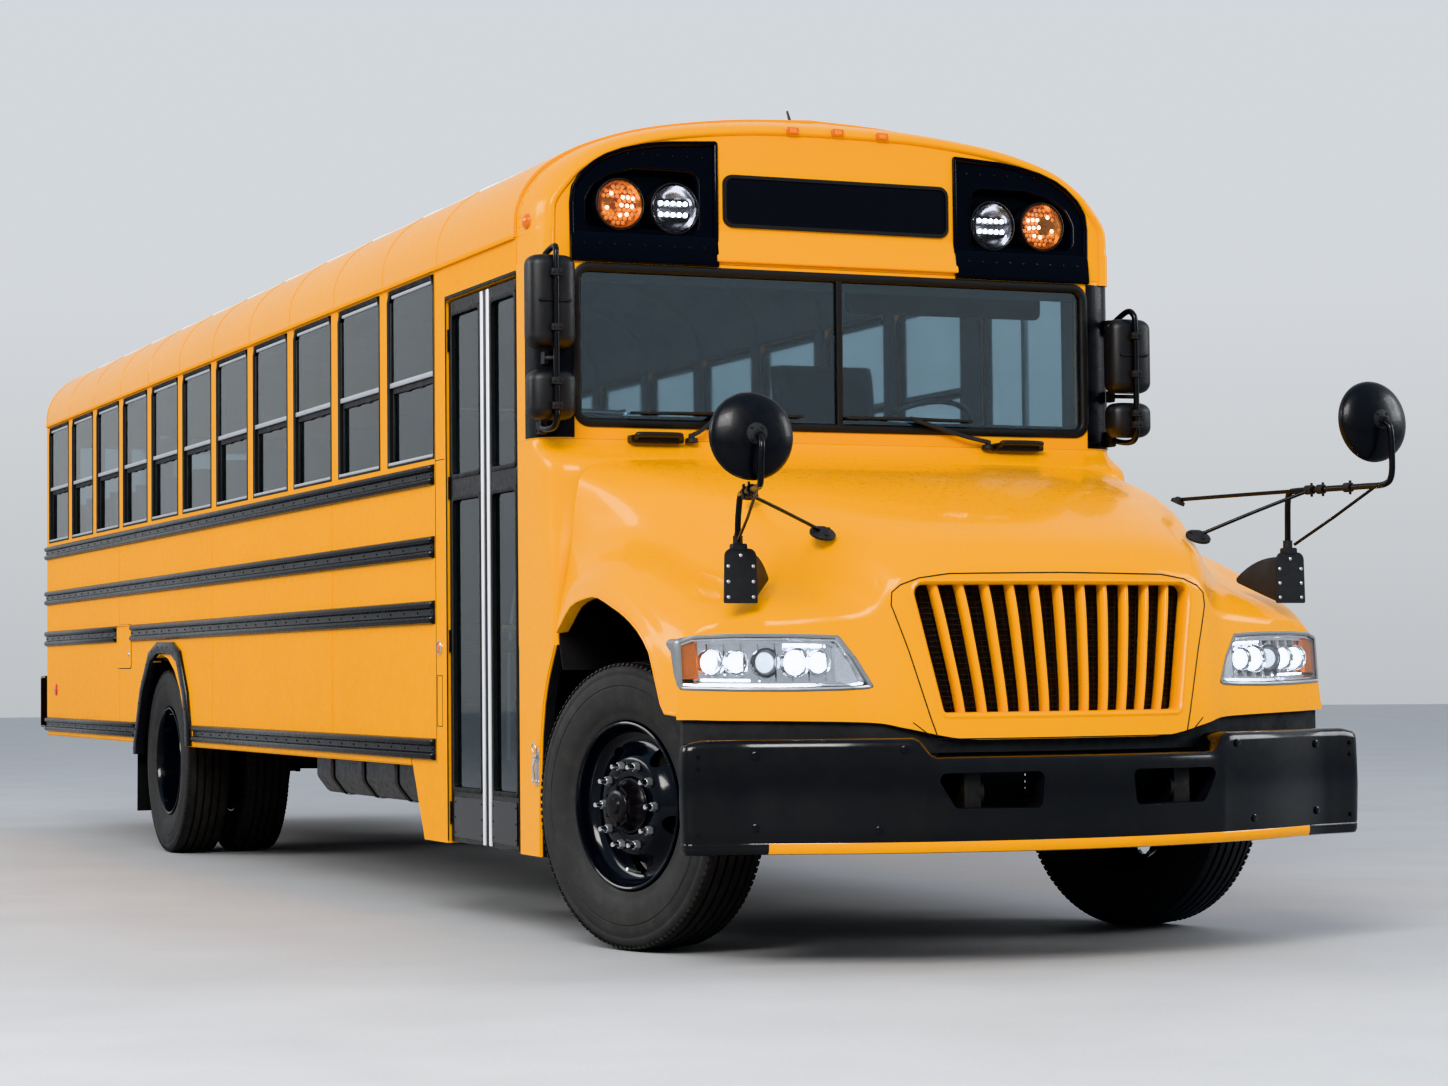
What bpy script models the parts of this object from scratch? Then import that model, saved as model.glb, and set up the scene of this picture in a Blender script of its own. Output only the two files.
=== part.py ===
# School bus with a tilting nose, built panel by panel.  Metres, +Z up.
# The front faces -Y, the bus's own left side is +X, the ground is Z = 0.
# Sizes below are written with Y = 0 at the front axle; everything is
# shifted by -Y_MID at the end, so the origin is under the middle of the bus.
import math

import bpy
import bmesh
from mathutils import Matrix, Vector

for _o in list(bpy.data.objects):
    bpy.data.objects.remove(_o, do_unlink=True)

# ----------------------------------------------------------------- sizes
Y_FRONT, Y_REAR = -1.4038, 10.255       # mirror head to rear bumper
Y_MID = (Y_FRONT + Y_REAR) / 2
GAP = 0.0003

HALF_W = 1.220                          # body half width
WALL = 0.045                            # wall, roof and door panel depth
INNER = HALF_W - WALL
Z_FLOOR, FLOOR_T = 1.100, 0.045
Z_SKIRT, Z_DRIP = 0.600, 2.5997
Y_SIDE0, Y_SIDE1 = 0.736, 10.000        # side walls, front and rear ends
Y_CAP1 = 0.7357                         # roof starts here, the cap ends
Y_TAIL = 10.060                         # outer face of the rear wall

WIN_N, WIN_Y0, WIN_PITCH, WIN_W = 11, 1.748, 0.7555, 0.6455
WIN_Z0, WIN_Z1 = 1.838, 2.588
DRIVER_WIN = (0.860, 1.560)
DOOR_Y = (0.736, 1.605)                 # service door opening
DOOR_Z = (0.300, 2.463)
DOOR_SPLIT = 1.139
ARCH_Y, ARCH_HALF, ARCH_TOP = 6.700, 0.600, 1.045   # rear wheel arch

WHEELBASE = 6.738
WHEEL_Z = 0.505
TYRE_R, TYRE_W, RIM_R = 0.505, 0.250, 0.290
KING_X = 0.930                          # kingpin, from the centre line
FRONT_X = 1.005                         # tyre middle plane, front
STEER_REST = math.radians(16.2)         # front wheels as parked
REAR_X = (1.065, 0.735)                 # tyre middle planes, outer and inner
SEG = 32                                # sides of a wheel

RAIL_X, RAIL_W, RAIL_Z0, RAIL_Z1 = 0.430, 0.080, 0.620, 0.870
RAIL_Y = (-1.130, 9.990)

# half section of the roof, from the drip edge up to the middle: x, z
ROOF = [(1.220, 2.600), (1.212, 2.705), (1.168, 2.800), (1.085, 2.882),
        (0.935, 2.962), (0.690, 3.035), (0.350, 3.085), (0.000, 3.105)]
HATCHES = [3.100, 7.600]                # middle of each roof hatch, Y
HATCH = 0.300                           # half size

SEAT_ROWS, SEAT_Y0, SEAT_PITCH = 11, 2.180, 0.712
SEAT_X = (0.195, 1.160)


# --------------------------------------------------------------- colours
def material(name, rgb, rough, metal=0.0, alpha=1.0):
    m = bpy.data.materials.new(name)
    m.use_nodes = True
    b = m.node_tree.nodes["Principled BSDF"]
    b.inputs["Base Color"].default_value = (*rgb, 1.0)
    b.inputs["Roughness"].default_value = rough
    b.inputs["Metallic"].default_value = metal
    b.inputs["Alpha"].default_value = alpha
    m.diffuse_color = (*rgb, alpha)
    return m


YELLOW = ((0.87, 0.42, 0.02), 0.28, 0.0)
WHITE = ((0.85, 0.86, 0.86), 0.35, 0.0)
BLACK = ((0.02, 0.02, 0.022), 0.35, 0.0)
TYRE = ((0.03, 0.03, 0.03), 0.85, 0.0)
STEEL = ((0.05, 0.05, 0.05), 0.6, 0.4)
CAST = ((0.12, 0.12, 0.12), 0.65, 0.6)
GLASS = ((0.10, 0.14, 0.16), 0.05, 0.0, 0.35)
VINYL = ((0.03, 0.04, 0.06), 0.6, 0.0)
GREY = ((0.28, 0.29, 0.30), 0.6, 0.0)
LAMP = ((0.80, 0.82, 0.85), 0.1, 0.0)
RED = ((0.60, 0.02, 0.02), 0.4, 0.0)


# --------------------------------------------------------------- helpers
def tidy(verts, faces):
    bm = bmesh.new()
    vs = [bm.verts.new(v) for v in verts]
    for f in faces:
        bm.faces.new([vs[i] for i in f])
    bmesh.ops.remove_doubles(bm, verts=bm.verts, dist=1e-6)
    bmesh.ops.recalc_face_normals(bm, faces=bm.faces)
    return bm


def add(name, solid, look, parent=None, at=(0, 0, 0), smooth=False):
    """One object from a (verts, faces) solid; its origin goes to `at`."""
    bm = tidy(*solid)
    bmesh.ops.translate(bm, verts=bm.verts, vec=-Vector(at))
    me = bpy.data.meshes.new(name)
    bm.to_mesh(me)
    bm.free()
    ob = bpy.data.objects.new(name, me)
    bpy.context.collection.objects.link(ob)
    ob.location = at
    me.materials.append(material(name, *look))
    if parent is not None:
        ob.parent = parent
        ob.location = Vector(at) - parent.location
    if smooth:
        me.shade_smooth()
        me.set_sharp_from_angle(angle=math.radians(35))
    return ob


def boolean(ob, solid, operation="DIFFERENCE"):
    """Cuts or joins one more solid (or several that do not touch)."""
    bm = tidy(*solid)
    me = bpy.data.meshes.new(ob.name + "_cut")
    bm.to_mesh(me)
    bm.free()
    tool = bpy.data.objects.new(ob.name + "_cut", me)
    bpy.context.collection.objects.link(tool)
    tool.hide_render = True
    tool.display_type = "WIRE"
    mod = ob.modifiers.new(operation.lower(), "BOOLEAN")
    mod.operation = operation
    mod.solver = "EXACT"
    mod.object = tool
    return ob


def join(*solids):
    verts, faces = [], []
    for v, f in solids:
        n = len(verts)
        verts += list(v)
        faces += [[i + n for i in g] for g in f]
    return verts, faces


def rings(sections, closed=False):
    """Solid through equal rings of points, capped unless closed."""
    n, m = len(sections[0]), len(sections)
    verts = [p for ring in sections for p in ring]
    faces = []
    for k in range(m if closed else m - 1):
        a, b = k * n, ((k + 1) % m) * n
        for i in range(n):
            j = (i + 1) % n
            faces.append([a + i, a + j, b + j, b + i])
    if not closed:
        faces += [list(range(n))[::-1], [i + (m - 1) * n for i in range(n)]]
    return verts, faces


def prism(points, axis, a, b):
    """Outline pushed along an axis.  Points are (y,z), (x,z) or (x,y)."""
    def place(p, t):
        return {"x": (t, p[0], p[1]), "y": (p[0], t, p[1]),
                "z": (p[0], p[1], t)}[axis]
    return rings([[place(p, a) for p in points], [place(p, b) for p in points]])


def box(x0, x1, y0, y1, z0, z1):
    return prism([(x0, y0), (x1, y0), (x1, y1), (x0, y1)], "z", z0, z1)


def turned(profile, centre, n=SEG, closed=True, phase=0.5):
    """Ring of (x offset, radius) points turned about the X direction."""
    cx, cy, cz = centre
    out = []
    for k in range(n):
        a = 2 * math.pi * (k + phase) / n
        out.append([(cx + x, cy + r * math.sin(a), cz + r * math.cos(a))
                    for x, r in profile])
    return rings(out, closed=True)


def rod(p, q, r, n=8):
    """Round bar between two points."""
    p, q = Vector(p), Vector(q)
    turn = (q - p).to_track_quat("Z", "Y")
    circle = [turn @ Vector((r * math.cos(2 * math.pi * k / n),
                             r * math.sin(2 * math.pi * k / n), 0))
              for k in range(n)]
    return rings([[tuple(p + c) for c in circle], [tuple(q + c) for c in circle]])


def pipe(points, r, n=8):
    """Round tube along a bent line, one ring at each point."""
    pts = [Vector(p) for p in points]
    out, side = [], None
    for i, p in enumerate(pts):
        a = (p - pts[i - 1]).normalized() if i else None
        b = (pts[i + 1] - p).normalized() if i < len(pts) - 1 else None
        d = ((a or b) + (b or a)).normalized()
        if side is None:
            side = d.orthogonal().normalized()
        side = (side - d * side.dot(d)).normalized()
        up = d.cross(side)
        out.append([tuple(p + (side * math.cos(2 * math.pi * k / n)
                               + up * math.sin(2 * math.pi * k / n)) * r)
                    for k in range(n)])
    return rings(out)


def inset(points, d):
    """Open line moved sideways by d (to its left), corner by corner."""
    pts = [Vector((*p, 0)) for p in points]
    out = []
    for i, p in enumerate(pts):
        ns = []
        if i:
            e = (p - pts[i - 1]).normalized()
            ns.append(Vector((-e.y, e.x, 0)))
        if i < len(pts) - 1:
            e = (pts[i + 1] - p).normalized()
            ns.append(Vector((-e.y, e.x, 0)))
        n = sum(ns, Vector()).normalized()
        out.append(tuple((p + n * d / max(0.5, n.dot(ns[0])))[:2]))
    return out


def both(points):
    """Half outline, widest first, ending on the middle; adds the other half."""
    return points + [(-x, z) for x, z in points[::-1] if x > 1e-9]


def flip(solid):
    v, f = solid
    return [(-p[0], p[1], p[2]) for p in v], f


def spin(solid, angle, at):
    m = Matrix.Translation(at) @ Matrix.Rotation(angle, 4, "Z") @ Matrix.Translation(-Vector(at))
    return [tuple(m @ Vector(p)) for p in solid[0]], solid[1]


def empty(name, at):
    e = bpy.data.objects.new(name, None)
    e.location = at
    bpy.context.collection.objects.link(e)
    return e


def lerp(a, b, t):
    return a + (b - a) * t


# ------------------------------------------------------------- the frame
# ladder frame: two open channels and the members between them
def channel(s):
    x0, x1, z0, z1, t = RAIL_X, RAIL_X - RAIL_W, RAIL_Z0, RAIL_Z1, 0.014
    out = [(x0, z0), (x0, z1), (x1, z1), (x1, z1 - t), (x0 - t, z1 - t),
           (x0 - t, z0 + t), (x1, z0 + t), (x1, z0)]
    return prism([(s * x, z) for x, z in out], "y", *RAIL_Y)


MEMBERS = [-1.02, 0.86, 2.20, 3.60, 5.00, 6.10, 7.45, 8.70, 9.90]   # Y
frame = add("chassis_frame", join(channel(1), channel(-1)), STEEL)
boolean(frame, join(*[box(-RAIL_X + 0.006, RAIL_X - 0.006, y - 0.04, y + 0.04,
                          RAIL_Z1 - 0.070, RAIL_Z1 - 0.004) for y in MEMBERS]),
        "UNION")
# horns that carry the front bumper
boolean(frame, join(box(0.360, 0.420, -1.285, -1.100, 0.450, 0.660),
                    box(-0.420, -0.360, -1.285, -1.100, 0.450, 0.660)), "UNION")
# cross sills that carry the floor
boolean(frame, join(*[box(-1.160, 1.160, y - 0.03, y + 0.03, RAIL_Z1 - 0.006,
                          Z_FLOOR - FLOOR_T - GAP)
                      for y in (2.20, 3.60, 5.00, 8.70, 9.80)]), "UNION")

engine = add("engine", box(-0.320, 0.320, -0.860, 0.300, 0.660, 1.340), CAST)
add("driveshaft", rod((0, 0.330, 0.735), (0, 6.500, 0.530), 0.045, 12), STEEL,
    smooth=True)
add("fuel_tank", prism([(-1.120, 0.640), (-1.120, 0.480), (-1.060, 0.420),
                        (-0.560, 0.420), (-0.500, 0.480), (-0.500, 0.850),
                        (-1.120, 0.850)], "y", 2.350, 3.900), STEEL)
add("exhaust", pipe([(0.300, 0.460, 0.560), (0.240, 0.900, 0.520),
                     (0.240, 5.400, 0.520), (0.250, 6.000, 0.930 - 0.41),
                     (0.250, 6.300, 0.400), (0.250, 7.000, 0.300),
                     (0.560, 7.700, 0.480), (0.640, 10.150, 0.500)], 0.050, 10),
    STEEL, smooth=True)


def leaf(x, w, y, half, zmid, zend, t):
    """Arched spring: low in the middle, its ends at the frame."""
    n = 8
    low, top = [], []
    for k in range(n + 1):
        u = -1 + 2 * k / n
        z = zmid + (zend - zmid) * u * u
        low.append((y + half * u, z))
        top.append((y + half * u, z + t * (1.4 - 0.9 * abs(u))))
    return prism(low + top[::-1], "x", x - w / 2, x + w / 2)


front = add("front_axle", box(-0.800, 0.800, -0.050, 0.050, 0.390, 0.480), STEEL)
boolean(front, join(*[flip(s) if k else s for k in (0, 1) for s in [
    rings([[(x, -w, z0), (x, w, z0), (x, w, z1), (x, -w, z1)]
           for x, w, z0, z1 in ((0.760, 0.045, 0.395, 0.475),
                                (0.880, 0.045, 0.445, 0.530),
                                (0.965, 0.045, 0.450, 0.530))])]]), "UNION")
boolean(front, join(leaf(0.390, 0.072, 0.0, 0.700, 0.470, 0.575, 0.030),
                    leaf(-0.390, 0.072, 0.0, 0.700, 0.470, 0.575, 0.030)),
        "UNION")

rear = add("rear_axle", turned([(-0.860, 0.001), (-0.860, 0.055), (-0.200, 0.065),
                                (-0.150, 0.150), (-0.060, 0.190), (0.060, 0.190),
                                (0.150, 0.150), (0.200, 0.065), (0.860, 0.055),
                                (0.860, 0.001)], (0, WHEELBASE, WHEEL_Z), 16),
           STEEL, smooth=True)
boolean(rear, join(leaf(0.500, 0.076, WHEELBASE, 0.750, 0.545, 0.640, 0.045),
                   leaf(-0.500, 0.076, WHEELBASE, 0.750, 0.545, 0.640, 0.045)),
        "UNION")

# ----------------------------------------------------------------- body
# stairs: x of each riser and z of each tread, from the door inwards
TREADS = [(-1.165, 0.330), (-0.930, 0.590), (-0.700, 0.845), (-0.470, Z_FLOOR)]


def stairs(t=0.030):
    top = []
    for i, (x, z) in enumerate(TREADS):
        if i:
            top.append((x, TREADS[i - 1][1]))
        top.append((x, z))
    top.append((-0.420, Z_FLOOR))
    low = [(-0.420, Z_FLOOR - FLOOR_T)]
    for i in range(len(TREADS) - 1, 0, -1):
        x, z = TREADS[i - 1][0], TREADS[i - 1][1]
        low.append((TREADS[i][0] + t, Z_FLOOR - FLOOR_T if i == 3 else TREADS[i][1] - t))
        low.append((TREADS[i][0] + t, z - t))
    low.append((TREADS[0][0], TREADS[0][1] - t))
    return prism(top + low, "y", DOOR_Y[0] + 0.030, DOOR_Y[1] - 0.020)


floor = add("floor", box(-1.170, 1.170, 0.600, 9.995, Z_FLOOR - FLOOR_T, Z_FLOOR),
            GREY)
boolean(floor, box(-1.300, -0.440, DOOR_Y[0] + 0.020, DOOR_Y[1] - 0.010, 0.9, 1.3))
boolean(floor, stairs(), "UNION")

# side walls: outline in (y, z)
arch = [(ARCH_Y + ARCH_HALF * math.cos(a), max(Z_SKIRT, 0.505 + (ARCH_TOP - 0.505 + 0.045) * math.sin(a)))
        for a in [math.radians(d) for d in range(10, 171, 16)]]
arch = [(ARCH_Y + ARCH_HALF, Z_SKIRT)] + arch + [(ARCH_Y - ARCH_HALF, Z_SKIRT)]
right = ([(Y_SIDE0 + GAP, Z_DRIP), (Y_SIDE1, Z_DRIP), (Y_SIDE1, Z_SKIRT)] + arch +
         [(2.065, Z_SKIRT), (1.907, DOOR_Z[0]), (DOOR_Y[1], DOOR_Z[0]),
          (DOOR_Y[1], DOOR_Z[1]), (Y_SIDE0 + GAP, DOOR_Z[1])])
left = ([(Y_SIDE0 + GAP, Z_DRIP), (Y_SIDE1, Z_DRIP), (Y_SIDE1, Z_SKIRT)] + arch +
        [(Y_SIDE0 + GAP, Z_SKIRT)])
holes = [(WIN_Y0 + k * WIN_PITCH, WIN_Y0 + k * WIN_PITCH + WIN_W)
         for k in range(WIN_N)]
wall_r = add("side_wall_right", prism(right, "x", -HALF_W, -INNER), YELLOW)
boolean(wall_r, join(*[box(-1.3, -1.1, a, b, WIN_Z0, WIN_Z1) for a, b in holes]))
wall_l = add("side_wall_left", prism(left, "x", INNER, HALF_W), YELLOW)
boolean(wall_l, join(*[box(1.1, 1.3, a, b, WIN_Z0, WIN_Z1)
                       for a, b in holes + [DRIVER_WIN]]))

# panes: one long strip behind each row of windows
strip = (WIN_Z0 - 0.020, WIN_Z1 + 0.010)
add("windows_right", box(-INNER + GAP, -INNER + 0.006, WIN_Y0 - 0.020,
                         holes[-1][1] + 0.020, *strip), GLASS)
add("windows_left", box(INNER - 0.006, INNER - GAP, DRIVER_WIN[0] - 0.020,
                        holes[-1][1] + 0.020, *strip), GLASS)

# roof shell between the front cap and the rear wall
outer = both(ROOF)
inner = [(x, max(z, ROOF[0][1])) for x, z in inset(outer, WALL)]
roof = add("roof", prism(outer + inner[::-1], "y", Y_CAP1 + GAP, Y_SIDE1), YELLOW,
           smooth=True)
boolean(roof, join(*[box(-HATCH, HATCH, y - HATCH, y + HATCH, 2.9, 3.3)
                     for y in HATCHES]))


def outline(d, low, y):
    """Closed cross-section of the body, drawn in by d, from `low` up."""
    pts = [(HALF_W - d, low)] + inset(both(ROOF), d) + [(-HALF_W + d, low)]
    return [(x, y, z) for x, z in pts]


# front cap: brow, lamp pods and sign panel above the windscreen
Z_CAP = 2.500
cap = add("front_cap", rings([outline(0.055, Z_CAP, 0.500), outline(0.016, Z_CAP, 0.530),
                              outline(0.0, Z_CAP, 0.590), outline(0.0, Z_CAP, Y_CAP1)]),
          YELLOW, smooth=True)
boolean(cap, rings([outline(WALL, 2.3, 0.560), outline(WALL, 2.3, 0.900)]))
# the recess that holds two lamps, one each side: x, z
POD = [(0.505, 2.525), (1.085, 2.525), (1.085, 2.720), (1.040, 2.810),
       (0.955, 2.885), (0.800, 2.930), (0.505, 2.955)]
boolean(cap, join(prism(POD, "y", 0.4, 0.530), flip(prism(POD, "y", 0.4, 0.530))))

# rear wall with the doorway and two windows
RDOOR_X, RDOOR_Z = 0.470, (1.130, 2.560)
back = add("rear_wall", rings([outline(0.0, Z_SKIRT + 0.04, Y_SIDE1 + GAP),
                               outline(0.0, Z_SKIRT + 0.04, 10.030),
                               outline(0.014, Z_SKIRT + 0.04, 10.050),
                               outline(0.045, Z_SKIRT + 0.04, Y_TAIL)]),
           YELLOW, smooth=True)
boolean(back, join(box(-RDOOR_X, RDOOR_X, 9.9, 10.2, *RDOOR_Z),
                   box(0.560, 1.080, 9.9, 10.2, 1.780, 2.480),
                   box(-1.080, -0.560, 9.9, 10.2, 1.780, 2.480)))

# corner-to-corner shell under the cap, in plan: x, y from the right side
SCREEN = [(-1.220, 0.736), (-1.220, 0.620), (-1.204, 0.560), (-1.160, 0.516),
          (-1.100, 0.500), (1.100, 0.500), (1.160, 0.516), (1.204, 0.560),
          (1.220, 0.620), (1.220, 0.736)]
COWL = [(-1.220, 0.736), (-1.220, 0.560), (-1.204, 0.450), (-1.160, 0.365),
        (-1.100, 0.335), (1.100, 0.335), (1.160, 0.365), (1.204, 0.450),
        (1.220, 0.560), (1.220, 0.736)]
Z_COWL0, Z_COWL1, Z_SILL = 1.080, 1.735, 1.830
GLASS_X, GLASS_Z = 1.065, (1.895, 2.465)


def band(plan, z):
    return [(x, y, z) for x, y in plan + inset(plan, WALL)[::-1]]


posts = add("windscreen_frame", rings([band(SCREEN, Z_SILL + GAP),
                                       band(SCREEN, Z_CAP - GAP)]), YELLOW)
boolean(posts, box(-GLASS_X, GLASS_X, 0.3, 0.8, *GLASS_Z))
add("windscreen", box(-GLASS_X + GAP, GLASS_X - GAP, 0.528, 0.536,
                      GLASS_Z[0] + GAP, GLASS_Z[1] - GAP), GLASS)

cowl = add("cowl", rings([band(COWL, Z_COWL0), band(COWL, Z_COWL1),
                          band(SCREEN, Z_SILL)]), YELLOW)
KICK = [(0.736, 0.300), (0.484, 0.300), (0.484, 0.940), (0.440, Z_COWL0 + 0.03),
        (0.736, Z_COWL0 + 0.03)]
low_panel = prism([(y, z) for y, z in KICK], "x", INNER, HALF_W - 0.002)
boolean(cowl, join(low_panel, flip(low_panel)), "UNION")

add("dashboard", prism([(0.600, 1.500), (0.600, 1.800), (0.700, 1.850),
                        (0.860, 1.780), (0.900, 1.560), (0.860, 1.420)], "x",
                       -0.350, 1.100), GREY)

# bench seats: cushion and back in one outline, on legs, on one long rail
def bench(y):
    z = Z_FLOOR
    pts = [(y, z + 0.36), (y - 0.010, z + 0.46), (y + 0.330, z + 0.42),
           (y + 0.400, z + 1.00), (y + 0.480, z + 1.00), (y + 0.430, z + 0.32)]
    return prism(pts, "x", SEAT_X[0], SEAT_X[1])


def seats(name, side):
    turn = flip if side < 0 else (lambda s: s)
    rows = [SEAT_Y0 + k * SEAT_PITCH for k in range(SEAT_ROWS)]
    ob = add(name, join(*[turn(bench(y)) for y in rows]), VINYL)
    boolean(ob, join(*[turn(box(0.320, 0.380, y + 0.06, y + 0.38, Z_FLOOR + 0.02,
                                Z_FLOOR + 0.40)) for y in rows]), "UNION")
    boolean(ob, turn(box(0.300, 0.400, rows[0] + 0.02, rows[-1] + 0.42,
                         Z_FLOOR + GAP, Z_FLOOR + 0.030)), "UNION")


seats("seats_right", -1)
seats("seats_left", 1)
chair = add("driver_seat", prism([(1.500, 1.500), (1.490, 1.600), (1.880, 1.580),
                                  (1.960, 2.300), (2.060, 2.300), (1.990, 1.500)],
                                 "x", 0.400, 0.860), VINYL)
boolean(chair, box(0.500, 0.760, 1.580, 1.880, Z_FLOOR + GAP, 1.520), "UNION")

# --------------------------------------------------------------- bumpers
# one half of the front bumper in plan and its top edge: x, y, top z
BUMPER = [(1.276, -1.010, 0.752), (1.050, -1.078, 0.752), (0.800, -1.199, 0.752),
          (0.591, -1.274, 0.752), (0.516, -1.296, 0.690), (0.260, -1.347, 0.690),
          (0.000, -1.365, 0.690)]
BUMPER_Z0 = 0.384


def bumper_rings():
    half = BUMPER + [(-x, y, z) for x, y, z in BUMPER[-2::-1]]
    plan = [(x, y) for x, y, _ in half]
    t, d = 0.020, 0.130
    thin, deep = inset(plan, -t), inset(plan, -d)
    out = []
    for (x, y, z), (tx, ty), (dx, dy) in zip(half, thin, deep):
        z0 = BUMPER_Z0
        out.append([(x, y, z0), (x, y, z), (dx, dy, z), (dx, dy, z - t),
                    (tx, ty, z - t), (tx, ty, z0 + t), (dx, dy, z0 + t),
                    (dx, dy, z0)])
    return out


bumper = add("front_bumper", rings(bumper_rings()), BLACK)
TOW = [(0.165, 0.640), (0.530, 0.637), (0.462, 0.525), (0.176, 0.523)]
hole = prism(TOW, "y", -1.5, -1.2)
boolean(bumper, join(hole, flip(hole)))

rb = [(Y_TAIL + 0.012, 0.640), (Y_REAR, 0.640), (Y_REAR, 0.980),
      (Y_TAIL + 0.012, 0.980), (Y_TAIL + 0.012, 0.960), (Y_REAR - 0.02, 0.960),
      (Y_REAR - 0.02, 0.660), (Y_TAIL + 0.012, 0.660)]
add("rear_bumper", prism(rb, "x", -1.225, 1.225), BLACK)


# --------------------------------------------------------------- mirrors
def side_mirror(name, side, x, y, top, low):
    """Two heads on a bent tube: x and y of the middle, heads' z ranges."""
    turn = flip if side < 0 else (lambda s: s)

    def head(z0, z1, w):
        return prism([(x - w, y - 0.040), (x - w * 0.6, y - 0.055),
                      (x + w * 0.6, y - 0.055), (x + w, y - 0.040),
                      (x + w, y + 0.030), (x - w, y + 0.030)], "z", z0, z1)
    ob = add(name, turn(join(head(*top, 0.092), head(*low, 0.090))), BLACK)
    z0, z1 = max(low[0] - 0.035, 1.856), top[1] + 0.030
    boolean(ob, turn(pipe([(1.200, 0.525, z0 + 0.02), (1.215, y + 0.030, z0),
                           (x, y - 0.030, z0 + 0.01), (x, y - 0.035, low[0] + 0.02),
                           (x, y - 0.035, z1 - 0.04), (x - 0.010, y - 0.020, z1),
                           (1.200, 0.525, z1 - 0.05)], 0.012)), "UNION")
    return ob


side_mirror("side_mirror_right", -1, 1.208, 0.400, (2.150, 2.490), (1.890, 2.070))
side_mirror("side_mirror_left", 1, 1.208, 0.400, (2.050, 2.340), (1.875, 2.010))


# ---------------------------------------------------------------- wheels
def tyre_profile(side):
    """Ring section of a tyre: x offset, radius."""
    w, r0, r1 = TYRE_W / 2, RIM_R + 0.003, TYRE_R / math.cos(math.pi / SEG)
    return [(w - 0.030, r0), (w, r0 + 0.060), (w, r1 - 0.080), (w - 0.020, r1 - 0.012),
            (w - 0.040, r1), (-w + 0.040, r1), (-w + 0.020, r1 - 0.012),
            (-w, r1 - 0.080), (-w, r0 + 0.060), (-w + 0.030, r0)]


def front_rim(s):
    """Outwards is +x: barrel, and a disc that stands out in the middle."""
    o = 0.118
    return [(o, RIM_R), (o, RIM_R - 0.022), (0.060, 0.248), (0.045, 0.190),
            (0.095, 0.160), (0.095, 0.090), (0.135, 0.080), (0.135, 0.0005),
            (0.072, 0.0005), (0.072, 0.150), (0.030, 0.180), (0.036, 0.262),
            (-o, RIM_R - 0.022), (-o, RIM_R)]


def side_of(name):
    return 1 if name.endswith("left") else -1


tyre_solid = turned(tyre_profile(1), (0, 0, 0))
for name in ("left", "right"):
    s = side_of(name)
    king = Vector((s * KING_X, 0, 0))
    hub = king + Matrix.Rotation(STEER_REST, 3, "Z") @ Vector((s * (FRONT_X - KING_X), 0, 0))
    pivot = empty("steering_pivot_" + name, king)

    def placed(solid, centre):
        solid = solid if s > 0 else flip(solid)
        return [tuple(Matrix.Rotation(STEER_REST, 3, "Z") @ Vector(p) + centre)
                for p in solid[0]], solid[1]

    axle_c = Vector((hub.x, hub.y, WHEEL_Z))
    t = add("front_tyre_" + name, placed(tyre_solid, axle_c), TYRE, at=axle_c, smooth=True)
    r = add("front_rim_" + name, placed(turned(front_rim(s), (0, 0, 0)), axle_c), BLACK,
            at=axle_c, smooth=True)
    # stub axle between two ears, and the arm for the tie rod
    k0 = Vector((king.x, 0, 0))
    ears = join(box(-0.040, 0.090, -0.040, 0.040, 0.538, 0.566),
                box(-0.040, 0.090, -0.040, 0.040, 0.412, 0.440))
    ob = add("knuckle_" + name, placed(join(box(0.076, 0.098, -0.060, 0.060, 0.405, 0.605)), k0),
             CAST, parent=pivot, at=tuple(king))
    boolean(ob, placed(ears, k0), "UNION")
    boolean(ob, placed(rod((0.090, 0, WHEEL_Z), (0.140, 0, WHEEL_Z), 0.040, 12), k0), "UNION")
    boolean(ob, placed(box(-0.025, 0.025, 0.030, 0.200, 0.415, 0.437), k0), "UNION")

    for where, x in zip(("outer", "inner"), REAR_X):
        c = (s * x, WHEELBASE, WHEEL_Z)
        v = [(p[0] + c[0], p[1] + c[1], p[2] + c[2]) for p in tyre_solid[0]]
        add("rear_tyre_%s_%s" % (where, name), (v, tyre_solid[1]), TYRE, at=c, smooth=True)
    # both rims and the deep discs, as one turned piece: x from the middle, radius
    a, b, o = REAR_X[0], REAR_X[1], 0.118
    prof = [(a + o, RIM_R), (a + o, RIM_R - 0.022), (a - 0.060, 0.250), (a - 0.120, 0.215),
            (a - 0.120, 0.130), (a - 0.090, 0.120), (a + 0.040, 0.110), (a + 0.040, 0.0005),
            (0.866, 0.0005), (0.866, 0.130), (b + 0.120, 0.215), (b + 0.060, 0.250),
            (b - o, RIM_R - 0.022), (b - o, RIM_R), (b + o, RIM_R), (b + o, 0.262),
            (a - o, 0.262), (a - o, RIM_R)]
    c = (0, WHEELBASE, WHEEL_Z)
    solid = turned(prof, c)
    add("rear_rims_" + name, solid if s > 0 else flip(solid), BLACK,
        at=(s * a, WHEELBASE, WHEEL_Z), smooth=True)

# the rod between the two steering arms, level with the axle at rest
ARM = Matrix.Rotation(STEER_REST, 3, "Z") @ Vector((0, 0.170, 0))
ball_l = Vector((KING_X + ARM.x, ARM.y, 0.395))
ball_r = Vector((-KING_X + ARM.x, ARM.y, 0.395))
tie = add("tie_rod", rod(ball_r, ball_l, 0.014), STEEL, at=tuple(ball_l))
boolean(tie, join(*[rod((p.x, p.y, 0.379), (p.x, p.y, 0.411), 0.026, 12)
                    for p in (ball_l, ball_r)]), "UNION")

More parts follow.
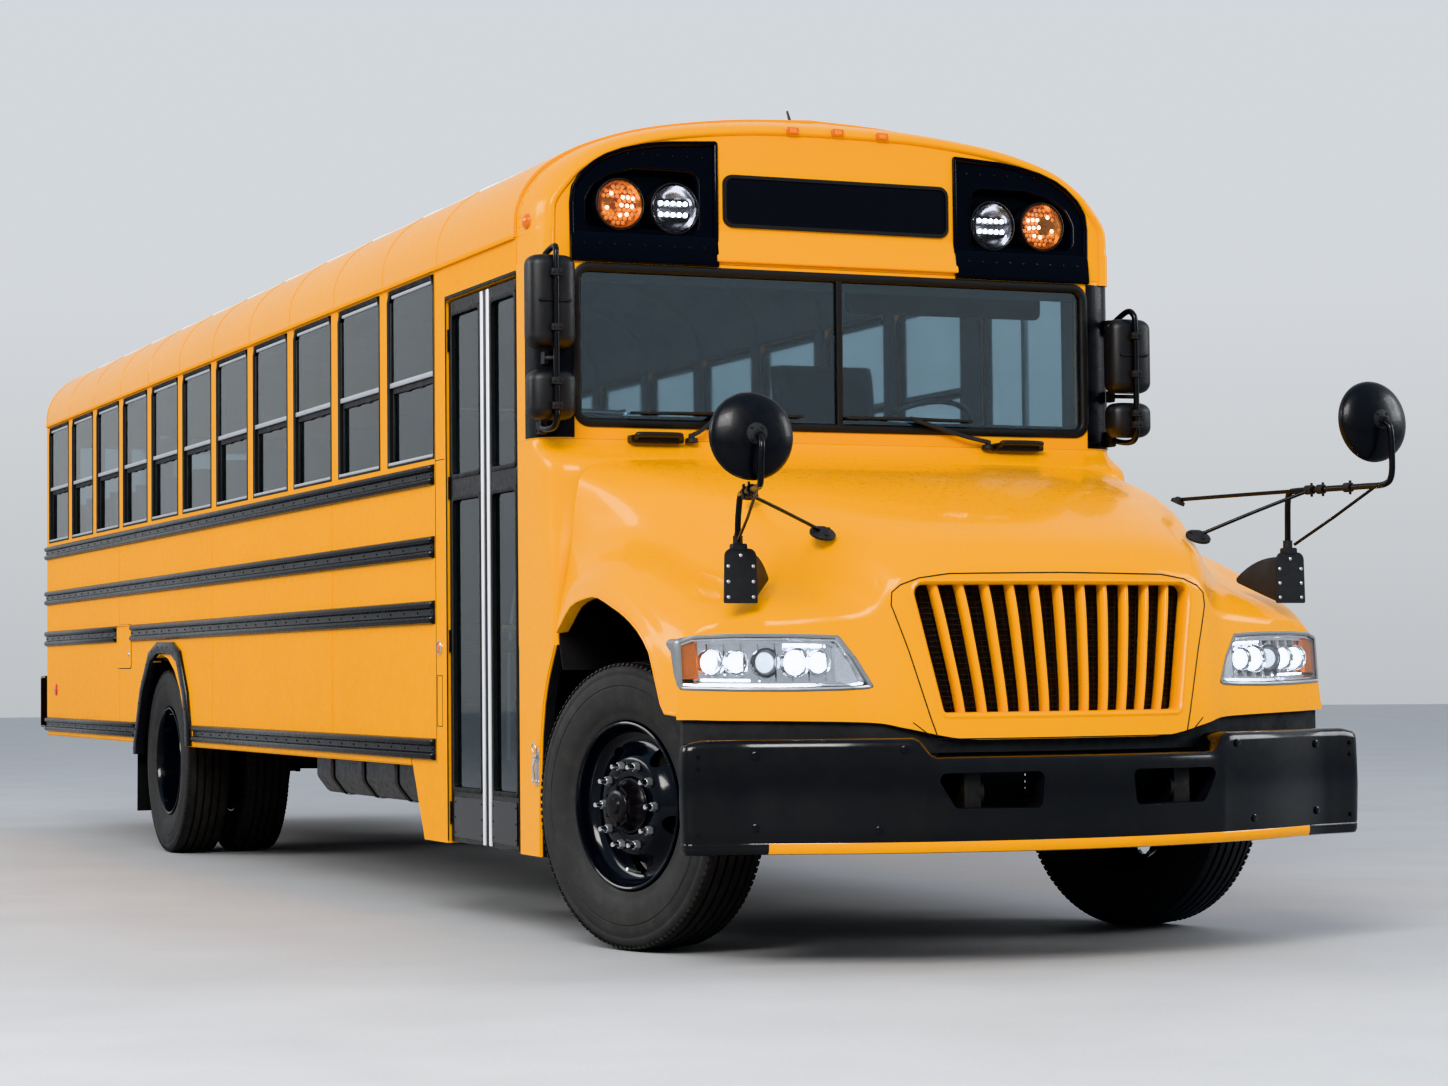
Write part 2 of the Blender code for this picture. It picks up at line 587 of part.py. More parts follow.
# steering wheel: rim, three spokes and a hub on a leaning column
WHEEL_AT = Vector((0.620, 1.060, 1.930))
LEAN = math.radians(32)
tilt = Matrix.Translation(WHEEL_AT) @ Matrix.Rotation(-LEAN, 4, "X")


def leaned(solid):
    return [tuple(tilt @ Vector(p)) for p in solid[0]], solid[1]


def torus(R, r, n=28, m=6):
    return rings([[((R + r * math.cos(2 * math.pi * j / m)) * math.cos(2 * math.pi * i / n),
                    (R + r * math.cos(2 * math.pi * j / m)) * math.sin(2 * math.pi * i / n),
                    r * math.sin(2 * math.pi * j / m)) for j in range(m)]
                  for i in range(n)], closed=True)


sw = add("steering_wheel", leaned(torus(0.225, 0.014)), BLACK, at=tuple(WHEEL_AT), smooth=True)
boolean(sw, leaned(rod((0, 0, -0.060), (0, 0, 0.018), 0.055, 12)), "UNION")
for a in (90, 210, 330):
    m = Matrix.Rotation(math.radians(a), 4, "Z")
    v, f = box(0.030, 0.224, -0.014, 0.014, -0.006, 0.006)
    boolean(sw, leaned(([tuple(m @ Vector(p)) for p in v], f)), "UNION")

# ------------------------------------------------------------------ doors
LEAF_X = (-1.208, -1.174)               # outer and inner face of the door
SEAM = 0.0045


def door_leaf(name, y0, y1, hinge_y):
    """Tall leaf with an upper and a lower window cut through it."""
    z0, z1 = DOOR_Z[0] + 0.006, DOOR_Z[1] - 0.008
    ob = add(name, box(LEAF_X[0], LEAF_X[1], y0, y1, z0, z1), BLACK,
             at=(LEAF_X[0], hinge_y, z0))
    e = 0.045
    boolean(ob, join(box(-1.3, -1.1, y0 + e, y1 - e, 1.760, 2.400),
                     box(-1.3, -1.1, y0 + e, y1 - e, 0.520, 1.660)))
    return ob


door_leaf("service_door_front", DOOR_Y[0] + 0.008, DOOR_SPLIT - SEAM, DOOR_Y[0] + 0.008)
door_leaf("service_door_rear", DOOR_SPLIT + SEAM, DOOR_Y[1] - 0.008, DOOR_Y[1] - 0.008)

rd = add("rear_door", box(-RDOOR_X + 0.008, RDOOR_X - 0.010, Y_TAIL - 0.040, Y_TAIL + 0.008,
                          RDOOR_Z[0] + 0.008, RDOOR_Z[1] - 0.008), YELLOW,
         at=(-RDOOR_X + 0.008, Y_TAIL + 0.008, RDOOR_Z[0]))
boolean(rd, join(box(-0.380, 0.380, 9.9, 10.2, 1.840, 2.460),
                 box(-0.380, 0.380, 9.9, 10.2, 1.270, 1.700)))

# hatches: a lid with a lip that stands over the hole in the roof
for name, y in zip(("roof_hatch_front", "roof_hatch_rear"), HATCHES):
    h = HATCH + 0.030
    lid = rings([[(-k, y - k, z), (k, y - k, z), (k, y + k, z), (-k, y + k, z)]
                 for k, z in ((h, 3.112), (h, 3.140), (h - 0.060, 3.162))])
    add(name, lid, WHITE, at=(0, y - h, 3.112))

# stop arm: blank eight-sided blade folded along the left side
STOP_Y, STOP_Z, STOP_R = 2.110, 1.640, 0.245
ring8 = [(STOP_Y + STOP_R * math.cos(math.radians(22.5 + 45 * k)),
          STOP_Z + STOP_R * math.sin(math.radians(22.5 + 45 * k))) for k in range(8)]
arm = add("stop_arm", prism(ring8, "x", 1.258, 1.268), RED, at=(1.263, 1.800, STOP_Z))
boolean(arm, box(1.252, 1.276, 1.786, 1.990, STOP_Z - 0.060, STOP_Z + 0.060), "UNION")


# ------------------------------------------------------------------ hood
def front_y(x):
    """Plan of the nose, bowed from light to light."""
    return -1.215 + 0.235 * x * x


# Half sections across the hood, one row per station from nose to cowl.
# Columns: t (0 nose, 1 cowl), then x, z of: middle, crown, shoulder,
# flank foot, fender top, fender crown, fender side, lower edge
HOOD = [
    (0.000, (0, 1.305), (0.330, 1.300), (0.560, 1.262), (0.660, 1.150),
     (0.900, 1.135), (1.120, 1.125), (1.205, 1.060), (1.240, 0.815)),
    (0.045, (0, 1.385), (0.360, 1.380), (0.620, 1.345), (0.720, 1.200),
     (0.920, 1.190), (1.130, 1.170), (1.215, 1.080), (1.248, 0.825)),
    (0.130, (0, 1.455), (0.420, 1.450), (0.700, 1.405), (0.810, 1.255),
     (0.960, 1.235), (1.135, 1.215), (1.220, 1.135), (1.252, 1.030)),
    (0.270, (0, 1.535), (0.480, 1.530), (0.790, 1.490), (0.900, 1.330),
     (1.010, 1.300), (1.135, 1.285), (1.225, 1.215), (1.252, 1.140)),
    (0.430, (0, 1.610), (0.540, 1.605), (0.870, 1.565), (0.980, 1.420),
     (1.050, 1.380), (1.135, 1.352), (1.225, 1.280), (1.250, 1.200)),
    (0.600, (0, 1.665), (0.600, 1.660), (0.930, 1.625), (1.035, 1.510),
     (1.085, 1.440), (1.140, 1.395), (1.220, 1.325), (1.244, 1.238)),
    (0.800, (0, 1.715), (0.640, 1.712), (0.990, 1.680), (1.090, 1.600),
     (1.115, 1.500), (1.150, 1.420), (1.205, 1.330), (1.232, 1.218)),
    (1.000, (0, 1.752), (0.660, 1.750), (1.035, 1.732), (1.128, 1.672),
     (1.150, 1.560), (1.162, 1.440), (1.185, 1.300), (1.215, 1.140)),
]
HOOD_REAR = 0.318
HOOD_T = 0.022


def hood_rows(lift):
    """Outer (lift 0) or inner surface, from one lower edge to the other."""
    rows = []
    for t, *pts in HOOD:
        half = []
        for i, (x, z) in enumerate(pts):
            xi = x - lift * (0.2, 0.3, 0.5, 0.7, 0.4, 0.8, 1.0, 1.0)[i] * (x > 0)
            zi = z - lift * (1.0, 1.0, 0.9, 0.7, 1.0, 0.7, 0.3, 0.0)[i]
            y = lerp(front_y(x) + lift, HOOD_REAR, t)
            half.append((xi, y, zi))
        rows.append(half[::-1] + [(-a, b, c) for a, b, c in half[1:]])
    return rows


def hood_solid():
    """Shell with a front wall that runs down below the grille."""
    low_z = [0.815, 0.815, 0.812, 0.808, 0.800, 0.780, 0.742, 0.742]
    shells = []
    for lift in (0.0, HOOD_T):
        rows = hood_rows(lift)
        n = len(rows[0])
        foot = []
        for i, (x, y, z) in enumerate(rows[0]):
            j = i if i < 8 else n - 1 - i
            foot.append((x, y, low_z[j] if j else z))
        shells.append([foot] + rows)
    outer_s, inner_s = shells
    n, m = len(outer_s[0]), len(outer_s)
    verts = [p for s in (outer_s, inner_s) for row in s for p in row]
    faces = []

    def at(s, k, i):
        return s * n * m + k * n + i
    for s in (0, 1):
        for k in range(m - 1):
            for i in range(n - 1):
                f = [at(s, k, i), at(s, k, i + 1), at(s, k + 1, i + 1), at(s, k + 1, i)]
                if k == 0 and i in (0, n - 2):
                    # the foot row meets the first row at the outer corners
                    e = 0 if i == 0 else n - 1
                    f = [v for v in f if v != at(s, 0, e)]
                faces.append(f)
    # rims: foot, two sides, rear edge
    def corner(s, k, i):
        return at(s, 1, i) if (k == 0 and i in (0, n - 1)) else at(s, k, i)
    for i in range(n - 1):
        faces.append([corner(0, 0, i), corner(0, 0, i + 1), corner(1, 0, i + 1), corner(1, 0, i)])
        faces.append([at(0, m - 1, i), at(0, m - 1, i + 1), at(1, m - 1, i + 1), at(1, m - 1, i)])
    for k in range(1, m - 1):
        for i in (0, n - 1):
            faces.append([at(0, k, i), at(0, k + 1, i), at(1, k + 1, i), at(1, k, i)])
    used = sorted({v for f in faces for v in f})
    new = {v: i for i, v in enumerate(used)}
    return [verts[v] for v in used], [[new[v] for v in f] for f in faces]


HOOD_HINGE = (0.0, -1.200, 0.720)
hood = add("hood", hood_solid(), YELLOW, at=HOOD_HINGE, smooth=True)

# grille: plate that follows the nose; x, low z, high z of half the stations
GRILLE = [(0.590, 1.190, 1.226), (0.540, 1.010, 1.246), (0.480, 0.808, 1.266),
          (0.400, 0.805, 1.276), (0.200, 0.805, 1.278), (0.0, 0.805, 1.278)]


def grille_rings(grow, near, far):
    half = GRILLE + [(-x, a, b) for x, a, b in GRILLE[-2::-1]]
    return [[(x + grow * (1 if x > 0 else -1 if x < 0 else 0), front_y(x) + d, z)
             for d, z in ((near, a - grow), (near, b + grow), (far, b + grow), (far, a - grow))]
            for x, a, b in half]


boolean(hood, rings(grille_rings(0.001, -0.2, 0.15)))
grille = add("grille", rings(grille_rings(0.0, 0.004, 0.028)), YELLOW)
SLOTS = 12
cuts = []
for k in range(SLOTS):
    u0, u1 = -1 + 2 * (k + 0.16) / SLOTS, -1 + 2 * (k + 0.84) / SLOTS
    cuts.append(prism([(0.446 * u0, 0.820), (0.446 * u1, 0.820), (0.528 * u1, 1.248),
                       (0.528 * u0, 1.248)], "y", -1.5, -0.9))
boolean(grille, join(*cuts))

# headlights: x, low z, high z along the lamp
LIGHT = [(0.668, 0.912, 0.930), (0.752, 0.909, 1.080), (0.900, 0.908, 1.086),
         (1.060, 0.910, 1.088), (1.200, 0.914, 1.080)]


def light_rings(grow, near, far):
    out = []
    for i, (x, a, b) in enumerate(LIGHT):
        x += grow * (-1 if i == 0 else 1 if i == len(LIGHT) - 1 else 0)
        out.append([(x, front_y(x) + d, z) for d, z in
                    ((near, a - grow), (near, b + grow), (far, b + grow), (far, a - grow))])
    return out


cut = rings(light_rings(0.001, -0.2, 0.140))
boolean(hood, join(cut, flip(cut)))
add("headlight_left", rings(light_rings(0.0, -0.004, 0.060)), LAMP)
add("headlight_right", flip(rings(light_rings(0.0, -0.004, 0.060))), LAMP)


def crossview(name, side, up, arm):
    """Round mirror on a bent tube from the fender, with a stay; heights of
    the two differ a little by up and arm."""
    turn = flip if side < 0 else (lambda s: s)
    c = Vector((1.160, -1.300, 1.742 + up))
    n = 16
    # dome of the mirror: offset behind the back shell, radius
    disc = [(-0.045, 0.001), (-0.040, 0.070), (-0.020, 0.120), (0.0, 0.138),
            (0.016, 0.136), (0.034, 0.080), (0.040, 0.001)]
    sec = [[(c.x + r * math.cos(2 * math.pi * (k + 0.5) / n), c.y + d,
             c.z + r * math.sin(2 * math.pi * (k + 0.5) / n)) for k in range(n)]
           for d, r in disc]
    ob = add(name, turn(rings(sec)), BLACK, smooth=True)
    boolean(ob, turn(pipe([(1.160, -1.330, 1.742 + up), (1.165, -1.395, 1.700 + up),
                           (1.170, -1.395, 1.600 + arm), (1.160, -1.360, 1.572 + arm),
                           (1.050, -0.960, 1.572 + arm), (1.050, -0.945, 1.540 + arm),
                           (1.052, -0.935, 1.345)], 0.010)), "UNION")
    boolean(ob, turn(box(1.000, 1.100, -0.950, -0.890, 1.200, 1.360)), "UNION")
    boolean(ob, turn(rod((1.075, -1.050, 1.572 + arm), (0.720, -0.880, 1.430), 0.008, 6)), "UNION")


crossview("crossview_mirror_right", -1, -0.038, -0.028)
crossview("crossview_mirror_left", 1, 0.060, 0.010)

# ------------------------------------------- move the origin to mid length
for ob in bpy.data.objects:
    if ob.parent is None:
        ob.location.y -= Y_MID
bpy.context.view_layer.update()
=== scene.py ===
# Looks of the school bus: every visible surface, built around the fixed frame.
# Sizes are in metres.  Y = 0 at the front axle while building; build() and cut()
# move each point into the frame, whose origin is under the middle of the bus.
import math
import random

import bpy
import bmesh
import numpy as np
from mathutils import Matrix, Vector, noise
from mathutils.geometry import tessellate_polygon

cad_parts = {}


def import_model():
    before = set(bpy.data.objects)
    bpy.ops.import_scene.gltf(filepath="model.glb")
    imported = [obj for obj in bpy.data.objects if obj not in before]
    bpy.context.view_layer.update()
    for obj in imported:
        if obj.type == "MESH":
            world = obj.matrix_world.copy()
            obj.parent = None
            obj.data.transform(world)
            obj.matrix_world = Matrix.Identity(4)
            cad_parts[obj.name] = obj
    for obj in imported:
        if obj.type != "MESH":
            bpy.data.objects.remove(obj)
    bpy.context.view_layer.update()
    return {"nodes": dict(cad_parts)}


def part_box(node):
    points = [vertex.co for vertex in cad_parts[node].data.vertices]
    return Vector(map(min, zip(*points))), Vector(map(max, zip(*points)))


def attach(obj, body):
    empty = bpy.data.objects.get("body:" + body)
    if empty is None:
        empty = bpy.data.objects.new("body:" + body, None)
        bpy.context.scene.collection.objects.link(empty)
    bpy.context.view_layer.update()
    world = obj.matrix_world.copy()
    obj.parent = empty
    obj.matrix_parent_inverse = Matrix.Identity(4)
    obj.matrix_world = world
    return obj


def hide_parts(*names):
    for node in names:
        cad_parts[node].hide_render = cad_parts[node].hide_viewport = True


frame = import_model()
YM = 4.4256                      # middle of the overall length
R = random.Random(7)

HALF_W, WALL = 1.220, 0.045
INNER = HALF_W - WALL
ROOF = [(1.220, 2.600), (1.212, 2.705), (1.168, 2.800), (1.085, 2.882),
        (0.935, 2.962), (0.690, 3.035), (0.350, 3.085), (0.000, 3.105)]
WIN_N, WIN_Y0, WIN_PITCH, WIN_W = 11, 1.748, 0.7555, 0.6455
WIN_Z0, WIN_Z1 = 1.838, 2.588
WHEELBASE, WHEEL_Z, STEER = 6.738, 0.505, math.radians(16.2)
KING_X, FRONT_X = 0.930, 1.005
Z_FLOOR = 1.100


# ------------------------------------------------------------ mesh helpers
def build(name, verts, faces, mat, body="body", smooth=True, angle=38, bevel=0.0,
          seg=2, fix=True, mats=None, pick=None):
    """One piece from points and faces, riding on a body of the frame."""
    bm = bmesh.new()
    vs = [bm.verts.new((v[0], v[1] - YM, v[2])) for v in verts]
    for k, f in enumerate(faces):
        if len(set(f)) < 3:
            continue
        try:
            g = bm.faces.new([vs[i] for i in f])
        except ValueError:
            continue
        if pick is not None:
            g.material_index = pick[k]
    if fix:
        bmesh.ops.remove_doubles(bm, verts=bm.verts, dist=1e-6)
        bmesh.ops.recalc_face_normals(bm, faces=bm.faces)
    me = bpy.data.meshes.new(name)
    bm.to_mesh(me)
    bm.free()
    for m in (mats or [mat]):
        me.materials.append(m)
    ob = bpy.data.objects.new(name, me)
    bpy.context.collection.objects.link(ob)
    if bevel:
        mod = ob.modifiers.new("edge", "BEVEL")
        mod.width = bevel
        mod.segments = seg
        mod.limit_method = "ANGLE"
        mod.angle_limit = math.radians(32)
        mod.harden_normals = False
    if smooth:
        me.shade_smooth()
        me.set_sharp_from_angle(angle=math.radians(angle))
    if body:
        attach(ob, body)
    return ob


def solid(name, parts, mat, body="body", **k):
    """Several closed shapes as one piece."""
    if isinstance(parts, tuple):
        parts = [parts]
    verts, faces = join(*parts)
    return build(name, verts, faces, mat, body, **k)


def join(*shapes):
    verts, faces = [], []
    for v, f in shapes:
        n = len(verts)
        verts += [tuple(p) for p in v]
        faces += [[i + n for i in g] for g in f]
    return verts, faces


def rings(sections, closed=False, caps=True):
    n, m = len(sections[0]), len(sections)
    verts = [tuple(p) for ring in sections for p in ring]
    faces = []
    for k in range(m if closed else m - 1):
        a, b = k * n, ((k + 1) % m) * n
        for i in range(n):
            j = (i + 1) % n
            faces.append([a + i, a + j, b + j, b + i])
    if caps and not closed:
        faces += [list(range(n))[::-1], [i + (m - 1) * n for i in range(n)]]
    return verts, faces


def sheet(rows):
    """Open grid surface through rows of points."""
    n, m = len(rows[0]), len(rows)
    verts = [tuple(p) for row in rows for p in row]
    faces = [[k * n + i, k * n + i + 1, (k + 1) * n + i + 1, (k + 1) * n + i]
             for k in range(m - 1) for i in range(n - 1)]
    return verts, faces


def prism(points, axis, a, b):
    def place(p, t):
        return {"x": (t, p[0], p[1]), "y": (p[0], t, p[1]), "z": (p[0], p[1], t)}[axis]
    return rings([[place(p, a) for p in points], [place(p, b) for p in points]])


def box(x0, x1, y0, y1, z0, z1):
    return prism([(x0, y0), (x1, y0), (x1, y1), (x0, y1)], "z", z0, z1)


def rbox(x0, x1, y0, y1, z0, z1, r, n=3, axis="z"):
    """Box with its four edges along one axis rounded."""
    if axis == "z":
        return prism(rpoly([(x0, y0), (x1, y0), (x1, y1), (x0, y1)], r, n), "z", z0, z1)
    if axis == "y":
        return prism(rpoly([(x0, z0), (x1, z0), (x1, z1), (x0, z1)], r, n), "y", y0, y1)
    return prism(rpoly([(y0, z0), (y1, z0), (y1, z1), (y0, z1)], r, n), "x", x0, x1)


def rpoly(pts, r, n=4):
    """Closed outline with its corners rounded by r (one number or one each)."""
    out = []
    m = len(pts)
    for i, p in enumerate(pts):
        rr = r[i] if isinstance(r, (list, tuple)) else r
        p = Vector(p)
        a, b = Vector(pts[i - 1]) - p, Vector(pts[(i + 1) % m]) - p
        la, lb = a.length, b.length
        a, b = a / la, b / lb
        if rr <= 1e-6 or abs(a.dot(b)) > 0.9999:
            out.append(tuple(p))
            continue
        half = math.acos(max(-1, min(1, a.dot(b)))) / 2
        d = min(rr / math.tan(half), la * 0.49, lb * 0.49)
        q = d * math.tan(half)
        c = p + (a + b).normalized() * (q / math.sin(half))
        s, e = p + a * d - c, p + b * d - c
        ang = s.angle_signed(e) if hasattr(s, "angle_signed") else 0
        for k in range(n + 1):
            t = k / n
            v = Matrix.Rotation(-ang * t, 2) @ s
            out.append(tuple(c + v))
    return out


def turned(profile, centre=(0, 0, 0), n=64, axis="x", closed=True, phase=0.0):
    """Closed (offset, radius) outline turned about an axis."""
    c = Vector(centre)
    out = []
    for k in range(n):
        a = 2 * math.pi * (k + phase) / n
        s, q = math.sin(a), math.cos(a)
        ring = []
        for x, r in profile:
            p = {"x": (x, r * s, r * q), "y": (r * q, x, r * s), "z": (r * q, r * s, x)}[axis]
            ring.append(tuple(c + Vector(p)))
        out.append(ring)
    if closed:
        return rings(out, closed=True)
    m = len(profile)
    verts = [p for ring in out for p in ring]
    faces = [[k * m + i, k * m + i + 1, ((k + 1) % n) * m + i + 1, ((k + 1) % n) * m + i]
             for k in range(n) for i in range(m - 1)]
    return verts, faces


def lathe(profile, centre, axis="x", n=48):
    """Profile from axis to axis (first and last radius 0) turned to a solid."""
    return turned([(x, max(r, 1e-5)) for x, r in profile], centre, n, axis, closed=False)


def crom(pts, n, closed=False):
    """Smooth line through the points, n steps between each two."""
    P = [Vector(p) for p in pts]
    m = len(P)
    out = []
    last = m if closed else m - 1
    for i in range(last):
        p1, p2 = P[i], P[(i + 1) % m]
        p0 = P[i - 1] if (i > 0 or closed) else p1 * 2 - p2
        p3 = P[(i + 2) % m] if (i + 2 < m or closed) else p2 * 2 - p1
        for k in range(n):
            t = k / n
            out.append(tuple(0.5 * ((2 * p1) + (p2 - p0) * t + (2 * p0 - 5 * p1 + 4 * p2 - p3) * t * t
                                    + (3 * p1 - p0 - 3 * p2 + p3) * t ** 3)))
    if not closed:
        out.append(tuple(P[-1]))
    return out


def pipe(points, r, n=10, caps=True, closed=False, flat=None):
    """Tube along a line; flat=(w, h, up) makes a strip instead."""
    pts = [Vector(p) for p in points]
    out, side = [], None
    m = len(pts)
    for i, p in enumerate(pts):
        a = (p - pts[i - 1]).normalized() if (i or closed) else None
        b = (pts[(i + 1) % m] - p).normalized() if (i < m - 1 or closed) else None
        d = ((a or b) + (b or a)).normalized()
        if flat:
            up = Vector(flat[2])
            side = d.cross(up).normalized()
            up = side.cross(d).normalized()
            w, h = flat[0] / 2, flat[1] / 2
            out.append([tuple(p + side * sx * w + up * sy * h)
                        for sx, sy in ((-1, -1), (1, -1), (1, 1), (-1, 1))])
            continue
        if side is None:
            side = d.orthogonal().normalized()
        side = (side - d * side.dot(d)).normalized()
        up = d.cross(side)
        rr = r[i] if isinstance(r, (list, tuple)) else r
        out.append([tuple(p + (side * math.cos(2 * math.pi * k / n)
                               + up * math.sin(2 * math.pi * k / n)) * rr) for k in range(n)])
    return rings(out, closed=closed, caps=caps)


def rod(p, q, r, n=12):
    return pipe([p, q], r, n)


def sweep(section, path, normal_up=(0, 0, 1)):
    """Closed (u, v) section carried along a level path; u outwards, v up."""
    pts = [Vector(p) for p in path]
    out = []
    for i, p in enumerate(pts):
        a = (p - pts[i - 1]).normalized() if i else None
        b = (pts[i + 1] - p).normalized() if i < len(pts) - 1 else None
        d = ((a or b) + (b or a)).normalized()
        up = Vector(normal_up)
        side = d.cross(up).normalized()
        scale = 1.0 / max(0.5, side.dot((a or b).cross(up).normalized()))
        out.append([tuple(p + side * u * scale + up * v) for u, v in section])
    return rings(out)


def inset(points, d):
    pts = [Vector((*p, 0)) for p in points]
    out = []
    for i, p in enumerate(pts):
        ns = []
        if i:
            e = (p - pts[i - 1]).normalized()
            ns.append(Vector((-e.y, e.x, 0)))
        if i < len(pts) - 1:
            e = (pts[i + 1] - p).normalized()
            ns.append(Vector((-e.y, e.x, 0)))
        nn = sum(ns, Vector()).normalized()
        out.append(tuple((p + nn * d / max(0.5, nn.dot(ns[0])))[:2]))
    return out


def both(points):
    return points + [(-x, z) for x, z in points[::-1] if x > 1e-9]


def flip(shape):
    v, f = shape
    return [(-p[0], p[1], p[2]) for p in v], [g[::-1] for g in f]


def move(shape, m):
    return [tuple(m @ Vector(p)) for p in shape[0]], shape[1]


def pair(shape):
    return [shape, flip(shape)]


def lerp(a, b, t):
    return a + (b - a) * t


def ss(a, b, x):
    t = max(0.0, min(1.0, (x - a) / (b - a)))
    return t * t * (3 - 2 * t)


def arc(cx, cy, r, a0, a1, n):
    return [(cx + r * math.cos(math.radians(lerp(a0, a1, k / n))),
             cy + r * math.sin(math.radians(lerp(a0, a1, k / n)))) for k in range(n + 1)]


def cut(ob, shapes, solver="EXACT"):
    """Takes closed shapes away from a piece and keeps the result."""
    for shape in shapes:
        bm = bmesh.new()
        vs = [bm.verts.new((v[0], v[1] - YM, v[2])) for v in shape[0]]
        for f in shape[1]:
            try:
                bm.faces.new([vs[i] for i in f])
            except ValueError:
                pass
        bmesh.ops.remove_doubles(bm, verts=bm.verts, dist=1e-6)
        bmesh.ops.recalc_face_normals(bm, faces=bm.faces)
        me = bpy.data.meshes.new("cutter")
        bm.to_mesh(me)
        bm.free()
        tool = bpy.data.objects.new("cutter", me)
        bpy.context.collection.objects.link(tool)
        mod = ob.modifiers.new("cut", "BOOLEAN")
        mod.operation = "DIFFERENCE"
        mod.solver = solver
        mod.object = tool
        bpy.context.view_layer.update()
        dg = bpy.context.evaluated_depsgraph_get()
        new = bpy.data.meshes.new_from_object(ob.evaluated_get(dg))
        ob.modifiers.remove(mod)
        old = ob.data
        ob.data = new
        bpy.data.objects.remove(tool, do_unlink=True)
        bpy.data.meshes.remove(me)
        bpy.data.meshes.remove(old)
    return ob


def resharp(ob, angle=38):
    ob.data.shade_smooth()
    ob.data.set_sharp_from_angle(angle=math.radians(angle))
    return ob


def dots(points, normal, r, h, n=8):
    """Low domed rivet heads at the points, along one normal."""
    nrm = Vector(normal).normalized()
    q = nrm.to_track_quat("Z", "Y")
    out = []
    for p in points:
        p = Vector(p)
        shape = []
        for rr, hh in ((r, -0.001), (r, h * 0.35), (r * 0.62, h)):
            shape.append([tuple(p + q @ Vector((rr * math.cos(2 * math.pi * k / n),
                                                rr * math.sin(2 * math.pi * k / n), hh)))
                          for k in range(n)])
        out.append(rings(shape))
    return out


def hexes(points, normal, r, h):
    return dots_n(points, normal, r, h, 6)


def dots_n(points, normal, r, h, n):
    nrm = Vector(normal).normalized()
    q = nrm.to_track_quat("Z", "Y")
    out = []
    for p in points:
        p = Vector(p)
        out.append(rings([[tuple(p + q @ Vector((rr * math.cos(2 * math.pi * k / n),
                                                 rr * math.sin(2 * math.pi * k / n), hh)))
                           for k in range(n)] for rr, hh in ((r, -0.001), (r, h * 0.8), (r * 0.8, h))]))
    return out


# -------------------------------------------------------------- materials
def nodes_of(name):
    m = bpy.data.materials.new(name)
    m.use_nodes = True
    nt = m.node_tree
    bsdf = nt.nodes["Principled BSDF"]
    return m, nt, bsdf


def add_node(nt, kind, **values):
    n = nt.nodes.new(kind)
    for k, v in values.items():
        if k in n.inputs:
            n.inputs[k].default_value = v
        else:
            setattr(n, k, v)
    return n


def coords(nt, scale=(1, 1, 1)):
    tc = nt.nodes.new("ShaderNodeTexCoord")
    mp = nt.nodes.new("ShaderNodeMapping")
    mp.inputs["Scale"].default_value = scale
    nt.links.new(tc.outputs["Object"], mp.inputs["Vector"])
    return mp.outputs["Vector"]


def noise_tex(nt, vec, scale, detail=4, rough=0.55, dist=0.0):
    n = add_node(nt, "ShaderNodeTexNoise", Scale=scale, Detail=detail, Roughness=rough, Distortion=dist)
    nt.links.new(vec, n.inputs["Vector"])
    return n.outputs["Fac"]


def ramp(nt, fac, stops):
    n = nt.nodes.new("ShaderNodeValToRGB")
    e = n.color_ramp.elements
    while len(e) < len(stops):
        e.new(0.5)
    for k, (pos, col) in enumerate(stops):
        e[k].position = pos
        e[k].color = (*col, 1) if len(col) == 3 else col
    nt.links.new(fac, n.inputs["Fac"])
    return n.outputs["Color"]


def grey(nt, fac, a, b, lo=0.3, hi=0.7):
    """Maps a texture's lo..hi to the numbers a..b."""
    n = nt.nodes.new("ShaderNodeMapRange")
    n.inputs["From Min"].default_value = lo
    n.inputs["From Max"].default_value = hi
    n.inputs["To Min"].default_value = a
    n.inputs["To Max"].default_value = b
    nt.links.new(fac, n.inputs["Value"])
    return n.outputs["Result"]


def mix(nt, fac, a, b):
    n = nt.nodes.new("ShaderNodeMix")
    n.data_type = "RGBA"
    if isinstance(fac, float):
        n.inputs["Factor"].default_value = fac
    else:
        nt.links.new(fac, n.inputs["Factor"])
    for v, i in ((a, 6), (b, 7)):
        if isinstance(v, tuple):
            n.inputs[i].default_value = (*v, 1)
        else:
            nt.links.new(v, n.inputs[i])
    return n.outputs[2]


def maths(nt, op, a, b=None, clamp=False):
    n = nt.nodes.new("ShaderNodeMath")
    n.operation = op
    n.use_clamp = clamp
    for k, v in enumerate((a, b)):
        if v is None:
            continue
        if isinstance(v, (int, float)):
            n.inputs[k].default_value = v
        else:
            nt.links.new(v, n.inputs[k])
    return n.outputs[0]


def bump(nt, bsdf, fac, strength, distance):
    n = nt.nodes.new("ShaderNodeBump")
    n.inputs["Strength"].default_value = strength
    n.inputs["Distance"].default_value = distance
    nt.links.new(fac, n.inputs["Height"])
    nt.links.new(n.outputs["Normal"], bsdf.inputs["Normal"])
    return n


def height_of(nt):
    """Height above the ground, in metres, as a number."""
    tc = nt.nodes.new("ShaderNodeTexCoord")
    sep = nt.nodes.new("ShaderNodeSeparateXYZ")
    nt.links.new(tc.outputs["Object"], sep.inputs[0])
    return sep.outputs


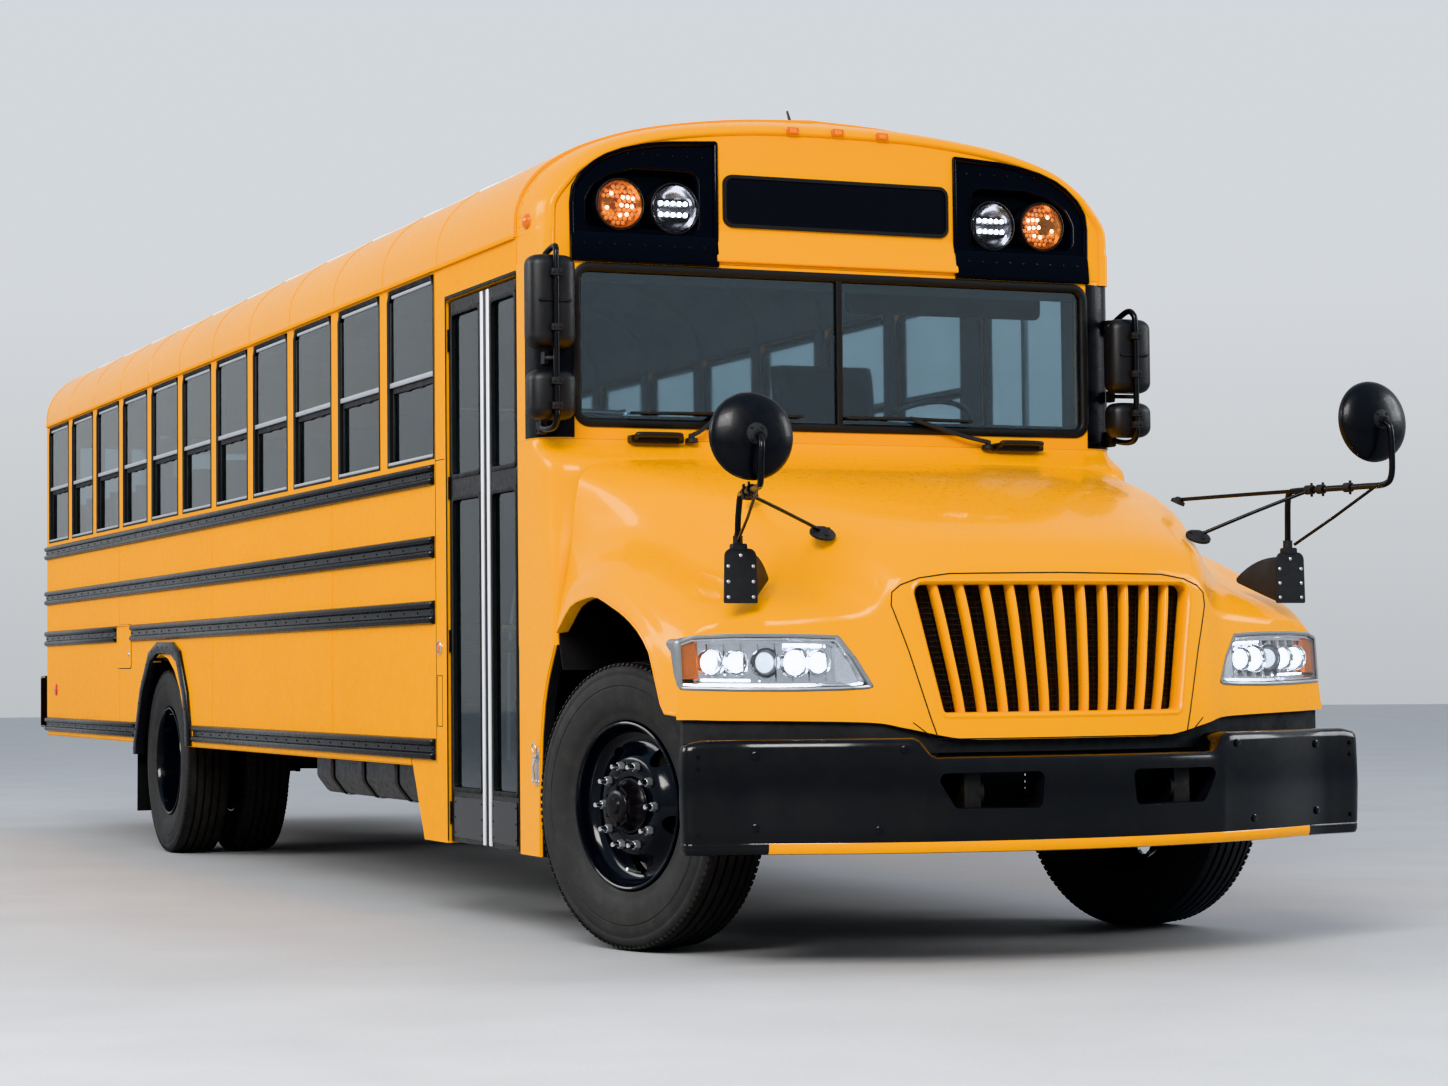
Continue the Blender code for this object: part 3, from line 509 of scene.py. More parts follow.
def paint(name, col, rough=0.22, coat=0.6, dirt=(0.20, 0.13, 0.06), dirt_amount=0.5, low=0.25, high=1.0,
          vary=0.10, metallic=0.0, peel=0.25, spec=0.4):
    m, nt, b = nodes_of(name)
    vec = coords(nt)
    base = tuple(col)
    shade = tuple(c * (1 - vary) for c in col)
    big = noise_tex(nt, vec, 1.3, 5, 0.6)
    fine = noise_tex(nt, vec, 38, 4, 0.7)
    c = mix(nt, grey(nt, big, 0, 1, 0.35, 0.7), base, shade)
    if dirt_amount:
        z = height_of(nt)["Z"]
        fall = grey(nt, z, 1.0, 0.0, low, high)
        spots = grey(nt, noise_tex(nt, vec, 9, 6, 0.75), 0, 1, 0.42, 0.75)
        amount = maths(nt, "MULTIPLY", maths(nt, "MULTIPLY", fall, spots), dirt_amount, True)
        c = mix(nt, amount, c, dirt)
    nt.links.new(c, b.inputs["Base Color"])
    nt.links.new(grey(nt, fine, rough * 0.75, rough * 1.35, 0.3, 0.7), b.inputs["Roughness"])
    b.inputs["Metallic"].default_value = metallic
    b.inputs["Coat Weight"].default_value = coat
    b.inputs["Coat Roughness"].default_value = 0.06
    b.inputs["Specular IOR Level"].default_value = spec
    bump(nt, b, noise_tex(nt, vec, 420, 2, 0.5), peel, 0.0004)
    return m


def plain(name, col, rough, grain=900, strength=0.35, dist=0.0006, vary=0.25, metallic=0.0, spec=0.5,
          wear=None, scale=(1, 1, 1)):
    m, nt, b = nodes_of(name)
    vec = coords(nt, scale)
    big = noise_tex(nt, vec, 6, 6, 0.65)
    c = mix(nt, grey(nt, big, 0, 1, 0.3, 0.7), tuple(col), tuple(v * (1 - vary) for v in col))
    if wear:
        spots = grey(nt, noise_tex(nt, vec, 14, 8, 0.8), 0, 0.6, 0.55, 0.78)
        c = mix(nt, spots, c, wear)
    nt.links.new(c, b.inputs["Base Color"])
    nt.links.new(grey(nt, noise_tex(nt, vec, 22, 5, 0.7), rough * 0.8, min(1, rough * 1.25)), b.inputs["Roughness"])
    b.inputs["Metallic"].default_value = metallic
    b.inputs["Specular IOR Level"].default_value = spec
    bump(nt, b, noise_tex(nt, vec, grain, 3, 0.6), strength, dist)
    return m


def pane(name, tint, rough=0.015, weight=1.0, ior=1.45, haze=0.0):
    """Sheet glass: mostly clear with a tint that varies a little."""
    m, nt, b = nodes_of(name)
    vec = coords(nt)
    n = noise_tex(nt, vec, 3, 5, 0.6)
    nt.links.new(mix(nt, grey(nt, n, 0, 1), tuple(tint), tuple(t * 0.9 for t in tint)), b.inputs["Base Color"])
    nt.links.new(grey(nt, noise_tex(nt, vec, 11, 6, 0.7), rough, rough * 3 + haze), b.inputs["Roughness"])
    b.inputs["Transmission Weight"].default_value = weight
    b.inputs["IOR"].default_value = ior
    bump(nt, b, noise_tex(nt, vec, 2.2, 2, 0.5), 0.15, 0.002)
    return m


def glow(name, col, lens, strength, cells=0.0, rough=0.08):
    """Lamp lens with its own light and a moulded pattern of small prisms."""
    m, nt, b = nodes_of(name)
    vec = coords(nt)
    w = nt.nodes.new("ShaderNodeTexVoronoi")
    w.inputs["Scale"].default_value = cells or 60
    nt.links.new(vec, w.inputs["Vector"])
    nt.links.new(mix(nt, grey(nt, w.outputs["Distance"], 0, 1, 0.0, 0.6), tuple(lens), tuple(v * 0.72 for v in lens)),
                 b.inputs["Base Color"])
    b.inputs["Roughness"].default_value = rough
    b.inputs["Emission Color"].default_value = (*col, 1)
    b.inputs["Emission Strength"].default_value = strength
    b.inputs["Coat Weight"].default_value = 0.5
    bump(nt, b, w.outputs["Distance"], 0.25, 0.004)
    return m


YEL = (0.92, 0.372, 0.004)
M = {}
M["yellow"] = paint("yellow_gloss", YEL, rough=0.30, coat=0.32, dirt_amount=0.22, low=0.2, high=1.0, vary=0.05, peel=0.12, spec=0.3)
M["yellow_side"] = paint("yellow_side", (0.93, 0.368, 0.004), rough=0.42, coat=0.10, dirt_amount=0.32, low=0.2, high=1.3, vary=0.07, spec=0.16)
M["black"] = paint("black_gloss", (0.006, 0.0065, 0.008), rough=0.16, coat=0.35, spec=0.25, dirt=(0.014, 0.013, 0.013),
                   dirt_amount=0.12, low=0.2, high=0.9, vary=0.2)
M["black_satin"] = paint("black_satin", (0.007, 0.007, 0.008), rough=0.32, coat=0.12, spec=0.3, dirt=(0.05, 0.04, 0.035),
                         dirt_amount=0.3, low=0.2, high=1.2, vary=0.3)
M["rail"] = paint("black_rail", (0.005, 0.005, 0.006), rough=0.28, coat=0.15, spec=0.3, dirt=(0.03, 0.025, 0.02),
                  dirt_amount=0.1, low=0.2, high=1.4, vary=0.1)
M["plastic"] = plain("plastic_black", (0.016, 0.016, 0.017), 0.42)
M["plastic_matte"] = plain("plastic_matte", (0.022, 0.022, 0.023), 0.62, vary=0.3)
M["plastic_grey"] = plain("plastic_grey", (0.11, 0.11, 0.115), 0.6)
M["rubber"] = plain("rubber_seal", (0.010, 0.010, 0.010), 0.55, grain=500)
M["frame"] = plain("frame_black", (0.022, 0.021, 0.020), 0.6, grain=160, dist=0.001, vary=0.4, wear=(0.09, 0.065, 0.045))
M["cast"] = plain("cast_iron", (0.085, 0.082, 0.078), 0.68, grain=260, dist=0.0012, vary=0.4, wear=(0.14, 0.07, 0.035),
                  metallic=0.4)
M["pipe"] = plain("exhaust_steel", (0.16, 0.13, 0.11), 0.5, grain=120, dist=0.001, vary=0.5, wear=(0.16, 0.06, 0.025),
                  metallic=0.75)
M["alu"] = plain("sash_aluminium", (0.34, 0.35, 0.36), 0.32, grain=700, strength=0.15, vary=0.15, metallic=0.75)
M["alu_light"] = plain("bar_aluminium", (0.50, 0.52, 0.55), 0.36, grain=700, strength=0.15, vary=0.12, metallic=0.5)
M["chrome"] = plain("chrome", (0.72, 0.73, 0.75), 0.09, grain=300, strength=0.05, vary=0.1, metallic=1.0)
M["steel"] = plain("bright_steel", (0.60, 0.61, 0.63), 0.30, grain=400, strength=0.15, vary=0.2, metallic=0.75)
M["vinyl"] = plain("seat_vinyl", (0.015, 0.026, 0.060), 0.42, grain=320, strength=0.25, dist=0.0006, vary=0.12)
M["vinyl_grey"] = plain("driver_cloth", (0.030, 0.032, 0.037), 0.8, grain=900, strength=0.06, dist=0.0004, vary=0.06)
M["floor"] = plain("floor_rubber", (0.030, 0.030, 0.031), 0.6, grain=80, dist=0.001, vary=0.3, wear=(0.08, 0.07, 0.06))
M["inside"] = plain("inside_panel", (0.20, 0.205, 0.205), 0.45, grain=500, strength=0.2, vary=0.1)
M["ceiling"] = plain("ceiling_panel", (0.34, 0.35, 0.35), 0.5, grain=500, strength=0.2, vary=0.1)
M["glass"] = pane("window_glass", (0.42, 0.52, 0.56))
M["glass_front"] = pane("front_glass", (0.56, 0.75, 0.86), ior=1.72)
M["glass_dark"] = pane("tinted_glass", (0.13, 0.16, 0.17))
M["mirror"] = plain("mirror_glass", (0.80, 0.82, 0.84), 0.03, grain=20, strength=0.02, vary=0.04, metallic=1.0)
M["lens"] = pane("lamp_cover", (0.93, 0.95, 0.97), rough=0.02)
M["amber"] = glow("amber_lens", (1.0, 0.28, 0.02), (0.62, 0.13, 0.008), 0.22, 130)
M["amber_lit"] = glow("amber_lit", (1.0, 0.30, 0.03), (0.62, 0.15, 0.01), 0.6, 120)
M["red_lens"] = glow("red_lens", (0.9, 0.02, 0.01), (0.42, 0.012, 0.01), 0.25, 120)
M["white_lit"] = glow("white_lit", (0.97, 0.98, 1.0), (0.9, 0.9, 0.9), 16.0, 90)
M["lens_white"] = glow("white_lens", (0.9, 0.9, 0.9), (0.55, 0.56, 0.58), 0.05, 120)
M["dark_chrome"] = plain("dark_chrome", (0.14, 0.14, 0.155), 0.16, grain=300, strength=0.05, vary=0.15, metallic=1.0)
M["glow_soft"] = glow("projector_lens", (0.85, 0.92, 1.0), (0.55, 0.58, 0.62), 1.1, 60)
M["amber_bowl"] = plain("amber_bowl", (0.40, 0.13, 0.014), 0.22, grain=300, strength=0.1, vary=0.2, metallic=0.85)
M["led"] = glow("lamp_diode", (1.0, 0.90, 0.72), (0.9, 0.85, 0.7), 9.0, 200)
# glowing material for the chrome wedge in the headlights: a painted glow standing in for the reflection it catches,
# though the wedge is no lamp
M["wedge_glow"] = glow("wedge_painted_glow", (0.85, 0.90, 1.0), (0.50, 0.52, 0.55), 0.22, 140)
M["white"] = paint("white_satin", (0.80, 0.81, 0.80), rough=0.42, coat=0.1, dirt=(0.42, 0.40, 0.36), dirt_amount=0.4,
                   low=-1, high=6, vary=0.06)
M["sign"] = plain("sign_board", (0.008, 0.0085, 0.011), 0.34, grain=240, strength=0.04, dist=0.0003, vary=0.06, spec=0.2)
M["pod"] = paint("pod_black", (0.004, 0.0045, 0.0065), rough=0.26, coat=0.12, spec=0.12, dirt=(0.012, 0.012, 0.012),
                 dirt_amount=0.1, low=0.2, high=0.9, vary=0.15)
M["red"] = paint("red_reflective", (0.52, 0.008, 0.010), rough=0.35, coat=0.3, dirt_amount=0.15, vary=0.1)
M["trim_white"] = paint("white_border", (0.80, 0.80, 0.79), rough=0.4, coat=0.1, dirt_amount=0.2, vary=0.05)
M["dark_in"] = plain("dark_inside", (0.006, 0.006, 0.006), 0.8)


def tyre_material():
    m, nt, b = nodes_of("tyre_rubber")
    vec = coords(nt)
    n1 = noise_tex(nt, vec, 5, 6, 0.7)
    dust = grey(nt, noise_tex(nt, vec, 16, 8, 0.75), 0, 0.30, 0.48, 0.78)
    c = mix(nt, grey(nt, n1, 0, 1), (0.020, 0.020, 0.020), (0.030, 0.029, 0.028))
    nt.links.new(mix(nt, dust, c, (0.085, 0.075, 0.062)), b.inputs["Base Color"])
    nt.links.new(grey(nt, n1, 0.55, 0.8), b.inputs["Roughness"])
    bump(nt, b, noise_tex(nt, vec, 300, 3, 0.6), 0.35, 0.0008)
    return m


def roof_material():
    """Yellow edges and a white middle, as the roof is painted."""
    m, nt, b = nodes_of("roof_paint")
    vec = coords(nt)
    out = height_of(nt)
    ax = maths(nt, "ABSOLUTE", out["X"])
    inside = maths(nt, "LESS_THAN", ax, 1.045)
    behind = maths(nt, "GREATER_THAN", out["Y"], 1.24 - YM)
    before = maths(nt, "LESS_THAN", out["Y"], 9.86 - YM)
    mask = maths(nt, "MULTIPLY", maths(nt, "MULTIPLY", inside, behind), before)
    n1 = noise_tex(nt, vec, 1.6, 5, 0.6)
    stain = grey(nt, noise_tex(nt, coords(nt, (1.0, 6.0, 1.0)), 4, 6, 0.7), 0, 0.22, 0.45, 0.8)
    white = mix(nt, grey(nt, n1, 0, 1), (0.80, 0.81, 0.81), (0.73, 0.745, 0.75))
    white = mix(nt, stain, white, (0.42, 0.40, 0.36))
    yel = mix(nt, grey(nt, n1, 0, 1, 0.35, 0.7), YEL, tuple(v * 0.9 for v in YEL))
    nt.links.new(mix(nt, mask, yel, white), b.inputs["Base Color"])
    nt.links.new(grey(nt, noise_tex(nt, vec, 40, 4, 0.7), 0.26, 0.42), b.inputs["Roughness"])
    b.inputs["Coat Weight"].default_value = 0.35
    bump(nt, b, noise_tex(nt, vec, 420, 2, 0.5), 0.25, 0.0004)
    return m


def bumper_material():
    """Gloss black with a yellow strip along the bottom edge, short of the ends."""
    m, nt, b = nodes_of("bumper_paint")
    vec = coords(nt)
    out = height_of(nt)
    low = maths(nt, "LESS_THAN", out["Z"], 0.4205)
    near = maths(nt, "LESS_THAN", maths(nt, "ABSOLUTE", out["X"]), 1.02)
    front = maths(nt, "MULTIPLY", low, near)
    n1 = noise_tex(nt, vec, 7, 6, 0.7)
    spots = grey(nt, noise_tex(nt, vec, 12, 8, 0.75), 0, 0.25, 0.5, 0.8)
    blk = mix(nt, spots, mix(nt, grey(nt, n1, 0, 1), (0.006, 0.006, 0.007), (0.010, 0.010, 0.010)), (0.03, 0.026, 0.02))
    yel = mix(nt, spots, (0.85, 0.34, 0.006), (0.40, 0.18, 0.02))
    nt.links.new(mix(nt, front, blk, yel), b.inputs["Base Color"])
    nt.links.new(grey(nt, noise_tex(nt, vec, 30, 5, 0.7), 0.12, 0.26), b.inputs["Roughness"])
    b.inputs["Coat Weight"].default_value = 0.30
    b.inputs["Coat Roughness"].default_value = 0.08
    b.inputs["Specular IOR Level"].default_value = 0.3
    bump(nt, b, noise_tex(nt, vec, 400, 2, 0.5), 0.25, 0.0004)
    return m


M["tyre"] = tyre_material()
M["roof"] = roof_material()
M["bumper"] = bumper_material()

SLOT = {"yellow": "yellow_paint", "yellow_side": "yellow_paint", "roof": "yellow_paint", "white": "white_paint",
        "black": "black_paint", "black_satin": "black_paint", "rail": "black_paint", "bumper": "black_paint", "pod": "black_paint",
        "frame": "frame_black", "cast": "cast", "pipe": "cast", "tyre": "tyre", "glass": "glass",
        "glass_front": "glass", "glass_dark": "glass", "vinyl": "vinyl", "floor": "floor_rubber",
        "plastic": "plastic_black", "plastic_matte": "plastic_black", "plastic_grey": "plastic_grey",
        "lens": "lamp", "white_lit": "lamp", "red": "red_paint"}
SLOT_OF = {M[k].name: v for k, v in SLOT.items()}


def put(name, parts, mat, body="body", slot=True, **k):
    """One piece from closed shapes in the material called mat."""
    ob = solid(name, parts, M[mat], body, **k)
    return ob


def done(ob):
    return ob


# ------------------------------------------------------------ hood and nose
HOOD = [
    (0.000, (0, 1.305), (0.330, 1.300), (0.560, 1.262), (0.660, 1.160),
     (0.900, 1.135), (1.120, 1.125), (1.205, 1.060), (1.238, 0.832)),
    (0.045, (0, 1.385), (0.360, 1.380), (0.620, 1.345), (0.735, 1.215),
     (0.920, 1.190), (1.130, 1.170), (1.215, 1.080), (1.248, 0.838)),
    (0.130, (0, 1.455), (0.420, 1.450), (0.700, 1.405), (0.815, 1.270),
     (0.960, 1.235), (1.135, 1.215), (1.220, 1.135), (1.252, 1.035)),
    (0.270, (0, 1.535), (0.480, 1.530), (0.790, 1.490), (0.900, 1.345),
     (1.010, 1.300), (1.135, 1.285), (1.225, 1.215), (1.252, 1.140)),
    (0.430, (0, 1.610), (0.540, 1.605), (0.870, 1.565), (0.980, 1.430),
     (1.050, 1.380), (1.135, 1.352), (1.225, 1.280), (1.250, 1.198)),
    (0.600, (0, 1.665), (0.600, 1.660), (0.930, 1.625), (1.035, 1.520),
     (1.085, 1.440), (1.140, 1.395), (1.220, 1.325), (1.244, 1.236)),
    (0.800, (0, 1.715), (0.640, 1.712), (0.990, 1.680), (1.090, 1.600),
     (1.115, 1.500), (1.150, 1.420), (1.205, 1.330), (1.232, 1.218)),
    (1.000, (0, 1.752), (0.660, 1.750), (1.035, 1.732), (1.128, 1.672),
     (1.150, 1.560), (1.162, 1.440), (1.185, 1.300), (1.215, 1.120))]
HOOD_REAR = 0.318
FOOT = [0.742, 0.742, 0.780, 0.800, 0.808, 0.812, 0.815, 0.815]


def pchip(xs, ys, x):
    """Shape-keeping cubic through the points, at the places x."""
    xs, ys, x = (np.asarray(v, float) for v in (xs, ys, x))
    h = np.diff(xs)
    d = np.diff(ys) / h
    m = np.zeros(len(xs))
    for k in range(1, len(xs) - 1):
        if d[k - 1] * d[k] > 0:
            w1, w2 = 2 * h[k] + h[k - 1], h[k] + 2 * h[k - 1]
            m[k] = (w1 + w2) / (w1 / d[k - 1] + w2 / d[k])
    m[0], m[-1] = d[0], d[-1]
    k = np.clip(np.searchsorted(xs, x) - 1, 0, len(xs) - 2)
    t = (x - xs[k]) / h[k]
    a, b = 2 * t ** 3 - 3 * t ** 2 + 1, t ** 3 - 2 * t ** 2 + t
    return a * ys[k] + b * h[k] * m[k] + (1 - a) * ys[k + 1] + (t ** 3 - t ** 2) * h[k] * m[k + 1]


def nose_y(x, z):
    ax = abs(x)
    return -1.215 + 0.235 * x * x + 0.03 * ss(0.56, 0.72, ax) + 0.10 * (z - 1.09)


T_ROWS = [r[0] for r in HOOD]
S_AT = sorted(set([round(v, 4) for v in np.linspace(0, 6, 37)] + [6.12, 6.25, 6.42, 6.60, 6.80, 7.0]))
T_AT = [0, .008, .018, .03, .045, .065, .09, .13, .17, .22, .27, .32, .37, .43, .49, .55, .6, .66, .72, .78,
        .84, .9, .95, 1.0]


def hood_grid():
    """Half of the outer skin: rows of points from the middle to the arch."""
    tab = np.array([[p for p in r[1:]] for r in HOOD])          # rows, columns, (x, z)
    col = np.zeros((len(T_AT), 8, 2))
    for c in range(8):
        for a in range(2):
            col[:, c, a] = pchip(T_ROWS, tab[:, c, a], T_AT)
    out = np.zeros((len(T_AT), len(S_AT), 2))
    for k in range(len(T_AT)):
        for a in range(2):
            out[k, :, a] = pchip(range(8), col[k, :, a], S_AT)
    return out


HG = hood_grid()
FOOT_AT = pchip(range(8), FOOT, S_AT)


def hood_skin():
    rows = []
    nz = 15
    for k in range(nz):                                  # front wall, from the foot up
        row = []
        for i in range(len(S_AT)):
            x, zt = HG[0, i]
            z = lerp(FOOT_AT[i], zt, k / nz)
            row.append((x, nose_y(x, z), z))
        rows.append(row)
    for k, t in enumerate(T_AT):
        row = []
        for i in range(len(S_AT)):
            x, z = HG[k, i]
            row.append((x, lerp(nose_y(x, z), HOOD_REAR, t), z))
        rows.append(row)
    flare = []
    for j, row in enumerate(rows):
        r = [list(p) for p in row]
        if j >= nz + 4:                                  # raised band round the arch
            for i, s in enumerate(S_AT):
                if s >= 6.20:
                    r[i][0] += 0.008 * ss(6.20, 6.27, s)
        flare.append([tuple(p) for p in r])
    return flare


def mirrored(rows):
    return [[(-a, b, c) for a, b, c in r[::-1]] + r[1:] for r in rows]


def thick(rows, d):
    """Closed shell of thickness d behind a sheet of points."""
    P = np.array(rows)
    du = np.zeros_like(P)
    dv = np.zeros_like(P)
    du[:, 1:-1] = P[:, 2:] - P[:, :-2]
    du[:, 0], du[:, -1] = P[:, 1] - P[:, 0], P[:, -1] - P[:, -2]
    dv[1:-1] = P[2:] - P[:-2]
    dv[0], dv[-1] = P[1] - P[0], P[-1] - P[-2]
    nrm = np.cross(du, dv)
    nrm /= np.maximum(np.linalg.norm(nrm, axis=2, keepdims=True), 1e-9)
    Q = P + nrm * d
    m, n = P.shape[:2]
    verts = [tuple(p) for p in P.reshape(-1, 3)] + [tuple(p) for p in Q.reshape(-1, 3)]
    o = m * n
    faces = []
    for k in range(m - 1):
        for i in range(n - 1):
            a, b, c, e = k * n + i, k * n + i + 1, (k + 1) * n + i + 1, (k + 1) * n + i
            faces += [[a, b, c, e], [o + e, o + c, o + b, o + a]]
    for i in range(n - 1):
        faces += [[i + 1, i, o + i, o + i + 1]]
        a = (m - 1) * n + i
        faces += [[a, a + 1, o + a + 1, o + a]]
    for k in range(m - 1):
        a, b = k * n, (k + 1) * n
        faces += [[a, b, o + b, o + a]]
        a, b = k * n + n - 1, (k + 1) * n + n - 1
        faces += [[b, a, o + a, o + b]]
    return verts, faces


SKIN = hood_skin()
hood = build("hood_shell", *thick(mirrored(SKIN), -0.006), M["yellow"], "hood", angle=40)

LIGHT = [(0.655, 0.914, 0.922), (0.700, 0.910, 1.006), (0.752, 0.908, 1.082), (0.900, 0.906, 1.088),
         (1.060, 0.908, 1.090), (1.180, 0.912, 1.086), (1.226, 0.914, 1.070)]


def light_z(x):
    xs = [s[0] for s in LIGHT]
    return (float(np.interp(x, xs, [s[1] for s in LIGHT])), float(np.interp(x, xs, [s[2] for s in LIGHT])))


def light_cutter(side):
    out = []
    for x, a, b in LIGHT:
        y = nose_y(x, 1.0)
        ring = [(x, y - 0.08, a), (x, y + 0.05, a), (x, y + 0.05, b), (x, y - 0.08, b)]
        out.append([(side * p[0], p[1], p[2]) for p in ring])
    return rings(out)


G_OUT = rpoly([(-0.450, 0.814), (0.450, 0.814), (0.538, 1.262), (-0.538, 1.262)], [0.030, 0.030, 0.045, 0.045], 6)
grille_cutter = prism(G_OUT, "y", -1.45, -1.00)
cut(hood, [light_cutter(1), light_cutter(-1), grille_cutter], "MANIFOLD")
resharp(hood, 40)
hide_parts("hood")
done(hood)


# dark lining under the skin, behind the front wall: a liner, and also painted shade that darkens the underside seen
# inside the wheel arch
def under(rows, d):
    P = np.array(rows)
    du, dv = np.gradient(P, axis=1), np.gradient(P, axis=0)
    nrm = np.cross(du, dv)
    nrm /= np.maximum(np.linalg.norm(nrm, axis=2, keepdims=True), 1e-9)
    return [[tuple(p) for p in r] for r in P + nrm * d]


# near-black sheet under the skin: part real liner, part painted shade inside the arch
lining_and_shade_rows = under(mirrored(SKIN), -0.0085)[18:]
put("hood_lining_with_arch_shade", thick(lining_and_shade_rows, -0.003), "plastic_matte", "hood", angle=50)

# rolled edge round the arch
edge = [SKIN[j][-1] for j in range(14, len(SKIN))]
roll_rows = []
for x, y, z in edge:
    roll_rows.append([(x + 0.0006, y, z + 0.006), (x + 0.003, y, z), (x + 0.001, y, z - 0.005),
                      (x - 0.006, y, z - 0.007), (x - 0.045, y, z - 0.002), (x - 0.045, y, z + 0.003),
                      (x - 0.008, y, z + 0.001)])
put("arch_roll_front", pair(rings(roll_rows)), "yellow", "hood", angle=50)


def on_nose(x, z, d=0.0):
    return (x, nose_y(x, z) + d, z)


def fine(outline, step=0.02, closed=True):
    out = []
    m = len(outline)
    for i in range(m if closed else m - 1):
        a, b = outline[i], outline[(i + 1) % m]
        k = max(1, int(math.dist(a, b) / step))
        out += [(lerp(a[0], b[0], j / k), lerp(a[1], b[1], j / k)) for j in range(k)]
    if not closed:
        out.append(outline[-1])
    return out


def nose_frame(outline, profile):
    """Section (inwards, depth) carried round a closed outline on the nose."""
    pts = fine(outline)
    m = len(pts)
    secs = []
    for i, p in enumerate(pts):
        a, b = Vector(pts[i - 1]), Vector(pts[(i + 1) % m])
        t = (b - a).normalized()
        nrm = Vector((-t.y, t.x))
        secs.append([on_nose(p[0] + nrm.x * u, p[1] + nrm.y * u, d) for u, d in profile])
    return rings(secs, closed=True)


# grille: lip, bars, black backing and seam
lip = nose_frame(G_OUT, [(-0.004, -0.001), (0.004, -0.004), (0.012, 0.002), (0.016, 0.014), (0.016, 0.060),
                         (0.010, 0.060), (-0.004, 0.012)])
bars = []
for k in range(11):
    f = (k - 5) / 6.0
    cols = []
    for j in range(15):
        t = j / 14
        z = lerp(0.806, 1.266, t)
        xc = f * lerp(0.440, 0.526, (z - 0.82) / 0.428)
        w = lerp(0.0112, 0.0128, t)
        nose_in = 0.010 + 0.012 * (1 - math.sin(math.pi * min(1, max(0, t)))) ** 2
        ring = []
        for a in range(13):
            u = math.pi * a / 12
            ring.append(on_nose(xc + w * math.cos(u), z, nose_in + 0.024 - 0.024 * math.sin(u)))
        ring += [on_nose(xc - w * 0.72, z, nose_in + 0.046), on_nose(xc + w * 0.72, z, nose_in + 0.046)]
        cols.append(ring)
    bars.append(rings(cols))
g = put("grille_bars", [lip] + bars, "yellow", "hood", angle=45)
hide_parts("grille")
back = []
for d in (0.075, 0.085):
    back.append([on_nose(x, z, d) for x, z in fine(G_OUT)])
put("grille_backing", rings(back), "dark_in", "hood")
mesh = []
for k in range(24):
    z = lerp(0.826, 1.243, k / 23)
    h = lerp(0.442, 0.522, (z - 0.82) / 0.428)
    mesh.append(pipe([on_nose(lerp(-h, h, j / 16), z, 0.066) for j in range(17)], 0.0016, 5))
for k in range(46):
    f = lerp(-1, 1, k / 45)
    mesh.append(pipe([on_nose(f * lerp(0.442, 0.522, j / 6), lerp(0.820, 1.248, j / 6), 0.068) for j in range(7)],
                     0.0014, 5))
put("grille_mesh", mesh, "plastic", "hood")

G_SEAM = [(-0.470, 0.760), (-0.487, 0.815), (-0.545, 1.030), (-0.592, 1.180), (-0.588, 1.222), (-0.560, 1.246),
          (-0.500, 1.268), (-0.400, 1.282), (0.0, 1.286)]
half_seam = fine(G_SEAM, 0.02, closed=False)
seam_line = [on_nose(x, z, -0.0002) for x, z in half_seam] + [on_nose(-x, z, -0.0002) for x, z in half_seam[::-1][1:]]
put("nose_seam", pipe(seam_line, 0.0024, 6), "rubber", "hood")
tr = fine([(-0.545, 0.800), (-0.478, 0.745), (0.478, 0.745), (0.545, 0.800)], 0.03, closed=False)
put("nose_fold", pipe([on_nose(x, z, -0.0002) for x, z in tr], 0.0020, 6), "rubber", "hood")


# headlights
def lamp_patch(x0, x1, f0, f1, d, back=None, n=12, m=4, side=1):
    """Closed block between two depths over part of the lamp's face."""
    sheets = []
    for dd in (d, back if back is not None else d + 0.004):
        rows = []
        for j in range(m + 1):
            row = []
            for i in range(n + 1):
                x = lerp(x0, x1, i / n)
                a, b = light_z(x)
                z = lerp(a, b, lerp(f0, f1, j / m))
                row.append((side * x, nose_y(x, z) + dd, z))
            rows.append(row)
        sheets.append(rows)
    A, B = np.array(sheets[0]), np.array(sheets[1])
    mm, nn = A.shape[:2]
    verts = [tuple(p) for p in A.reshape(-1, 3)] + [tuple(p) for p in B.reshape(-1, 3)]
    o = mm * nn
    faces = []
    for k in range(mm - 1):
        for i in range(nn - 1):
            a, b, c, e = k * nn + i, k * nn + i + 1, (k + 1) * nn + i + 1, (k + 1) * nn + i
            faces += [[a, b, c, e], [o + e, o + c, o + b, o + a]]
    edge = [i for i in range(nn)] + [k * nn + nn - 1 for k in range(1, mm)] + \
           [(mm - 1) * nn + i for i in range(nn - 2, -1, -1)] + [k * nn for k in range(mm - 2, 0, -1)]
    for i in range(len(edge)):
        a, b = edge[i], edge[(i + 1) % len(edge)]
        faces.append([b, a, o + a, o + b])
    return verts, faces


def lamp_outline(grow=0.0):
    lo = [(x, a - grow) for x, a, b in LIGHT]
    hi = [(x, b + grow) for x, a, b in LIGHT][::-1]
    lo[0] = (lo[0][0] - grow * 1.5, lo[0][1])
    hi[0] = (hi[0][0] + grow * 0.5, hi[0][1])
    lo[-1] = (lo[-1][0] + grow * 0.5, lo[-1][1])
    return [p for p in lo] + hi[:-1]


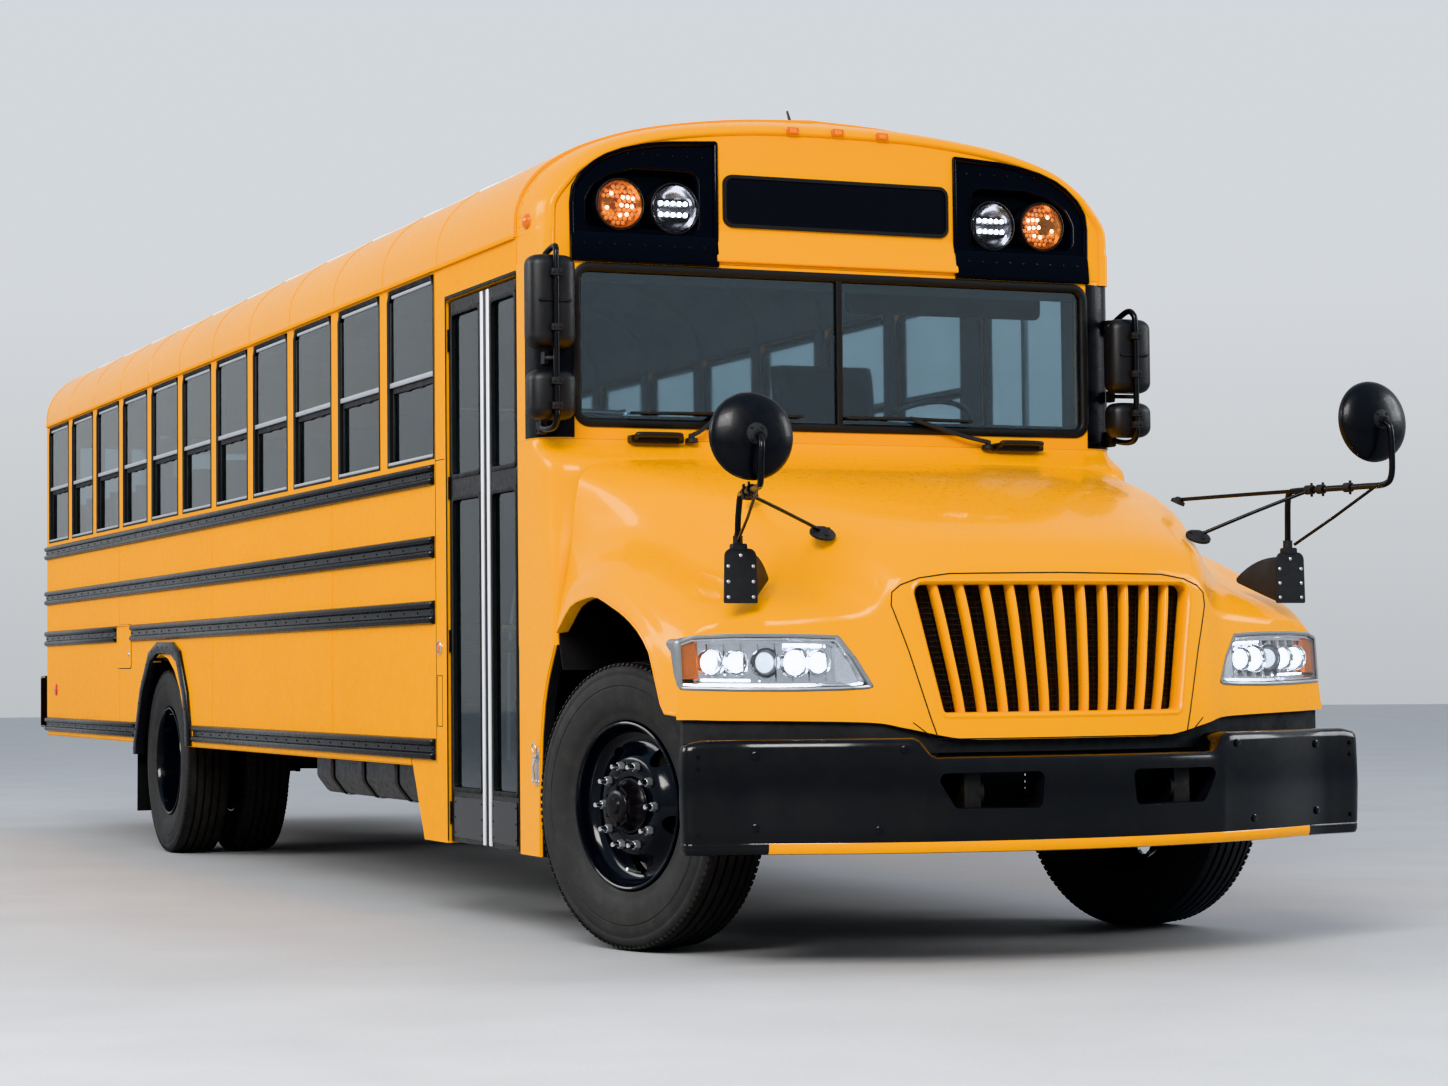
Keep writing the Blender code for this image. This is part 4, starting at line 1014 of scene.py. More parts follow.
for side, tag in ((1, "left"), (-1, "right")):
    def S(shape):
        return flip(shape) if side < 0 else shape
    outline = rpoly(lamp_outline(), 0.010, 3)
    shell = nose_frame(outline, [(-0.003, -0.002), (0.003, -0.006), (0.009, -0.003), (0.010, 0.020),
                                 (0.004, 0.045), (0.000, 0.080), (-0.006, 0.080), (-0.004, 0.02)])
    o = put("headlight_bezel_" + tag, S(shell), "alu", "hood", angle=45)
    put("headlight_back_" + tag, lamp_patch(0.668, 1.215, 0.0, 1.0, 0.088, 0.094, side=side), "plastic_matte", "hood")
    inner = nose_frame(rpoly(lamp_outline(-0.012), 0.008, 3),
                       [(0.0, 0.014), (0.006, 0.016), (0.016, 0.052), (0.010, 0.056), (0.0, 0.03)])
    put("headlight_rim_" + tag, S(inner), "chrome", "hood", angle=45)
    # chrome floor with stepped bowls, round lit cores, projector between them
    refl = [lamp_patch(0.690, 1.165, 0.08, 0.92, 0.058, 0.066, side=side)]
    for k in range(9):
        x = 0.722 + k * 0.050
        refl.append(lamp_patch(x, x + 0.004, 0.10, 0.90, 0.044, 0.062, 2, 4, side=side))
    refl.append(lamp_patch(0.700, 1.160, 0.10, 0.16, 0.028, 0.062, side=side))
    refl.append(lamp_patch(0.740, 1.160, 0.84, 0.90, 0.028, 0.062, side=side))
    lit, bowls = [], []
    for x, r in ((1.118, 0.038), (1.045, 0.034), (0.872, 0.042), (0.802, 0.034)):
        a, b = light_z(x)
        zc = (a + b) / 2
        yc = nose_y(x, zc) + 0.004 * (x > 1)
        bowls.append(turned([(0.024, r + 0.006), (0.026, r + 0.002), (0.048, r * 0.72), (0.052, r * 0.72), (0.050, r + 0.006)],
                            (side * x, yc, zc), 40, "y"))
        lit.append(lathe([(0.040, 0.0), (0.041, r * 0.45), (0.046, r * 0.78), (0.052, r * 0.78), (0.053, 0.0)],
                         (side * x, yc, zc), "y", 36))
    lit.append(lamp_patch(0.790, 0.905, 0.80, 0.83, 0.034, 0.040, side=side))
    lit.append(lamp_patch(1.010, 1.150, 0.17, 0.20, 0.034, 0.040, side=side))
    put("headlight_reflector_" + tag, refl + bowls, "chrome", "hood", angle=45)
    put("headlight_beam_" + tag, lit, "white_lit", "hood", angle=50)
    z0, z1 = light_z(0.960)
    zc = (z0 + z1) / 2
    yc = nose_y(0.960, zc)
    ball = lathe([(0.030, 0.0), (0.0305, 0.014), (0.036, 0.027), (0.046, 0.033), (0.057, 0.033), (0.058, 0.0)],
                 (side * 0.960, yc, zc), "y", 40)
    put("headlight_projector_" + tag, ball, "glow_soft", "hood", angle=50)
    ring = turned([(0.036, 0.036), (0.030, 0.041), (0.032, 0.048), (0.056, 0.046), (0.057, 0.036)],
                  (side * 0.960, yc, zc), 44, "y")
    put("headlight_ring_" + tag, ring, "dark_chrome", "hood", angle=50)
    put("turn_lamp_" + tag, lamp_patch(1.166, 1.212, 0.20, 0.86, 0.024, 0.052, side=side), "amber", "hood")
    # chrome wedge at the inner end of the lamp, in a glowing material: painted glow standing in for its bright
    # reflection
    wedge = lamp_patch(0.682, 0.752, 0.16, 0.84, 0.030, 0.057, side=side)
    put("headlight_wedge_" + tag, wedge, "wedge_glow", "hood")
    put("headlight_cover_" + tag, lamp_patch(0.664, 1.222, 0.035, 0.965, -0.001, 0.003, 40, 8, side=side), "lens", "hood")
    if side > 0:
        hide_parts("headlight_left")
    else:
        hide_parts("headlight_right")

# black valance between the fenders and the bumper
val = []
for x in [lerp(-1.215, 1.215, k / 48) for k in range(49)]:
    y = nose_y(x, 0.8) + 0.020
    val.append([(x, y, 0.700), (x, y, 0.812), (x, y + 0.02, 0.812), (x, y + 0.02, 0.700)])
put("valance", rings(val), "plastic_matte", "hood")


# ----------------------------------------------------------------- bumper
PLAN = [(-0.0, -1.365), (0.260, -1.347), (0.516, -1.296), (0.591, -1.274), (0.800, -1.199), (1.050, -1.078),
        (1.150, -1.045), (1.254, -1.020)]


def bumper_shape():
    half = crom(PLAN, 7)
    corner = [(1.268, -1.015), (1.275, -1.006), (1.278, -0.994), (1.279, -0.975)]
    half = half + corner
    plan = [(-x, y) for x, y in half[::-1]] + half[1:]
    P = [Vector((x, y)) for x, y in plan]
    sections = []
    for i, p in enumerate(P):
        a = P[max(0, i - 1)]
        b = P[min(len(P) - 1, i + 1)]
        t = (b - a).normalized()
        out = Vector((t.y, -t.x))                       # outwards
        ax = abs(p.x)
        top = 0.752 - 0.062 * (1 - ss(0.516, 0.591, ax))
        top -= 0.012 * ss(1.20, 1.296, ax)
        low = 0.384
        pr = [(-0.110, top - 0.004), (-0.060, top), (-0.026, top), (-0.012, top - 0.004), (-0.003, top - 0.014),
              (0.0, top - 0.030), (0.002, 0.640), (0.0035, 0.560), (0.001, 0.470), (-0.001, 0.428),
              (-0.0035, 0.421), (-0.001, 0.414), (-0.002, 0.398), (-0.008, 0.387), (-0.020, low), (-0.080, low),
              (-0.110, low + 0.004), (-0.110, low + 0.010), (-0.022, low + 0.010), (-0.014, 0.40),
              (-0.012, 0.56), (-0.012, top - 0.03), (-0.030, top - 0.010), (-0.110, top - 0.012)]
        sections.append([(p.x + out.x * u, p.y + out.y * u, z) for u, z in pr])
    return rings(sections)


bumper = build("bumper_bar", *bumper_shape(), M["bumper"], "body", angle=34)
TOW = rpoly([(0.165, 0.640), (0.176, 0.523), (0.462, 0.525), (0.530, 0.637)], [0.022] * 4, 5)
cut(bumper, [prism(TOW, "y", -1.5, -1.215), prism([(-x, z) for x, z in TOW], "y", -1.5, -1.215)])
resharp(bumper, 34)
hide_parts("front_bumper")
done(bumper)


def bump_y(x):
    xs = [p[0] for p in PLAN] + [1.279]
    ys = [p[1] for p in PLAN] + [-0.99]
    return float(np.interp(abs(x), xs, ys))


for side in (1, -1):
    t = "left" if side > 0 else "right"
    liner = []
    for d, gr in ((-0.0035, 0.004), (-0.002, 0.0), (0.012, -0.002), (0.040, -0.004), (0.040, 0.004), (0.010, 0.006)):
        cx = sum(p[0] for p in TOW) / len(TOW)
        cz = sum(p[1] for p in TOW) / len(TOW)
        ring = []
        for x, z in fine(TOW, 0.02):
            v = Vector((x - cx, z - cz))
            v = v * (1 + gr / max(v.length, 1e-6))
            ring.append((side * (cx + v.x), bump_y(cx + v.x) + d, cz + v.y))
        liner.append(ring)
    put("tow_lip_" + t, rings(liner, closed=True), "plastic", "body")
    pocket = []
    for d, gr in ((0.030, 0.012), (0.110, 0.012), (0.1125, 0.012), (0.1125, 0.0145), (0.030, 0.0145)):
        ring = []
        for x, z in fine(TOW, 0.03):
            v = Vector((x - cx, z - cz))
            v = v * (1 + gr / max(v.length, 1e-6))
            ring.append((side * (cx + v.x), bump_y(cx + v.x) + d, cz + v.y))
        pocket.append(ring)
    put("tow_pocket_" + t, [rings(pocket[:2] + pocket[3:4] + pocket[4:], closed=True),
                            box(min(side * 0.14, side * 0.56), max(side * 0.14, side * 0.56), -1.175, -1.170, 0.490, 0.672)], "dark_in", "body")
    put("tow_eye_" + t, [move(turned([(-0.012, 0.028), (-0.012, 0.052), (0.012, 0.052), (0.012, 0.028)],
                                     (0, 0, 0), 28, "x"), Matrix.Translation((side * 0.36, -1.235, 0.575))),
                         box(side * 0.36 - 0.012, side * 0.36 + 0.012, -1.20, -1.10, 0.53, 0.62)], "frame", "body")
bolts = []
for x, z in ((0.62, 0.715), (0.70, 0.46), (1.06, 0.70), (1.06, 0.47)):
    for s in (1, -1):
        y = bump_y(x)
        n = Vector((s * 0.42, -1, 0)) if x > 0.9 else Vector((s * 0.32, -1, 0))
        bolts += dots_n([(s * x, y - 0.001, z)], n, 0.013, 0.006, 16)
for s in (1, -1):
    for z in (0.70, 0.66, 0.45):
        bolts += dots_n([(s * 1.235, bump_y(1.235) - 0.001, z)], (s * 0.25, -1, 0), 0.007, 0.005, 12)
put("bumper_bolts", bolts, "black", "body", angle=30)


# ------------------------------------------------------- front cap and sign
def arch_profile(y):
    """Half outline of the brow at this depth: x, z from side to middle."""
    front = [(1.214, 2.600), (1.206, 2.715), (1.150, 2.803), (1.070, 2.884), (0.930, 2.963), (0.690, 3.025),
             (0.350, 3.062), (0.0, 3.070)]
    f = ss(0.50, 0.80, y) ** 0.8
    return [(lerp(a[0], b[0], f), lerp(a[1], b[1], f)) for a, b in zip(front, ROOF)]


def fine_arch(prof, n=6):
    """Smooth closed-up line over the whole width through half outline points."""
    half = crom([(x, z, 0) for x, z in prof], n)
    half = [(p[0], p[1]) for p in half]
    return [(-x, z) for x, z in half[:-1]] + half[::-1]


CAP0 = 2.498
BROW_Y = 0.500


def cap_shape():
    """Stations (depth, offset) for the brow's band, as a list."""
    secs = []
    stations = [(0.545, -0.060), (0.512, -0.048), (0.501, -0.032), (0.4985, -0.018), (0.503, -0.007), (0.515, -0.001),
                (0.560, 0.0), (0.640, 0.0), (0.736, 0.0)]
    return stations


POD = [(0.500, 2.520), (1.082, 2.520), (1.088, 2.535), (1.090, 2.705), (1.082, 2.765), (1.050, 2.815), (1.000, 2.860),
       (0.952, 2.890), (0.880, 2.917), (0.790, 2.938), (0.700, 2.950), (0.500, 2.962)]


def front_face():
    """Rows of the brow round the cap, from the roof side forward and round onto the face."""
    prof = arch_profile(0.5)
    line = fine_arch(prof)
    n = len(line)
    rows = []
    cx, cz = 0.0, 2.70
    # brow, from the back (roof side) forward and round onto the face
    for y, k in ((0.7357, 0.0), (0.66, 0.002), (0.60, 0.007), (0.545, 0.017), (0.522, 0.025), (0.508, 0.033),
                 (0.4995, 0.041), (0.4965, 0.048), (0.4975, 0.055), (0.503, 0.061), (0.510, 0.066)):
        ol = fine_arch(arch_profile(y))
        row = []
        for i, (x, z) in enumerate(ol):
            a = Vector(ol[max(0, i - 1)])
            b = Vector(ol[min(n - 1, i + 1)])
            t = (b - a).normalized()
            nn = Vector((t.y, -t.x))
            if i in (0, n - 1):
                nn = Vector((1, 0)) if i == 0 else Vector((-1, 0))
            row.append((x + nn.x * k, y, z + nn.y * k))
        rows.append(row)
    return rows


def strip(rows, d):
    return thick(rows, d)


def cap_normal_ok(rows):
    return rows


brow_rows = front_face()
cap_parts = []
brow = thick(brow_rows, 0.012)
cap = build("front_cap_brow", *brow, M["yellow"], "body", angle=42)

# face plate behind the brow, with holes for the pods
face_line = []
for i, p in enumerate(brow_rows[-1]):
    face_line.append((p[0] * 0.999, p[2]))
plate_out = face_line + [(face_line[-1][0], CAP0 + 0.004), (face_line[0][0], CAP0 + 0.004)]
plate_rows = prism([(x, z) for x, z in plate_out], "y", 0.508, 0.522)
plate = build("front_cap_face", *plate_rows, M["yellow"], "body", angle=30)
pod_cut = prism(POD, "y", 0.45, 0.60)
cut(plate, [pod_cut, flip(pod_cut)])
resharp(plate, 30)
low = sweep([(0.0, 0.0), (0.012, 0.0), (0.016, 0.006), (0.016, 0.020), (0.010, 0.028), (0.0, 0.030)],
            [(-1.205, 0.512, 2.496), (1.205, 0.512, 2.496)])
put("cap_ledge", [box(-0.500, 0.500, 0.500, 0.520, 2.494, 2.512), box(-0.500, 0.500, 0.510, 0.540, 2.486, 2.500)] +
    [box(min(s * 1.092, s * 1.180), max(s * 1.092, s * 1.180), 0.510, 0.540, 2.486, 2.512) for s in (1, -1)],
    "yellow", "body", bevel=0.003)


def lip_run(x0, x1, prof, n=10):
    return rings([[(lerp(x0, x1, i / n), y, z) for y, z in prof] for i in range(n + 1)])


# lower lip of the cap: yellow under the sign, black under the pods
put("cap_lip", lip_run(-0.508, 0.508, [(0.5095, 2.628), (0.5050, 2.622), (0.4990, 2.590), (0.4900, 2.540), (0.4830, 2.520),
                                       (0.4822, 2.512), (0.4860, 2.507), (0.5095, 2.505)]), "yellow", "body", bevel=0.002)
for s, tag in ((1, "left"), (-1, "right")):
    put("pod_apron_" + tag, lip_run(s * 0.5005, s * 1.0915, [(0.5095, 2.604), (0.5020, 2.600), (0.4955, 2.586), (0.4890, 2.545),
                                                             (0.4850, 2.505), (0.4850, 2.492), (0.4885, 2.487), (0.5390, 2.4865),
                                                             (0.5390, 2.501), (0.5095, 2.503)]), "pod", "body", bevel=0.002)
    cheek = [(1.146, 0.5125), (1.150, 0.5075), (1.156, 0.5020), (1.163, 0.4978), (1.170, 0.4970), (1.177, 0.5000), (1.185, 0.5085),
             (1.192, 0.5225), (1.1985, 0.5450), (1.2085, 0.6000), (1.2150, 0.6600), (1.2180, 0.7350), (1.196, 0.7350),
             (1.190, 0.6600), (1.176, 0.5800), (1.146, 0.5400)]
    put("cap_cheek_" + tag, prism([(s * x, y) for x, y in cheek], "z", 2.486, 2.607), "yellow", "body", angle=50)
done(cap)
done(plate)
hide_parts("front_cap")

# rear closing of the cap behind the pods
inner_line = fine_arch([(x * 0.985, z - 0.012 if z > 2.7 else z) for x, z in arch_profile(0.72)])
put("cap_inside", prism(inner_line, "y", 0.655, 0.665), "inside", "body")

def holed(outer, inner, y0, y1):
    """Plate across the y axis with one hole through it."""
    loops = [[Vector((x, z, 0)) for x, z in outer], [Vector((x, z, 0)) for x, z in inner]]
    tris = [list(t) for t in tessellate_polygon(loops)]
    pts = list(outer) + list(inner)
    n, m = len(pts), len(outer)
    verts = [(x, y0, z) for x, z in pts] + [(x, y1, z) for x, z in pts]
    faces = tris + [[i + n for i in t[::-1]] for t in tris]
    for start, count in ((0, m), (m, n - m)):
        for i in range(count):
            p, q = start + i, start + (i + 1) % count
            faces.append([p, q, q + n, p + n])
    return verts, faces


# pods: gloss black dish with a raised rim, D-shaped pocket and a ledge
for side, tag in ((1, "left"), (-1, "right")):
    def S(shape):
        return flip(shape) if side < 0 else shape
    pod = rpoly(POD, [0.010, 0.012, 0.004, 0.03, 0.04, 0.04, 0.04, 0.04, 0.04, 0.04, 0.04, 0.010], 3)
    cx, cz = 0.79, 2.715

    def grown(g, zz=0.0):
        pts = [Vector((x, z, 0)) for x, z in pod]
        out = []
        m = len(pts)
        for i, p in enumerate(pts):
            a, b = (p - pts[i - 1]), (pts[(i + 1) % m] - p)
            a = a.normalized() if a.length > 1e-9 else b.normalized()
            b = b.normalized() if b.length > 1e-9 else a
            t = (a + b).normalized()
            out.append((p.x + t.y * g, p.y - t.x * g + zz))
        return out
    dish = []
    for g, y in ((0.004, 0.505), (0.003, 0.4985), (-0.003, 0.4955), (-0.010, 0.4975), (-0.016, 0.5035), (-0.018, 0.509)):
        dish.append([(x, y, z) for x, z in grown(g)])
    # black face, then the pocket for the lamps
    pocket = rpoly([(0.575, 2.612), (1.010, 2.612), (1.030, 2.640), (1.030, 2.720), (1.000, 2.775), (0.930, 2.820),
                    (0.830, 2.846), (0.575, 2.846)], [0.03, 0.05, 0.03, 0.06, 0.07, 0.07, 0.07, 0.05], 5)
    put("pod_face_" + tag, S(holed(grown(-0.014), pocket, 0.508, 0.516)), "pod", "body", angle=30)
    put("pod_rim_" + tag, S(rings(dish, caps=False)), "pod", "body", angle=60, fix=False)
    wall = []
    for g, y in ((0.006, 0.5065), (0.0, 0.5045), (-0.006, 0.509), (-0.013, 0.530), (-0.018, 0.572)):
        pts = [Vector(p) for p in pocket]
        m = len(pts)
        ring = []
        for i, p in enumerate(pts):
            a, b = p - pts[i - 1], pts[(i + 1) % m] - p
            a = a.normalized() if a.length > 1e-9 else b.normalized()
            b = b.normalized() if b.length > 1e-9 else a
            t = (a + b).normalized()
            ring.append((p.x + t.y * g, y, p.y - t.x * g))
        wall.append(ring)
    v, f = rings(wall, caps=False)
    k = len(pocket)
    f.append([i + (len(wall) - 1) * k for i in range(k)])
    put("pod_pocket_" + tag, S((v, f)), "pod", "body", angle=45, fix=False)
    rv = [(x, 0.4905, 2.556) for x in np.linspace(0.56, 1.04, 9)] + [(x, 0.5055, 2.900) for x in np.linspace(0.56, 0.86, 6)]
    put("pod_rivets_" + tag, S(join(*dots(rv, (0, -1, 0), 0.0055, 0.003))), "black", "body")
    # lamps: outer amber, inner clear with two rows of diodes
    for name, x, z, amber in (("outer", 0.892, 2.708, True), ("inner", 0.672, 2.702, False)):
        c = (side * x, 0.0, z)
        collar = turned([(0.572, 0.100), (0.515, 0.099), (0.503, 0.097), (0.502, 0.093), (0.508, 0.0900),
                         (0.540, 0.0875), (0.572, 0.0875)], c, 64, "y")
        put("warn_collar_%s_%s" % (name, tag), collar, "plastic", "body", angle=40)
        bowl = turned([(0.506, 0.0885), (0.532, 0.074), (0.548, 0.048), (0.554, 0.0005), (0.560, 0.0005),
                       (0.556, 0.054), (0.540, 0.078), (0.512, 0.0895)], c, 56, "y")
        put("warn_bowl_%s_%s" % (name, tag), bowl, "amber_bowl" if amber else "dark_chrome", "body", angle=40)
        dome = lathe([(0.5015, 0.0), (0.5025, 0.036), (0.5050, 0.066), (0.5085, 0.0885), (0.5105, 0.0885),
                      (0.5075, 0.066), (0.5055, 0.036), (0.5045, 0.0)], c, "y", 56)
        put("warn_lens_%s_%s" % (name, tag), dome, "lens", "body", angle=60)
        cells = []
        lit = []
        for a in range(-4, 5):
            for b in range(-4, 5):
                px, pz = a * 0.0192 + (b % 2) * 0.0096, b * 0.0169
                if math.hypot(px, pz) > 0.074:
                    continue
                depth = 0.536 - 0.012 * (math.hypot(px, pz) / 0.074) ** 2
                cell = lathe([(depth - 0.006, 0.0), (depth - 0.004, 0.0053), (depth, 0.0085), (depth + 0.006, 0.0)],
                             (side * x + px, 0.0, z + pz), "y", 8)
                if amber:
                    if side * px > -0.004 and b in (0, -1, 1) or (a, b) in ((1, 2), (2, 2)):
                        (lit if side * px > 0.008 else cells).append(cell)
                    else:
                        cells.append(cell)
        if amber:
            put("warn_cells_" + tag, cells, "amber_lit", "body", angle=50)
            lit2 = []
            for px, pz in ((0.016, 0.027), (0.036, 0.027), (0.056, 0.024), (0.010, -0.002), (0.032, -0.004), (0.052, -0.006),
                           (-0.030, 0.040), (-0.048, -0.014), (0.004, -0.040), (0.030, -0.036)):
                lit2.append(lathe([(0.512, 0.0), (0.513, 0.0052), (0.516, 0.0074), (0.522, 0.0)],
                                  (side * (x - px), 0.0, z + pz), "y", 10))
            put("warn_diodes_outer_" + tag, lit2, "led", "body")
        else:
            leds = []
            for row in (0.021, -0.021):
                for k in range(5):
                    px = (k - 2) * 0.0245
                    leds.append(lathe([(0.519, 0.0), (0.5195, 0.0060), (0.522, 0.0088), (0.528, 0.0)],
                                      (side * x + px, 0.0, z + row), "y", 12))
            put("warn_diodes_inner_" + tag, leds, "white_lit", "body")
            rows_ = [box(side * x - 0.062, side * x + 0.062, 0.528, 0.534, z + r - 0.012, z + r + 0.012)
                     for r in (0.021, -0.021)]
            put("warn_rows_" + tag, rows_, "dark_chrome", "body", bevel=0.003)

# blank sign with a rubber border
so = rpoly([(-0.477, 2.642), (0.477, 2.642), (0.477, 2.842), (-0.477, 2.842)], 0.038, 8)
si = rpoly([(-0.463, 2.656), (0.463, 2.656), (0.463, 2.828), (-0.463, 2.828)], 0.028, 8)
put("sign_border", rings([[(x, y, z) for x, z in ring] for ring, y in
                          ((so, 0.509), (so, 0.503), ([(x * 0.992, z) for x, z in so], 0.4985), (si, 0.4985), (si, 0.505),
                           (si, 0.509))], closed=True), "rubber", "body", angle=40)
put("sign_board", prism(si, "y", 0.5025, 0.509), "sign", "body")

# centre markers, side markers, aerial
for k, x in enumerate((-0.189, 0.0, 0.189)):
    zc = 3.022 if x else 3.026
    put("marker_base_%d" % k, [rbox(x - 0.026, x + 0.026, 0.489, 0.503, zc - 0.014, zc + 0.014, 0.006, 3, "y")],
        "amber", "body", bevel=0.003)
    put("marker_lens_%d" % k, [rbox(x - 0.014, x + 0.014, 0.484, 0.492, zc - 0.008, zc + 0.008, 0.004, 3, "y")],
        "amber_lit", "body", bevel=0.002)
for side, tag in ((1, "left"), (-1, "right")):
    c = (side * 1.206, 0.635, 2.645)
    dome = turned([(0.0, 0.030), (0.010, 0.029), (0.020, 0.020), (0.0245, 0.0005), (0.0, 0.0005)], (0, 0, 0), 28, "x")
    m4 = Matrix.Translation(c) @ (Matrix.Identity(4) if side > 0 else Matrix.Rotation(math.pi, 4, "Z"))
    put("side_marker_" + tag, move(dome, m4), "amber", "body", angle=40)
put("aerial", [rod((-0.06, 0.80, 3.100), (-0.06, 0.80, 3.118), 0.016, 20),
               pipe([(-0.06, 0.80, 3.115), (-0.066, 0.815, 3.160)], [0.006, 0.004], 10)], "plastic", "body")
low_rivets = [(x, 0.4985, 2.5075) for x in np.linspace(-0.47, 0.47, 19)]
put("cap_rivets", join(*dots([(x, 0.508, 2.535) for x in np.linspace(-0.46, 0.46, 17)], (0, -1, 0), 0.005, 0.003)),
    "yellow", "body")
side_rivets = []
for s in (1, -1):
    for z in np.linspace(2.63, 2.95, 8):
        pr = fine_arch(arch_profile(0.70))
        best = min(pr, key=lambda p: abs(p[1] - z) + (0 if p[0] * s > 0 else 9))
        side_rivets.append(((best[0], 0.705, best[1]), s))
put("cap_side_rivets", join(*[dots([p], (s, 0, 0.4 if p[2] > 2.75 else 0), 0.0055, 0.003)[0] for p, s in side_rivets]),
    "yellow", "body")


# ------------------------------------------------ windscreen, cowl, wipers
WS0, WS1, WSX = 1.895, 2.465, 1.065
CORNER = [(1.062, 0.500), (1.120, 0.506), (1.165, 0.522), (1.195, 0.548), (1.214, 0.585), (1.220, 0.640)]


def screen_plan():
    half = crom([(x, y, 0) for x, y in [(0.0, 0.500), (0.4, 0.500), (0.9, 0.500)] + CORNER], 5)
    half = [(p[0], p[1]) for p in half] + [(1.220, 0.7357)]
    return [(-x, y) for x, y in half[::-1]] + half[1:]


def cowl_plan(f, tight=0.0):
    """Plan of the cowl (f 0 at its foot) blending to the screen's (f 1)."""
    wide = [(0.0, 0.335), (0.5, 0.335), (0.90, 0.337), (1.07, 0.346), (1.150, 0.372), (1.196, 0.412), (1.214, 0.470),
            (1.220, 0.560)]
    square = [(0.0, 0.335), (0.5, 0.335), (0.95, 0.335), (1.150, 0.336), (1.200, 0.340), (1.216, 0.352), (1.220, 0.380),
              (1.220, 0.560)]
    foot = [(lerp(p[0], q[0], tight), lerp(p[1], q[1], tight), 0) for p, q in zip(wide, square)]
    a = crom(foot, 5)
    b = crom([(x, y, 0) for x, y in [(0.0, 0.500), (0.4, 0.500), (0.9, 0.500), (1.062, 0.500), (1.140, 0.510),
                                     (1.190, 0.543), (1.214, 0.585), (1.220, 0.640)]], 5)
    half = [(lerp(p[0], q[0], f), lerp(p[1], q[1], f)) for p, q in zip(a, b)] + [(1.220, 0.7357)]
    return [(-x, y) for x, y in half[::-1]] + half[1:]


rows = []
for z, f, g in ((1.070, 0, 1), (1.20, 0, 1), (1.34, 0, .85), (1.45, 0, .45), (1.56, 0, .12), (1.66, 0.0, 0), (1.700, 0.01, 0),
                (1.726, 0.05, 0), (1.744, 0.14, 0), (1.758, 0.28, 0), (1.773, 0.47, 0), (1.792, 0.72, 0), (1.806, 0.88, 0),
                (1.818, 0.97, 0), (1.8295, 1.0, 0)):
    rows.append([(x, y, z) for x, y in cowl_plan(f, g)])
cowl = build("cowl_shell", *thick(rows, -0.010), M["yellow"], "body", angle=40)
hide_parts("cowl")
done(cowl)
kick = [(0.505, 0.300), (0.505, 0.600), (0.490, 0.740), (0.462, 0.860), (0.420, 0.950), (0.372, 1.020), (0.336, 1.072),
        (0.7357, 1.072), (0.7357, 0.300)]
for side, tag in ((1, "left"), (-1, "right")):
    put("cowl_side_" + tag, prism(kick, "x", side * 1.2125, side * 1.2195), "yellow", "body", bevel=0.002)
    put("cowl_side_inner_" + tag, prism([(y - (0.002 if y < 0.6 else 0.0), z) for y, z in kick], "x", side * 1.1765, side * 1.2120),
        "plastic_matte", "body")
    lipy = [(side * 1.2205, y + 0.006, z) for y, z in kick[:7]]
    put("cowl_side_lip_" + tag, pipe(lipy, 0.0, 4, flat=(0.004, 0.008, (1, 0, 0))), "yellow", "body", bevel=0.001)
    splash = [(0.930, 0.980), (1.195, 0.980), (1.209, 1.070), (1.209, 1.110), (1.195, 1.170), (1.170, 1.290), (1.150, 1.420),
              (1.135, 1.540), (0.930, 1.600)]
    put("splash_panel_" + tag, prism([(side * x, z) for x, z in splash], "y", 0.3238, 0.3305), "plastic_matte", "body")
# black splash panel and firewall behind the engine
put("firewall", [box(-0.94, 0.94, 0.327, 0.3335, 0.960, 1.60)], "plastic_matte", "body")


def screen_rows(zs, push=0.0):
    out = []
    for z, f in zs:
        out.append([(x, y + f, z) for x, y in screen_plan()])
    return out


# black covers round the corner posts beside the windscreen
for side, tag in ((1, "left"), (-1, "right")):
    line = [(x, y) for x, y in screen_plan() if x * side > 1.070 and y < 0.66]
    if side < 0:
        line = line[::-1]
    secs = []
    for z in (1.836, 1.95, 2.10, 2.25, 2.40, 2.486):
        outer, inner = [], []
        for i, p in enumerate(line):
            a, b = line[max(0, i - 1)], line[min(len(line) - 1, i + 1)]
            n = Vector((b[1] - a[1], -(b[0] - a[0])))
            n.normalize()
            if n.dot(Vector((p[0], p[1] - 1.2))) < 0:
                n = -n
            outer.append((p[0] + n.x * 0.0026, p[1] + n.y * 0.0026, z))
            inner.append((p[0] - n.x * 0.0010, p[1] - n.y * 0.0010, z))
        secs.append(outer + inner[::-1])
    put("post_cover_" + tag, rings(secs), "black_satin", "body", angle=50)


# frame round the windscreen: bottom and top bands with rubber, two posts
def ring_of(x0, x1, z0, z1, r, step=0.03):
    return fine(rpoly([(x0, z0), (x1, z0), (x1, z1), (x0, z1)], r, 6), step)


fr_rows = [[(x, y, z) for x, y in screen_plan()] for z in np.linspace(1.8303, 2.4985, 10)]
frame_ob = build("windscreen_surround", *thick(fr_rows, -0.014), M["yellow"], "body", angle=40)
hole = prism(rpoly([(-WSX + 0.004, WS0 + 0.004), (WSX - 0.004, WS0 + 0.004), (WSX - 0.004, WS1 - 0.004),
                    (-WSX + 0.004, WS1 - 0.004)], 0.040, 6), "y", 0.40, 0.62)
cut(frame_ob, [hole], "MANIFOLD")
resharp(frame_ob, 40)
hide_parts("windscreen_frame")
done(frame_ob)

